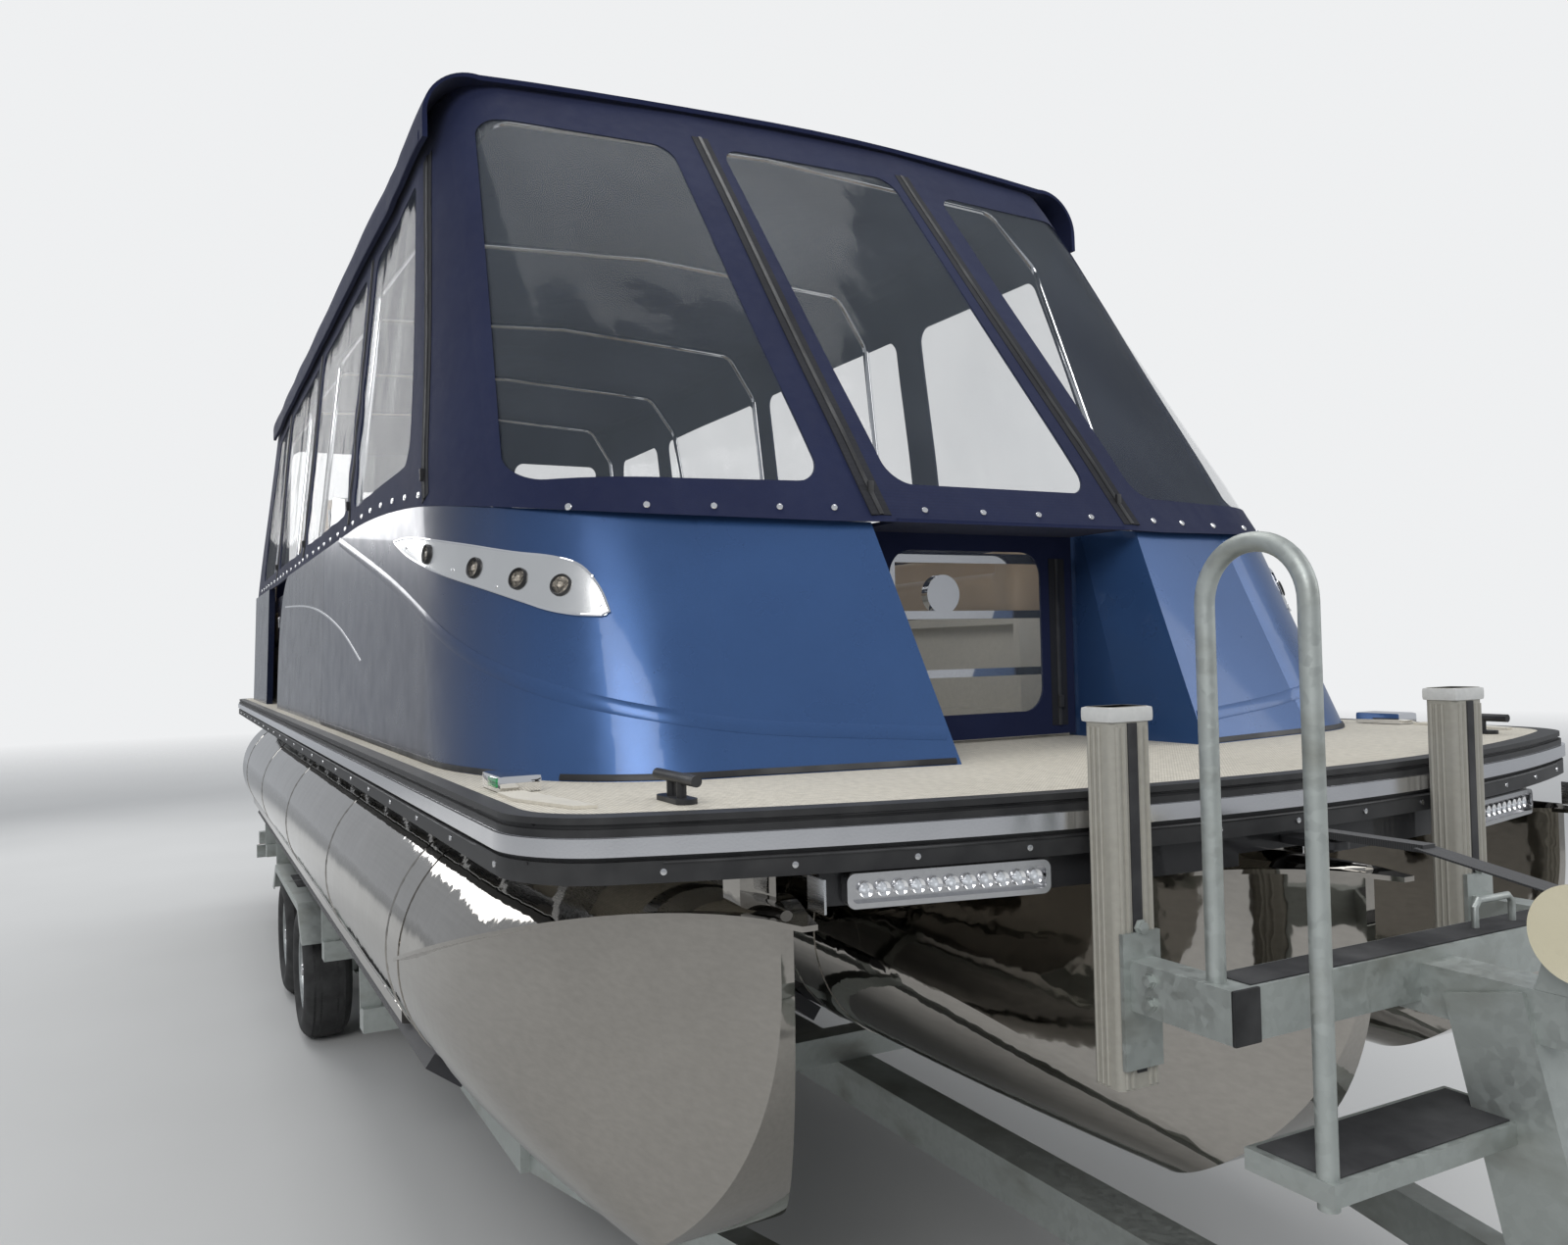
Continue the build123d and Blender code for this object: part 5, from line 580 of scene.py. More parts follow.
class Shape:
    """A mesh in the making, with a slot for each finish that it uses."""

    def __init__(self) -> None:
        """Start an empty mesh."""
        self.bm = bmesh.new()
        self.finishes: list[Finish] = []

    def slot(self, finish: Finish) -> int:
        """Return the number of a finish's slot.

        Args:
            finish: The finish, which gets a slot when it is new.

        Returns:
            Its slot.
        """
        if finish not in self.finishes:
            self.finishes.append(finish)
        return self.finishes.index(finish)

    def face(self, verts: Sequence[bmesh.types.BMVert], slot: int) -> None:
        """Add one face."""
        self.bm.faces.new(verts).material_index = slot

    def rings(self, rings: Sequence[Sequence[Vector]], finish: Finish) -> None:
        """Skin a row of point rings and cap its ends.

        Args:
            rings: Rings with equal counts of points.
            finish: Finish of the skin.
        """
        slot = self.slot(finish)
        rows = [[self.bm.verts.new(point) for point in ring] for ring in rings]
        for a, b in zip(rows, rows[1:]):
            for j in range(len(a)):
                k = (j + 1) % len(a)
                self.face((a[j], a[k], b[k], b[j]), slot)
        self.face(rows[0][::-1], slot)
        self.face(rows[-1], slot)

    def tube(self, points: Iterable[Point], radius: float, finish: Finish, sides: int) -> None:
        """Run a round tube through points.

        Args:
            points: Centre line.
            radius: Tube radius in metres.
            finish: Finish of the tube.
            sides: Sides of its section.
        """
        line = [Vector(point) for point in points]
        rings = []
        across = None
        for i, point in enumerate(line):
            ahead = (line[min(i + 1, len(line) - 1)] - line[max(i - 1, 0)]).normalized()
            across = across or square_to(ahead)
            across = (across - ahead * across.dot(ahead)).normalized()
            rings.append(circle(point, across, ahead.cross(across), radius, sides))
        self.rings(rings, finish)

    def lathe(self, at: Point, axis: Point, profile: Iterable[Pair], finish: Finish, sides: int) -> None:
        """Turn a profile about an axis.

        Args:
            at: Point on the axis at profile height 0.
            axis: Direction of the axis.
            profile: Pairs of radius and height along the axis.
            finish: Finish of the turned skin.
            sides: Sides round the axis.
        """
        ahead = Vector(axis).normalized()
        across = square_to(ahead)
        rings = [circle(Vector(at) + ahead * height, across, ahead.cross(across),
                        max(radius, POINT_RADIUS), sides) for radius, height in profile]
        self.rings(rings, finish)

    def bolt(self, at: Point, axis: Point, washer: Pair, head: Pair) -> None:
        """Add a zinc bolt head on its washer.

        Args:
            at: Middle of the washer's foot.
            axis: Direction of the head.
            washer: Radius and thickness of the washer.
            head: Radius of the head and its height over the foot.
        """
        profile = [(washer[0], 0.0), washer, (head[0], washer[1] + 0.0001), head, (0.0, head[1] + 0.0005)]
        self.lathe(at, axis, profile, ZINC, 6)

    def block(self, centre: Point, size: Point, finish: Finish, bevel: float = 0.0,
              turn: Matrix | None = None) -> None:
        """Add a block with chamfered edges.

        Args:
            centre: Middle of the block.
            size: Full size along each own axis.
            finish: Finish of the block.
            bevel: Width of the chamfers in metres.
            turn: Rotation, as a 3 by 3 matrix.
        """
        part = bmesh.new()
        bmesh.ops.create_cube(part, size=1.0)
        bmesh.ops.scale(part, vec=Vector(size), verts=part.verts)
        if bevel > 0.0:
            bmesh.ops.bevel(part, geom=list(part.edges), offset=bevel, segments=2,
                            affect="EDGES", profile=0.7)
        place = Matrix.Translation(centre) @ (turn.to_4x4() if turn else Matrix.Identity(4))
        bmesh.ops.transform(part, matrix=place, verts=part.verts)
        self.merge(part, finish)

    def merge(self, part: bmesh.types.BMesh, finish: Finish) -> None:
        """Take in another mesh.

        Args:
            part: The mesh, which is used up.
            finish: Its finish.
        """
        slot = self.slot(finish)
        known = {vert: self.bm.verts.new(vert.co) for vert in part.verts}
        for face in part.faces:
            self.face([known[vert] for vert in face.verts], slot)
        part.free()

    def band(self, line: Sequence[Hit], width: float, lift: float, finish: Finish,
             crown: float = 0.0) -> None:
        """Lay a band along a line on a surface.

        Args:
            line: Points on the surface, each with the surface's normal.
            width: Band width in metres.
            lift: Height of its edges above the surface.
            finish: Finish of the band.
            crown: Extra height of its middle.
        """
        if len(line) < 2:
            LOG.info("a band met no surface")
            return
        rings = []
        for i, (point, normal) in enumerate(line):
            ahead = (line[min(i + 1, len(line) - 1)][0] - line[max(i - 1, 0)][0]).normalized()
            side = ahead.cross(normal).normalized() * (width / 2.0)
            low, high = normal * -lift, normal * lift
            rings.append([point - side + low, point - side + high, point + normal * (lift + crown),
                          point + side + high, point + side + low])
        self.rings(rings, finish)

    def done(self, name: str, body: str = "boat", smooth: float = 40.0) -> bpy.types.Object:
        """Turn the mesh into an object that rides on a body.

        Args:
            name: Name of the piece.
            body: Body that carries it.
            smooth: Largest angle between faces that is shaded smooth, in degrees.

        Returns:
            The new object.
        """
        bmesh.ops.recalc_face_normals(self.bm, faces=self.bm.faces)
        mesh = bpy.data.meshes.new(name)
        self.bm.to_mesh(mesh)
        self.bm.free()
        for finish in self.finishes:
            mesh.materials.append(finish.material())
        mesh.shade_smooth()
        mesh.set_sharp_from_angle(angle=math.radians(smooth))
        piece = bpy.data.objects.new(name, mesh)
        bpy.context.scene.collection.objects.link(piece)
        bpy.context.view_layer.update()
        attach(piece, body)
        LOG.info("built %s: %d faces on %s", name, len(mesh.polygons), body)
        return piece


class Skin:
    """The outside of some objects, to lay things on."""

    def __init__(self, *objects: bpy.types.Object) -> None:
        """Gather the objects' faces in world places.

        Args:
            objects: The objects that are laid on.
        """
        joined = bmesh.new()
        for item in objects:
            mesh = item.data.copy()
            mesh.transform(item.matrix_world)
            joined.from_mesh(mesh)
            bpy.data.meshes.remove(mesh)
        self.tree = BVHTree.FromBMesh(joined)
        joined.free()

    def hit(self, start: Point, along: Point) -> Hit | None:
        """Return what a ray meets first.

        Args:
            start: Where the ray starts.
            along: Its direction.

        Returns:
            The point and the normal that faces the ray, or None.
        """
        place, normal, _, _ = self.tree.ray_cast(Vector(start), Vector(along))
        if place is None:
            return None
        return place, -normal if normal.dot(Vector(along)) > 0.0 else normal

    def line(self, rays: Iterable[Ray]) -> list[Hit]:
        """Return the hits of a row of rays, misses left out."""
        return [found for found in (self.hit(*ray) for ray in rays) if found]


def skin_of(*names: str) -> Skin:
    """Return the outside of CAD nodes."""
    return Skin(*(frame["nodes"][name] for name in names))


def near_step(value: float, low: float, high: float) -> float:
    """Return a smooth step from 0 at low to 1 at high."""
    share = min(max((value - low) / (high - low), 0.0), 1.0)
    return share * share * (3.0 - 2.0 * share)


def steps(start: float, end: float, count: int) -> list[float]:
    """Return evenly spaced numbers from start to end."""
    return [start + (end - start) * i / (count - 1) for i in range(count)]


def between(start: Sequence[float], end: Sequence[float], count: int) -> list[tuple[float, ...]]:
    """Return evenly spaced points from start to end."""
    return list(zip(*(steps(a, b, count) for a, b in zip(start, end))))


def curve(knots: Sequence[Pair], count: int) -> list[Pair]:
    """Return points on a smooth curve.

    Args:
        knots: Points that the curve passes.
        count: How many points are wanted.

    Returns:
        The points, evenly spread from knot to knot.
    """
    found = []
    last = len(knots) - 1
    for place in steps(0.0, last, count):
        k = min(int(place), last - 1)
        t = place - k
        near = [knots[min(max(k + step, 0), last)] for step in (-1, 0, 1, 2)]
        found.append(tuple(0.5 * (2 * b + (c - a) * t + (2 * a - 5 * b + 4 * c - d) * t * t
                                  + (3 * b - a - 3 * c + d) * t ** 3) for a, b, c, d in zip(*near)))
    return found


def from_bow(y: float, z: float, out: float = 0.0) -> Ray:
    """Return a ray aft, from a distance ahead of the deck's bow edge."""
    return (BOW + out, y, z), (-1.0, 0.0, 0.0)


def from_side(side: float, x: float, z: float) -> Ray:
    """Return a ray inward from well outside a side."""
    return (x, side * 2.0, z), (0.0, -side, 0.0)


def from_above(x: float, y: float, z: float) -> Ray:
    """Return a ray down from a point."""
    return (x, y, z), (0.0, 0.0, -1.0)


def dress_nodes() -> None:
    """Give each CAD node its finish."""
    for name, node in frame["nodes"].items():
        if name in NODE_FINISHES:
            node.data.materials.clear()
            node.data.materials.append(NODE_FINISHES[name].material())
            LOG.info("dressed %s with %s", name, NODE_FINISHES[name].name)


@dataclass
class Enclosure:
    """Canvas roof, curtains and clear windows, with zips, bindings and snaps."""

    cell: float = 0.055
    swell: float = 0.007
    sag: float = 0.014
    fold: float = 0.0022
    fold_waves: float = 34.0
    roof_swell: float = 0.002
    shoulder: Pair = (1.64, 1.8)
    flank: Pair = (0.86, 1.1)
    roof_height: float = 1.72
    bows: tuple[float, ...] = (1.94, 3.0, 4.12, 5.24, 6.34)
    roof_ends: Pair = (1.785, 6.51)
    flats: tuple[tuple[str, Pair], ...] = (
        ("canopy_roof", (4.95, 2.62)), ("curtain_front", (3.3, 1.7)), ("curtain_starboard", (5.1, 1.2)),
        ("curtain_port", (5.1, 1.2)), ("curtain_aft", (2.35, 1.2)))
    window_hems: float = 1.1
    tape: float = 0.05
    coil: float = 0.011
    pull: Point = (0.008, 0.014, 0.03)
    front_zip: tuple[Pair, Pair] = ((0.36, DECK + 0.52), (0.345, DECK + 1.72))
    corner_zip: tuple[Pair, Pair] = ((BOW - 1.42, DECK + 0.58), (BOW - 1.86, DECK + 1.6))
    aft_zip: float = 0.355
    gate_zip: Pair = (0.275, DECK + 0.03)
    zip_foot: float = DECK + 0.69
    zip_step: float = 0.03
    flank_zips: tuple[float, ...] = (2.77, 4.17, 5.57)
    roof_half: float = 1.06
    hem_height: float = DECK + 1.627
    snap_pitch: float = 0.19
    snap_ends: Pair = (1.5, 6.8)
    front_snap_height: float = DECK + 0.535
    front_snaps: tuple[float, ...] = (0.08, 0.24, 0.46, 0.58, 0.72, 0.86, 1.0)
    snap: tuple[Pair, ...] = ((0.0085, 0.0), (0.0085, 0.002), (0.0065, 0.0045), (0.0, 0.0055))

    def outward(self, point: Vector) -> Vector:
        """Return the direction out of the enclosure.

        Args:
            point: A point of the cloth.

        Returns:
            The direction, up on the roof and sideways below it.
        """
        back = BOW - point.x
        up = near_step(point.z - DECK, *self.shoulder)
        side = math.copysign(near_step(abs(point.y), *self.flank), point.y)
        fore = near_step(2.0 - back, 0.0, 0.35) * (1.0 - up) - near_step(back, 6.3, 6.6) * (1.0 - up)
        way = Vector((fore, side * (1.0 - 0.7 * up), up))
        return way.normalized() if way.length > 1e-3 else Vector(UP)

    def lift(self, point: Vector) -> float:
        """Return how far the cloth stands out: swells, pull folds, and sag between the bows.

        Args:
            point: A point of the cloth.

        Returns:
            The distance in metres.
        """
        height = point.z - DECK
        slow = noise.noise(point * 1.9)
        patch = near_step(noise.noise(point * 1.3), 0.1, 0.5)
        folds = math.sin((point.x * 0.7 + point.z * 0.9) * self.fold_waves) * patch
        if height > self.roof_height:
            for ahead, behind in zip(self.bows, self.bows[1:]):
                if ahead < BOW - point.x < behind:
                    share = (BOW - point.x - ahead) / (behind - ahead)
                    return self.roof_swell * slow - self.sag * math.sin(math.pi * share) ** 2
        return near_step(height, 0.53, 0.75) * (self.swell * (slow + 0.35) + self.fold * folds)

    def cloth(self, node: str) -> bpy.types.Object:
        """Make a creased copy of one canvas node.

        Args:
            node: The CAD node that it replaces.

        Returns:
            The creased sheet.
        """
        source = frame["nodes"][node]
        sheet = bmesh.new()
        sheet.from_mesh(source.data)
        sheet.transform(source.matrix_world)
        bmesh.ops.remove_doubles(sheet, verts=sheet.verts, dist=1e-5)
        bmesh.ops.dissolve_limit(sheet, angle_limit=math.radians(0.4), verts=sheet.verts, edges=sheet.edges)
        for axis in range(3):
            low = min(vert.co[axis] for vert in sheet.verts)
            high = max(vert.co[axis] for vert in sheet.verts)
            way = Matrix.Identity(3)[axis]
            for i in range(1, int((high - low) / self.cell) + 1):
                bmesh.ops.bisect_plane(sheet, geom=sheet.verts[:] + sheet.edges[:] + sheet.faces[:],
                                       plane_co=way * (low + i * self.cell), plane_no=way, dist=1e-5)
        for vert in sheet.verts:
            vert.co += self.outward(vert.co) * self.lift(vert.co)
        shape = Shape()
        shape.merge(sheet, NODE_FINISHES[node])
        piece = shape.done(node + "_cloth", smooth=50.0)
        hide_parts(node)
        return piece

    def zips(self, skin: Skin) -> None:
        """Lay the zip tapes with their coils and pulls on the curtains.

        Args:
            skin: The curtains' outside.
        """
        shape = Shape()
        for side in SIDES:
            rise = [self.zip_foot + self.zip_step * i for i in range(32)]
            runs = [[from_bow(side * y, z) for y, z in between(*self.front_zip, 40)],
                    [from_side(side, x, z) for x, z in between(*self.corner_zip, 36)]]
            runs += [[from_side(side, BOW - back, z) for z in rise[:31]] for back in self.flank_zips]
            across, foot = self.gate_zip
            runs += [[((STERN, side * self.aft_zip, z), (1.0, 0.0, 0.0)) for z in rise],
                     [from_bow(side * across, foot + self.zip_step * i, -0.5) for i in range(15)]]
            for run in (skin.line(rays) for rays in runs):
                if len(run) < 3:
                    continue
                shape.band(run, self.tape, 0.0016, ZIP_TAPE)
                shape.band(run, self.coil, 0.0034, BLACK_PLASTIC, 0.0016)
                place, normal = run[2]
                shape.block(place + normal * 0.006, self.pull, BLACK_PLASTIC, 0.002)
        shape.done("enclosure_zips")

    def bindings(self, skin: Skin) -> None:
        """Lay the folded binding across the roof's ends and bows and along its hems.

        Args:
            skin: The outside of all the canvas.
        """
        shape = Shape()
        front, stern = self.roof_ends
        for back in (front, *self.bows, stern):
            rays = [from_above(BOW - back, y, DECK + 2.2) for y in steps(-self.roof_half, self.roof_half, 44)]
            shape.band(skin.line(rays), 0.03 if back in self.bows else 0.036, 0.0012, NAVY_CANVAS, 0.0014)
        for side in SIDES:
            rays = [from_side(side, x, self.hem_height) for x in steps(BOW - 1.8, BOW - stern, 90)]
            shape.band(skin.line(rays), 0.03, 0.0014, NAVY_CANVAS, 0.001)
        shape.done("canvas_bindings")

    def foot(self, back: float) -> float:
        """Return the height of the canvas foot along a side, which follows the panels' rising top."""
        return 0.03 + (0.505 + 0.145 * math.sin(min((back - 0.757) / 1.743, 1.0) * math.pi / 2.0))

    def snaps(self, skin: Skin) -> None:
        """Set bright snap studs along the canvas foot.

        Args:
            skin: The curtains' outside.
        """
        shape = Shape()
        front = [-y for y in self.front_snaps[::-1]] + list(self.front_snaps)
        rays = [from_bow(y, self.front_snap_height) for y in front]
        for side in SIDES:
            back, last = self.snap_ends
            while back < last:
                rays.append(from_side(side, BOW - back, DECK + self.foot(back)))
                back += self.snap_pitch
        for place, normal in skin.line(rays):
            shape.lathe(place, normal, self.snap, CHROME, 12)
        shape.done("snap_studs")

    def build(self) -> None:
        """Make the cloths, then lay the trim on them."""
        cloths = []
        for node, flat in self.flats:
            piece = self.cloth(node)
            cloths.append(piece)
        clear = self.cloth("clear_windows")
        walls = Skin(*cloths[1:])
        self.zips(walls)
        self.bindings(Skin(*cloths))
        self.snaps(walls)


@dataclass
class Upholstery:
    """Padded seat cushions swollen from the closed forms."""

    voxel: float = 0.02
    pressure: float = 4.0
    stiffness: float = 40.0
    frames: int = 20
    limit: float = 0.014
    nodes: tuple[str, ...] = ("cushions_starboard", "cushions_port", "cushions_stern", "helm_chair")

    def pad(self, node: str) -> None:
        """Swell one node's cushions.

        Args:
            node: The CAD node that they replace.
        """
        source = frame["nodes"][node]
        body = body_of(source)[0]
        mesh = source.data.copy()
        mesh.transform(source.matrix_world)
        piece = bpy.data.objects.new(node + "_padded", mesh)
        bpy.context.scene.collection.objects.link(piece)
        mesh.materials.clear()
        mesh.materials.append(TAN.material())
        shrink = piece.modifiers.new("voxels", "REMESH")
        shrink.mode = "VOXEL"
        shrink.voxel_size = self.voxel
        relax = piece.modifiers.new("relax", "SMOOTH")
        relax.factor = 0.5
        relax.iterations = 4
        self.apply(piece)
        self.inflate(piece)
        finer = piece.modifiers.new("finer", "SUBSURF")
        finer.levels = finer.render_levels = 1
        self.apply(piece)
        piece.data.shade_smooth()
        bpy.context.view_layer.update()
        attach(piece, body)
        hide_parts(node)
        LOG.info("padded %s: %d faces", node, len(piece.data.polygons))

    def apply(self, piece: bpy.types.Object) -> None:
        """Turn a piece's modifiers into its mesh.

        Args:
            piece: The piece.
        """
        graph = bpy.context.evaluated_depsgraph_get()
        solid = bpy.data.meshes.new_from_object(piece.evaluated_get(graph))
        piece.modifiers.clear()
        piece.data = solid

    def inflate(self, piece: bpy.types.Object) -> None:
        """Swell a piece with a short cloth run under pressure, within a limit.

        Args:
            piece: The piece.
        """
        cloth = piece.modifiers.new("cloth", "CLOTH")
        settings = cloth.settings
        settings.use_pressure = True
        settings.uniform_pressure_force = self.pressure
        settings.effector_weights.gravity = 0.0
        settings.quality = 4
        settings.tension_stiffness = settings.compression_stiffness = self.stiffness
        settings.bending_stiffness = 1.0
        cloth.collision_settings.use_collision = False
        rest = [vert.co.copy() for vert in piece.data.vertices]
        scene = bpy.context.scene
        cloth.point_cache.frame_start = 1
        cloth.point_cache.frame_end = self.frames
        for step in range(1, self.frames + 1):
            scene.frame_set(step)
        self.apply(piece)
        scene.frame_set(1)
        for vert, start in zip(piece.data.vertices, rest):
            move = vert.co - start
            if move.length > self.limit:
                vert.co = start + move.normalized() * self.limit

    def build(self) -> None:
        """Pad every seat."""
        for node in self.nodes:
            self.pad(node)


@dataclass
class FenceTrim:
    """Docking lights, styling ridge, a black band of painted shade along the panels' foot, accents and gate
    fittings on the fence.
    """

    plate_top: tuple[Pair, ...] = (
        (-1.496, 0.368), (-1.475, 0.3725), (-1.42, 0.3665), (-1.36, 0.358), (-1.31, 0.353), (-1.275, 0.342),
        (-1.252, 0.315), (-1.24, 0.286))
    plate_foot: tuple[Pair, ...] = (
        (-1.494, 0.364), (-1.478, 0.349), (-1.445, 0.332), (-1.389, 0.313), (-1.345, 0.298), (-1.318, 0.289),
        (-1.285, 0.283), (-1.245, 0.281))
    plate_grid: tuple[int, int] = (36, 6)
    plate_lift: float = 0.004
    rim_pitch: float = 0.012
    lamps: tuple[Pair, ...] = ((-1.459, 0.354), (-1.405, 0.3385), (-1.353, 0.326), (-1.301, 0.3185))
    lamp_radius: float = 0.023
    lamp_ring: tuple[Pair, ...] = ((1.0, 0.001), (1.0, 0.008), (0.93, 0.0105), (0.84, 0.009), (0.8, 0.006))
    lamp_cup: tuple[Pair, ...] = ((0.8, 0.006), (0.7, 0.0055), (0.3, 0.005), (0.28, 0.0075), (0.0, 0.0085))
    screws: tuple[Pair, ...] = (
        (-1.482, 0.3615), (-1.25, 0.292), (-1.262, 0.33), (-1.38, 0.3165), (-1.43, 0.336))
    screw: tuple[Pair, ...] = ((0.0042, 0.003), (0.0036, 0.006), (0.0, 0.0068))
    ridge: tuple[Pair, ...] = (
        (-1.573, 0.38), (-1.501, 0.32), (-1.436, 0.252), (-1.367, 0.21), (-1.271, 0.177), (-1.141, 0.149),
        (-0.999, 0.129), (-0.737, 0.109))
    accent: tuple[Pair, ...] = ((-1.62, 0.293), (-1.587, 0.293), (-1.559, 0.271), (-1.536, 0.232))
    foot_shade_band_height: float = DECK + 0.007
    gates: tuple[str, ...] = ("bow_gate", "side_gate_starboard", "side_gate_port", "stern_gate")
    knuckle: float = 0.03
    pin_radius: float = 0.0065
    leaf: Pair = (0.036, 0.003)
    latch: Point = (0.034, 0.034, 0.06)
    latch_drop: float = 0.14
    latch_knob: tuple[Pair, ...] = ((0.009, 0.0), (0.009, 0.014), (0.013, 0.02), (0.0, 0.026))

    def ray(self, aim: Pair, side: float) -> Ray:
        """Return the sight line to an aim point on the plane of the bow edge.

        Args:
            aim: Place across the boat and height over the deck.
            side: -1 for starboard, 1 for the mirror image to port.

        Returns:
            The ray.
        """
        start = Vector((EYE[0], -side * EYE[1], EYE[2]))
        end = Vector((BOW, -side * aim[0], DECK + aim[1]))
        return tuple(start), tuple((end - start).normalized())

    def plate(self, shape: Shape, skin: Skin, side: float) -> None:
        """Lay the lamp plate over the panel's curve.

        Args:
            shape: The mesh to add to.
            skin: The panel's outside.
            side: -1 for starboard, 1 for port.
        """
        columns, rows = self.plate_grid
        grid = []
        for top, foot in zip(curve(self.plate_top, columns), curve(self.plate_foot, columns)):
            column = skin.line(self.ray(aim, side) for aim in between(top, foot, rows))
            if len(column) == rows:
                grid.append(column)
        slot = shape.slot(CHROME_WHITE)
        upper = [[shape.bm.verts.new(place + normal * self.plate_lift) for place, normal in column]
                 for column in grid]
        for a, b in zip(upper, upper[1:]):
            for j in range(rows - 1):
                shape.face((a[j], a[j + 1], b[j + 1], b[j]), slot)
        border = [grid[0][0]]
        for found in [column[0] for column in grid[1:]] + [column[-1] for column in reversed(grid)]:
            if (found[0] - border[-1][0]).length > self.rim_pitch:
                border.append(found)
        shape.band(border + [border[0]], 0.005, 0.0044, CHROME, 0.001)

    def lights(self, skin: Skin) -> None:
        """Set the docking lamps in their plates.

        Args:
            skin: The panels' outside.
        """
        shape = Shape()
        parts = ((self.lamp_ring, BLACK_PLASTIC, 28), (self.lamp_cup, LAMP_GLASS, 24))
        for side in SIDES:
            self.plate(shape, skin, side)
            for place, normal in skin.line(self.ray(aim, side) for aim in self.lamps):
                for profile, finish, sides in parts:
                    turned = [(self.lamp_radius * share, height) for share, height in profile]
                    shape.lathe(place, normal, turned, finish, sides)
            for place, normal in skin.line(self.ray(aim, side) for aim in self.screws):
                shape.lathe(place, normal, self.screw, CHROME, 10)
        shape.done("docking_lights")

    def ridges(self, skin: Skin) -> None:
        """Raise the styling ridge, the accent line and a black band of painted shade along the foot of the
        panels.

        Args:
            skin: The panels' outside.
        """
        shape = Shape()
        for side in SIDES:
            ridge, accent = (skin.line(self.ray(aim, side) for aim in curve(knots, count))
                             for knots, count in ((self.ridge, 70), (self.accent, 24)))
            shape.band(ridge, 0.03, 0.0006, BOW_PAINT_AND_PAINTED_REFLECTION, 0.0042)
            shape.band(accent, 0.007, 0.0008, CHROME, 0.001)
            # A thin black band round the panels' foot, front and flanks: painted shade where the panels meet
            # the deck.
            front = [from_bow(side * y, self.foot_shade_band_height, 0.4) for y in steps(0.345, 1.08, 30)]
            flank = [from_side(side, x, self.foot_shade_band_height) for x in steps(BOW - 0.9, BOW - 3.28, 30)]
            for rays in (front, flank):
                shape.band(skin.line(rays), 0.012, 0.003, BLACK_PLASTIC, 0.001)
        shape.done("panel_trim")

    def fittings(self, gate: str, axis: Vector) -> None:
        """Fit a gate's hinge knuckles and its latch.

        Args:
            gate: The gate's node and body.
            axis: A point on its joint's axis.
        """
        low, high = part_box(gate)
        middle = (low + high) / 2.0
        along = Vector((1.0, 0.0, 0.0)) if high.x - low.x > high.y - low.y else Vector((0.0, 1.0, 0.0))
        into = along if (middle - axis).dot(along) > 0.0 else -along
        leaf = self.leaf if along.x else self.leaf[::-1]
        for part, carrier, foot in (("pins", "boat", -self.knuckle), ("leaves", gate, 0.0005)):
            shape = Shape()
            for height in (low.z + 0.1, high.z - 0.1):
                place = Vector((axis.x, axis.y, height + foot))
                pin = [(self.pin_radius, 0.0), (self.pin_radius, self.knuckle - 0.0005)]
                shape.lathe(place, UP, pin, CHROME, 14)
                if carrier == gate:
                    centre = place + into * 0.022 + Vector(UP) * (self.knuckle / 2.0)
                    shape.block(centre, (*leaf, self.knuckle - 0.002), CHROME, 0.0008)
            shape.done(f"{gate}_hinge_{part}", carrier)
        latch = Shape()
        free = (high if into.dot(along) > 0.0 else low).dot(along) - into.dot(along) * 0.02
        edge = middle + along * (free - middle.dot(along))
        edge.z = high.z - self.latch_drop
        latch.block(edge, self.latch, STAINLESS, 0.004)
        latch.lathe(edge + Vector((0.0, 0.0, 0.028)), UP, self.latch_knob, BLACK_PLASTIC, 16)
        latch.done(gate + "_latch", gate)

    def build(self) -> None:
        """Build the fence's trim."""
        skin = skin_of("bow_panel_starboard", "bow_panel_port", "side_panel_starboard", "side_panel_port")
        self.lights(skin)
        self.ridges(skin)
        axes = {joint["child"]: Vector(joint["pos_m"]) for joint in frame["joints"]}
        for gate in self.gates:
            self.fittings(gate, axes[gate])


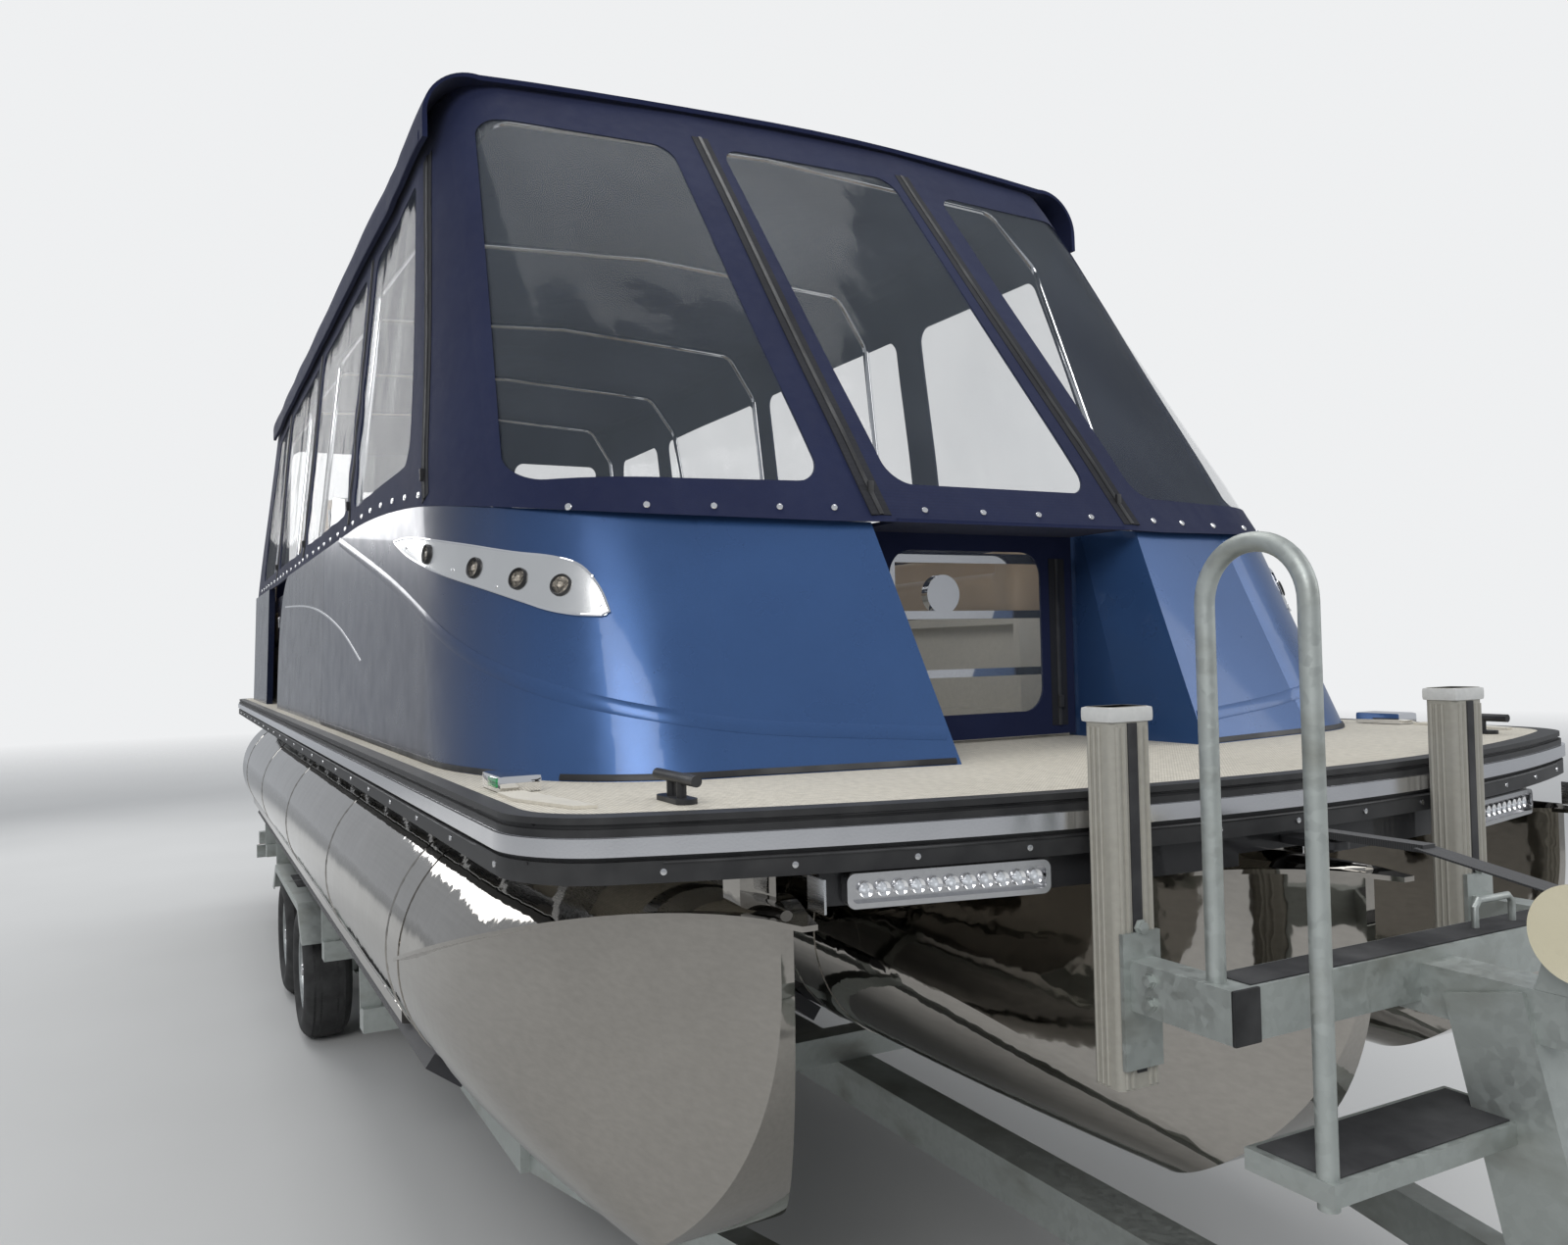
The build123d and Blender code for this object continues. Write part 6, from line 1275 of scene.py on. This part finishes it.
@dataclass
class HullTrim:
    """Rub-rail screws and beads, light-bar lamps, corner lamps and pads, log seams and strakes."""

    screw_height: float = DECK - 0.08
    screw: tuple[Pair, ...] = ((0.0055, 0.0), (0.005, 0.0022), (0.0, 0.003))
    bead_heights: Pair = (DECK - 0.067, DECK - 0.012)
    bead_radius: float = 0.0022
    lamp_height: float = DECK - 0.123
    lamp_count: int = 11
    lamp_first: float = 0.545
    lamp_pitch: float = 0.027
    reflector: tuple[Pair, ...] = ((0.0125, 0.0), (0.0115, 0.008), (0.006, 0.004), (0.0, 0.0035))
    bulb: tuple[Pair, ...] = ((0.006, 0.004), (0.005, 0.008), (0.0, 0.0095))
    pad: tuple[Pair, ...] = ((-0.57, 1.235), (-0.47, 1.235), (-0.31, 1.185), (-0.30, 1.15), (-0.57, 1.19))
    logs: tuple[tuple[str, float, float], ...] = (
        ("log_starboard", -0.95, 0.0), ("log_centre", 0.0, 0.23), ("log_port", 0.95, 0.0))
    log_radius: float = 0.32
    log_axis: float = 0.945
    seams: tuple[float, ...] = (1.62, 0.45, -0.95, -2.35, -3.6)
    strake_turn: float = 2.25
    strake_ends: Pair = (1.5, -3.9)

    def rail(self, height: float, front: int, fore: float, flank: int) -> list[list[Hit]]:
        """Return points round the rub rail.

        Args:
            height: Their height.
            front: How many lie on the bow edge.
            fore: Where the sides' points start, behind the bow.
            flank: How many lie on each side.

        Returns:
            The points of the bow, starboard and port edges.
        """
        skin = skin_of("rub_rail")
        runs = [[from_bow(y, height, 1.0) for y in steps(-1.1, 1.1, front)]]
        runs += [[from_side(side, x, height) for x in steps(BOW - fore, STERN + 0.1, flank)]
                 for side in SIDES]
        return [skin.line(rays) for rays in runs]

    def screws(self) -> None:
        """Drive screws along the rail's lower band."""
        shape = Shape()
        for run in self.rail(self.screw_height, 13, 0.4, 23):
            for place, normal in run:
                shape.lathe(place, normal, self.screw, STAINLESS, 10)
        shape.done("rail_screws")

    def beads(self) -> None:
        """Run soft black beads round the rail and set the brackets over the log noses."""
        shape = Shape()
        for height in self.bead_heights:
            front, *flanks = self.rail(height, 24, 0.3, 30)
            for run in (*flanks, front):
                line = [place + normal * 0.0004 for place, normal in run]
                shape.tube(line, self.bead_radius, BLACK_PLASTIC, 6)
        for _, y, lead in self.logs:
            at = (BOW - 0.1 + (0.04 if lead else 0.0), y + 0.05, DECK - 0.1205)
            shape.block(at, (0.05, 0.004, 0.05), SATIN, 0.001)
        shape.done("rail_beads_and_brackets")

    def bars(self) -> None:
        """Fill the two light bars with rows of lamps."""
        shape = Shape()
        places = [side * (self.lamp_first + self.lamp_pitch * i)
                  for side in SIDES for i in range(self.lamp_count)]
        rays = [from_bow(y, self.lamp_height, 0.6) for y in places]
        for place, normal in skin_of("light_bars").line(rays):
            shape.lathe(place, normal, self.reflector, CHROME, 16)
            shape.lathe(place, normal, self.bulb, CLEAR_LENS, 12)
        shape.done("light_bar_lamps")

    def corners(self) -> None:
        """Add the corner lamps and the pale non-skid corner pads."""
        shape = Shape()
        for side in SIDES:
            low = [Vector((BOW + x - 0.03, side * y, DECK + 0.0003)) for x, y in self.pad]
            shape.rings([low, [point + Vector((0.0, 0.0, 0.005)) for point in low]], CREAM_PLASTIC)
            x, y, z = BOW - 0.68, side * 1.19, DECK + 0.015
            shape.block((x, y, z), (0.13, 0.075, 0.03), CHROME, 0.009)
            shape.block((x + 0.02, y + side * 0.03, z + 0.002), (0.06, 0.02, 0.018),
                        RED_LENS if side > 0 else GREEN_LENS, 0.004)
        shape.done("corner_lamps_and_pads")

    def seamed_logs(self) -> None:
        """Add weld beads round the logs and lifting strakes along them."""
        shape = Shape()
        for node, y, lead in self.logs:
            skin = skin_of(node)
            for back in self.seams:
                ring = []
                centre = Vector((back + lead, y, self.log_axis))
                for k in range(49):
                    out = self.out(math.tau * k / 48.0)
                    found = skin.hit(centre + out * 0.6, -out)
                    if found and abs((found[0] - centre).length - self.log_radius) < 0.006:
                        ring.append((centre + out * self.log_radius, out))
                if len(ring) > 8:
                    shape.band(ring, 0.012, 0.0004, MIRROR, 0.0022)
            for out in (self.out(self.strake_turn), self.out(-self.strake_turn)):
                start, end = (Vector((x, y, self.log_axis)) + out * self.log_radius
                              for x in (self.strake_ends[0] + lead, self.strake_ends[1]))
                line = [(start + (end - start) * i / 12.0, out) for i in range(13)]
                shape.band(line, 0.05, 0.0015, MIRROR, 0.02)
        shape.done("log_seams")

    def out(self, turn: float) -> Vector:
        """Return the direction out of a log at a turn from its top."""
        return Vector((0.0, math.sin(turn), math.cos(turn)))

    def build(self) -> None:
        """Build the hull's trim."""
        self.screws()
        self.beads()
        self.bars()
        self.corners()
        self.seamed_logs()


@dataclass
class TrailerTrim:
    """Ribbed post covers, grip pads, end caps, bolts and lamps on the trailer."""

    rib_pitch: float = 0.011
    rib_radius: float = 0.0034
    post_faces: Pair = (0.379, 0.461)
    post_bolts: Pair = (DECK - 0.2, DECK - 0.3)
    bar_top: float = DECK - 0.247
    bar_x: float = BOW + 0.202
    bar_half: float = 0.42
    step_pad: Point = (BOW + 0.315, -0.2175, DECK - 0.4558)
    handle: tuple[Pair, ...] = (
        (0.16, -0.004), (0.16, 0.035), (0.17, 0.045), (0.25, 0.045), (0.26, 0.035), (0.26, -0.004))
    rail_y: float = 0.94
    rail_top: float = 0.545
    strap_heights: Pair = (0.25, 0.338)
    lens_pitch: float = 0.048
    cross_members: tuple[float, ...] = (1.56, 2.55, 3.56, 5.62, 6.4, 6.99)
    nut: tuple[Pair, ...] = ((0.016, 0.0), (0.016, 0.003), (0.012, 0.0031), (0.012, 0.013), (0.006, 0.0132),
                             (0.006, 0.02), (0.0, 0.0205))

    def posts(self) -> None:
        """Rib the guide posts' covers, cap them and show the dark core between the halves."""
        shape = Shape()
        low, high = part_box("guide_posts")
        depth, tall = high.x - low.x, high.z - low.z
        for side in SIDES:
            inner, outer = (face * side for face in self.post_faces)
            centre = (inner + outer) / 2.0
            count = int((depth - 0.02) / self.rib_pitch)
            ribs = [(low.x + 0.013 + self.rib_pitch * i, y) for i in range(count) for y in (inner, outer)]
            fronts = [inner + (outer - inner) * (0.14 + 0.144 * i) for i in range(6)]
            ribs += [(high.x, y) for y in fronts if abs(y - centre) > 0.012]
            for x, y in ribs:
                shape.tube([(x, y, low.z + 0.004), (x, y, high.z - 0.03)], self.rib_radius, POST_PLASTIC, 6)
            core = (high.x + 0.0006, centre, (high.z + low.z) / 2.0)
            shape.block(core, (0.003, 0.019, tall - 0.05), GRIP, 0.0005)
            cap = ((low.x + high.x) / 2.0, centre, high.z - 0.012)
            shape.block(cap, (depth + 0.006, 0.088, 0.024), POST_WHITE, 0.007)
            for z in self.post_bolts:
                shape.bolt((high.x + 0.006, centre, z), (1.0, 0.0, 0.0), (0.013, 0.002), (0.0095, 0.009))
        shape.done("post_covers")

    def grips(self) -> None:
        """Lay grip tape on the crossbar and step, cap the bar ends and add the small handle."""
        shape = Shape()
        shape.block((self.bar_x, 0.0, self.bar_top + 0.0012), (0.064, 0.80, 0.002), GRIP, 0.0005)
        shape.block(self.step_pad, (0.12, 0.41, 0.002), GRIP, 0.0005)
        for side in SIDES:
            end = (self.bar_x + 0.0415, side * self.bar_half, self.bar_top - 0.0375)
            shape.block(end, (0.006, 0.052, 0.077), BLACK_PLASTIC, 0.003)
        shape.tube([(self.bar_x, y, self.bar_top + z) for y, z in self.handle], 0.006, ZINC, 10)
        for side in SIDES:
            for drop in (0.02, 0.055):
                foot = (BOW + 0.09, side * (self.bar_half + 0.025), self.bar_top - drop)
                shape.bolt(foot, (0.0, side, 0.0), (0.012, 0.0025), (0.009, 0.01))
        shape.done("bow_stop_trim")

    def frame_bolts(self) -> None:
        """Bolt the cross-members to the rails, and strap the springs to the axles."""
        shape = Shape()
        low, high = self.strap_heights
        for back in self.cross_members:
            for side in SIDES:
                for shift in (-0.018, 0.018):
                    foot = (BOW - back, side * (self.rail_y + shift), self.rail_top)
                    shape.lathe(foot, UP, self.nut, ZINC, 6)
        for back in AXLES.values():
            for side in SIDES:
                inner, outer = (side * (self.rail_y + shift) for shift in (-0.035, 0.035))
                for x in (BOW - back - 0.04, BOW - back + 0.04):
                    path = [(x, inner, low), (x, inner, high), (x, outer, high), (x, outer, low)]
                    shape.tube(path, 0.006, ZINC, 8)
                shape.block((BOW - back, side * self.rail_y, 0.2585), (0.12, 0.1, 0.012), ZINC, 0.002)
        shape.done("frame_bolts")

    def guards(self) -> None:
        """Add step pads and stiffening beads to the mudguards and lens bars to the tail lights."""
        shape = Shape()
        skin = skin_of("mudguards")
        low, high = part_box("tail_lights")
        middle = sum(AXLES.values()) / 2.0
        for side in SIDES:
            for back in (AXLES["front"] - 0.4, middle, AXLES["rear"] + 0.4):
                rays = [from_above(BOW - back, side * y, 1.0) for y in steps(1.03, 1.22, 6)]
                shape.band(skin.line(rays), 0.012, 0.0004, ZINC, 0.004)
            shape.block((BOW - middle, side * 1.125, 0.6135), (0.34, 0.15, 0.003), GRIP, 0.0006)
            for k, finish in enumerate((RED_LENS, AMBER_LENS, CLEAR_LENS)):
                centre = (low.x - 0.003, side * (1.06 + self.lens_pitch * k), (low.z + high.z) / 2.0)
                shape.block(centre, (0.006, 0.044, 0.066), finish, 0.002)
        shape.done("guard_pads_and_lenses")

    def build(self) -> None:
        """Build the trailer's trim."""
        self.posts()
        self.grips()
        self.frame_bolts()
        self.guards()


@dataclass
class Wheels:
    """Tyre tread, wheel nuts, dust caps and valves."""

    radius: float = 0.29
    track: float = 1.125
    blocks: int = 54
    rows: tuple[Pair, ...] = ((-0.052, 0.022), (-0.026, 0.02), (0.0, 0.02), (0.026, 0.02), (0.052, 0.022))
    nut_circle: float = 0.057
    nut_count: int = 5
    valve_circle: float = 0.132
    tread_depth: float = 0.006
    nut: tuple[Pair, ...] = ((0.011, -0.004), (0.011, 0.014), (0.007, 0.019), (0.0, 0.02))
    cap: tuple[Pair, ...] = ((0.026, 0.0), (0.026, 0.018), (0.022, 0.026), (0.0, 0.028))
    valve: tuple[Pair, ...] = ((0.004, -0.004), (0.004, 0.022), (0.0, 0.024))

    def wheel(self, name: str, x: float, side: float) -> None:
        """Dress one wheel.

        Args:
            name: The wheel's node and body.
            x: Its axle's place along the boat.
            side: -1 for starboard, 1 for port.
        """
        shape = Shape()
        centre = Vector((x, side * self.track, self.radius))
        outward = (0.0, side, 0.0)
        for row, (shift, width) in enumerate(self.rows):
            drop = self.tread_depth * (shift / 0.06) ** 2
            for k in range(self.blocks):
                angle = math.tau * (k + 0.5 * (row % 2)) / self.blocks
                out = Vector((math.cos(angle), 0.0, math.sin(angle)))
                place = centre + out * (self.radius - drop - 0.0035) + Vector((0.0, shift, 0.0))
                if place.z >= 0.0045:
                    size = (self.tread_depth, width, 0.029)
                    shape.block(place, size, TYRE, turn=Matrix.Rotation(-angle, 3, "Y"))
        for k in range(self.nut_count):
            angle = math.tau * k / self.nut_count
            nut = Vector((math.cos(angle) * self.nut_circle, side * 0.029, math.sin(angle) * self.nut_circle))
            shape.lathe(centre + nut, outward, self.nut, CHROME, 6)
        shape.lathe(centre + Vector((0.0, side * 0.058, 0.0)), outward, self.cap, STAINLESS, 20)
        valve = centre + Vector((self.valve_circle, side * 0.03, 0.0))
        shape.lathe(valve, (0.25, side, 0.0), self.valve, BLACK_PLASTIC, 8)
        shape.done(name + "_tread", name)

    def build(self) -> None:
        """Dress all four wheels."""
        for row, back in AXLES.items():
            for name, side in zip(("starboard", "port"), SIDES):
                self.wheel(f"wheel_{row}_{name}", BOW - back, side)


@dataclass
class Helm:
    """Gauges, display, wind screen and throttle of the helm console."""

    gauge: tuple[Pair, ...] = ((0.044, 0.0), (0.044, 0.008), (0.038, 0.01), (0.037, 0.006), (0.0, 0.006))
    hub: tuple[Pair, ...] = ((0.03, -0.01), (0.03, 0.025), (0.0, 0.03))
    half_foot: float = 0.27
    half_head: float = 0.24
    tall: float = 0.17
    lean: float = 0.07
    glass: float = 0.004
    bow_back: float = 0.09
    display: Point = (0.02, 0.2, 0.12)
    dash: tuple[Pair, ...] = ((-0.2, 0.12), (0.2, 0.12), (0.0, 0.08))

    def screen(self, shape: Shape, front: float, middle: float, top: float) -> None:
        """Stand the curved, leaning screen on the console.

        Args:
            shape: The mesh to add to.
            front: Where its foot stands, at its middle.
            middle: The console's middle across the boat.
            top: Height of the console's top.
        """
        rings = []
        for k in range(15):
            t = -1.0 + k / 7.0
            x = front - self.bow_back * t * t
            foot, head = middle + self.half_foot * t, middle + self.half_head * t
            rings.append([Vector((x, foot, top - 0.005)), Vector((x + self.glass, foot, top - 0.005)),
                          Vector((x - self.lean + self.glass, head, top + self.tall)),
                          Vector((x - self.lean, head, top + self.tall))])
        shape.rings(rings, TINTED)

    def build(self) -> None:
        """Build the helm's fittings on the console."""
        shape = Shape()
        skin = skin_of("helm_console")
        low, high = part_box("helm_console")
        middle = (low.y + high.y) / 2.0
        dash = [((low.x - 0.5, middle + shift, high.z - drop), (1.0, 0.0, -0.1))
                for shift, drop in self.dash]
        for place, normal in skin.line(dash[:2]):
            shape.lathe(place, normal, self.gauge, CHROME, 24)
        for place, _ in skin.line(dash[2:]):
            shape.block(place, self.display, BLACK_PLASTIC, 0.006)
        for place, _ in skin.line([from_above((low.x + high.x) / 2.0, middle, high.z + 0.5)]):
            self.screen(shape, high.x - 0.05, middle, place.z)
        x, y, z = low.x + 0.12, low.y + 0.03, high.z - 0.18
        shape.lathe((x, y, z), (0.0, -1.0, 0.0), self.hub, BLACK_PLASTIC, 20)
        shape.tube([(x, y - 0.02, z), (x + 0.02, y - 0.03, z + 0.14)], 0.007, CHROME, 10)
        shape.done("helm_fittings")


@dataclass
class Motor:
    """Cowl bands, vents and leg plates of the outboard."""

    bands: tuple[tuple[float, float, Finish], ...] = (
        (0.14, 0.016, STAINLESS), (0.155, 0.006, BLACK_PLASTIC), (0.36, 0.005, CHROME))
    band_steps: int = 64
    vents: int = 5
    vent_pitch: float = 0.03
    vent: Point = (0.009, 0.008, 0.07)
    leg_plate: Point = (0.06, 0.004, 0.05)

    def build(self) -> None:
        """Build the outboard's trim, which rides on the motor."""
        cowl = skin_of("motor_cowl")
        low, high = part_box("motor_cowl")
        middle = ((low + high) / 2.0).x
        shape = Shape()
        turns = [math.tau * k / self.band_steps for k in range(self.band_steps + 1)]
        outs = [Vector((math.cos(turn), math.sin(turn), 0.0)) for turn in turns]
        for height, width, finish in self.bands:
            core = Vector((middle, 0.0, low.z + height))
            shape.band(cowl.line((core + out * 0.8, -out) for out in outs), width, 0.001, finish, 0.002)
        for side in SIDES:
            rays = [((middle - 0.12 + self.vent_pitch * i, side, low.z + 0.26), (0.0, -side, 0.0))
                    for i in range(self.vents)]
            for place, _ in cowl.line(rays):
                shape.block(place, self.vent, BLACK_PLASTIC, 0.002)
        shape.done("cowl_trim", "motor")
        leg = Shape()
        low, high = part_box("motor_leg")
        for side in SIDES:
            leg.block((high.x - 0.2, side * 0.006, low.z + 0.06), self.leg_plate, STAINLESS, 0.002)
        leg.done("leg_plates", "motor")


@dataclass
class Studio:
    """Pale floor, soft lamps and the camera at the photograph's place."""

    yaw: float = 27.7025
    pitch: float = -1.3775
    roll: float = -1.3375
    focal: float = 1209.4
    image_width: int = 1600
    sensor: float = 36.0
    floor: Colour = (0.62, 0.62, 0.61)
    floor_half: float = 60.0
    floor_fade: Pair = (9.0, 26.0)

    def camera(self) -> None:
        """Place the camera."""
        data = bpy.data.cameras.new("camera")
        data.sensor_width = self.sensor
        data.lens = self.sensor * self.focal / self.image_width
        data.clip_end = 200.0
        yaw, pitch, roll = (math.radians(angle) for angle in (self.yaw, self.pitch, self.roll))
        ahead = Vector((-math.cos(yaw) * math.cos(pitch), math.sin(yaw) * math.cos(pitch), -math.sin(pitch)))
        right = ahead.cross(Vector(UP)).normalized()
        up = right.cross(ahead)
        turned = (right * math.cos(roll) + up * math.sin(roll),
                  up * math.cos(roll) - right * math.sin(roll), -ahead)
        camera = bpy.data.objects.new("camera", data)
        camera.matrix_world = Matrix.Translation(EYE) @ Matrix(turned).transposed().to_4x4()
        bpy.context.scene.collection.objects.link(camera)
        bpy.context.scene.camera = camera

    def ground(self) -> None:
        """Lay the pale floor, which fades out far from the boat."""
        mesh = bpy.data.meshes.new("floor")
        size = self.floor_half
        corners = [(-size, -size, 0), (size, -size, 0), (size, size, 0), (-size, size, 0)]
        mesh.from_pydata(corners, [], [(0, 1, 2, 3)])
        floor = bpy.data.objects.new("floor", mesh)
        bpy.context.scene.collection.objects.link(floor)
        g = Graph("studio_floor")
        mottle = g.ramp(g.noise(0.8), (0.3, self.floor), (0.7, tone(self.floor, 1.04)))
        reach = g.span(g.reach(g.axis(Direction.X), g.axis(Direction.Y)), *self.floor_fade)
        fade = g.ramp(reach, (0.0, 1.0), (1.0, 0.0))
        g.shade(Base_Color=mottle, Roughness=0.85, Specular_IOR_Level=0.2, Alpha=fade)
        mesh.materials.append(g.material)

    def world(self) -> None:
        """Light the scene from all round, with a pale backdrop for the camera and through glass."""
        world = bpy.data.worlds.new("studio")
        bpy.context.scene.world = world
        world.use_nodes = True
        nodes, join = world.node_tree.nodes, world.node_tree.links.new
        light, backdrop = nodes["Background"], nodes.new("ShaderNodeBackground")
        lights = ((light, (0.9, 0.94, 1.0, 1.0), 0.5), (backdrop, (0.86, 0.87, 0.88, 1.0), 1.0))
        for node, colour, strength in lights:
            node.inputs["Color"].default_value = colour
            node.inputs["Strength"].default_value = strength
        path, seen, mix = (nodes.new("ShaderNode" + kind) for kind in ("LightPath", "Math", "MixShader"))
        seen.operation = "MAXIMUM"
        for i, kind in enumerate(("Is Camera Ray", "Is Transmission Ray")):
            join(path.outputs[kind], seen.inputs[i])
        for i, source in enumerate((seen, light, backdrop)):
            join(source.outputs[0], mix.inputs[i])
        join(mix.outputs[0], nodes["World Output"].inputs["Surface"])

    def lamp(self, name: str, at: Point, aim: Point, size: float, power: float) -> None:
        """Hang one soft area lamp.

        Args:
            name: The lamp's name.
            at: Where it hangs.
            aim: The point that it faces.
            size: Its side in metres.
            power: Its power in watts.
        """
        data = bpy.data.lights.new(name, "AREA")
        data.size = size
        data.energy = power
        lamp = bpy.data.objects.new(name, data)
        lamp.location = at
        lamp.rotation_euler = (Vector(aim) - Vector(at)).to_track_quat("-Z", "Y").to_euler()
        bpy.context.scene.collection.objects.link(lamp)

    def build(self) -> None:
        """Build the whole studio."""
        bpy.context.scene.view_settings.view_transform = "Standard"
        self.camera()
        self.ground()
        self.world()
        self.lamp("key", (BOW + 4.5, -5.5, 6.5), (1.0, 0.0, 1.4), 4.0, 330.0)
        self.lamp("fill", (BOW + 3.0, 6.5, 5.0), (1.0, 0.0, 1.4), 5.0, 150.0)
        self.lamp("top", (-1.0, 0.0, 8.0), (-1.0, 0.0, 1.0), 6.0, 300.0)
        self.lamp("stern_lamp", (STERN - 5.0, -3.0, 5.0), (-2.0, 0.0, 1.4), 4.0, 170.0)


def main() -> None:
    """Build every sub-assembly in order."""
    logging.basicConfig(level=logging.INFO, format="%(message)s")
    Studio().build()
    dress_nodes()
    for part in (Enclosure, Upholstery, FenceTrim, HullTrim, TrailerTrim, Wheels, Helm, Motor):
        LOG.info("building %s", part.__name__)
        part().build()


if __name__ == "__main__":
    main()
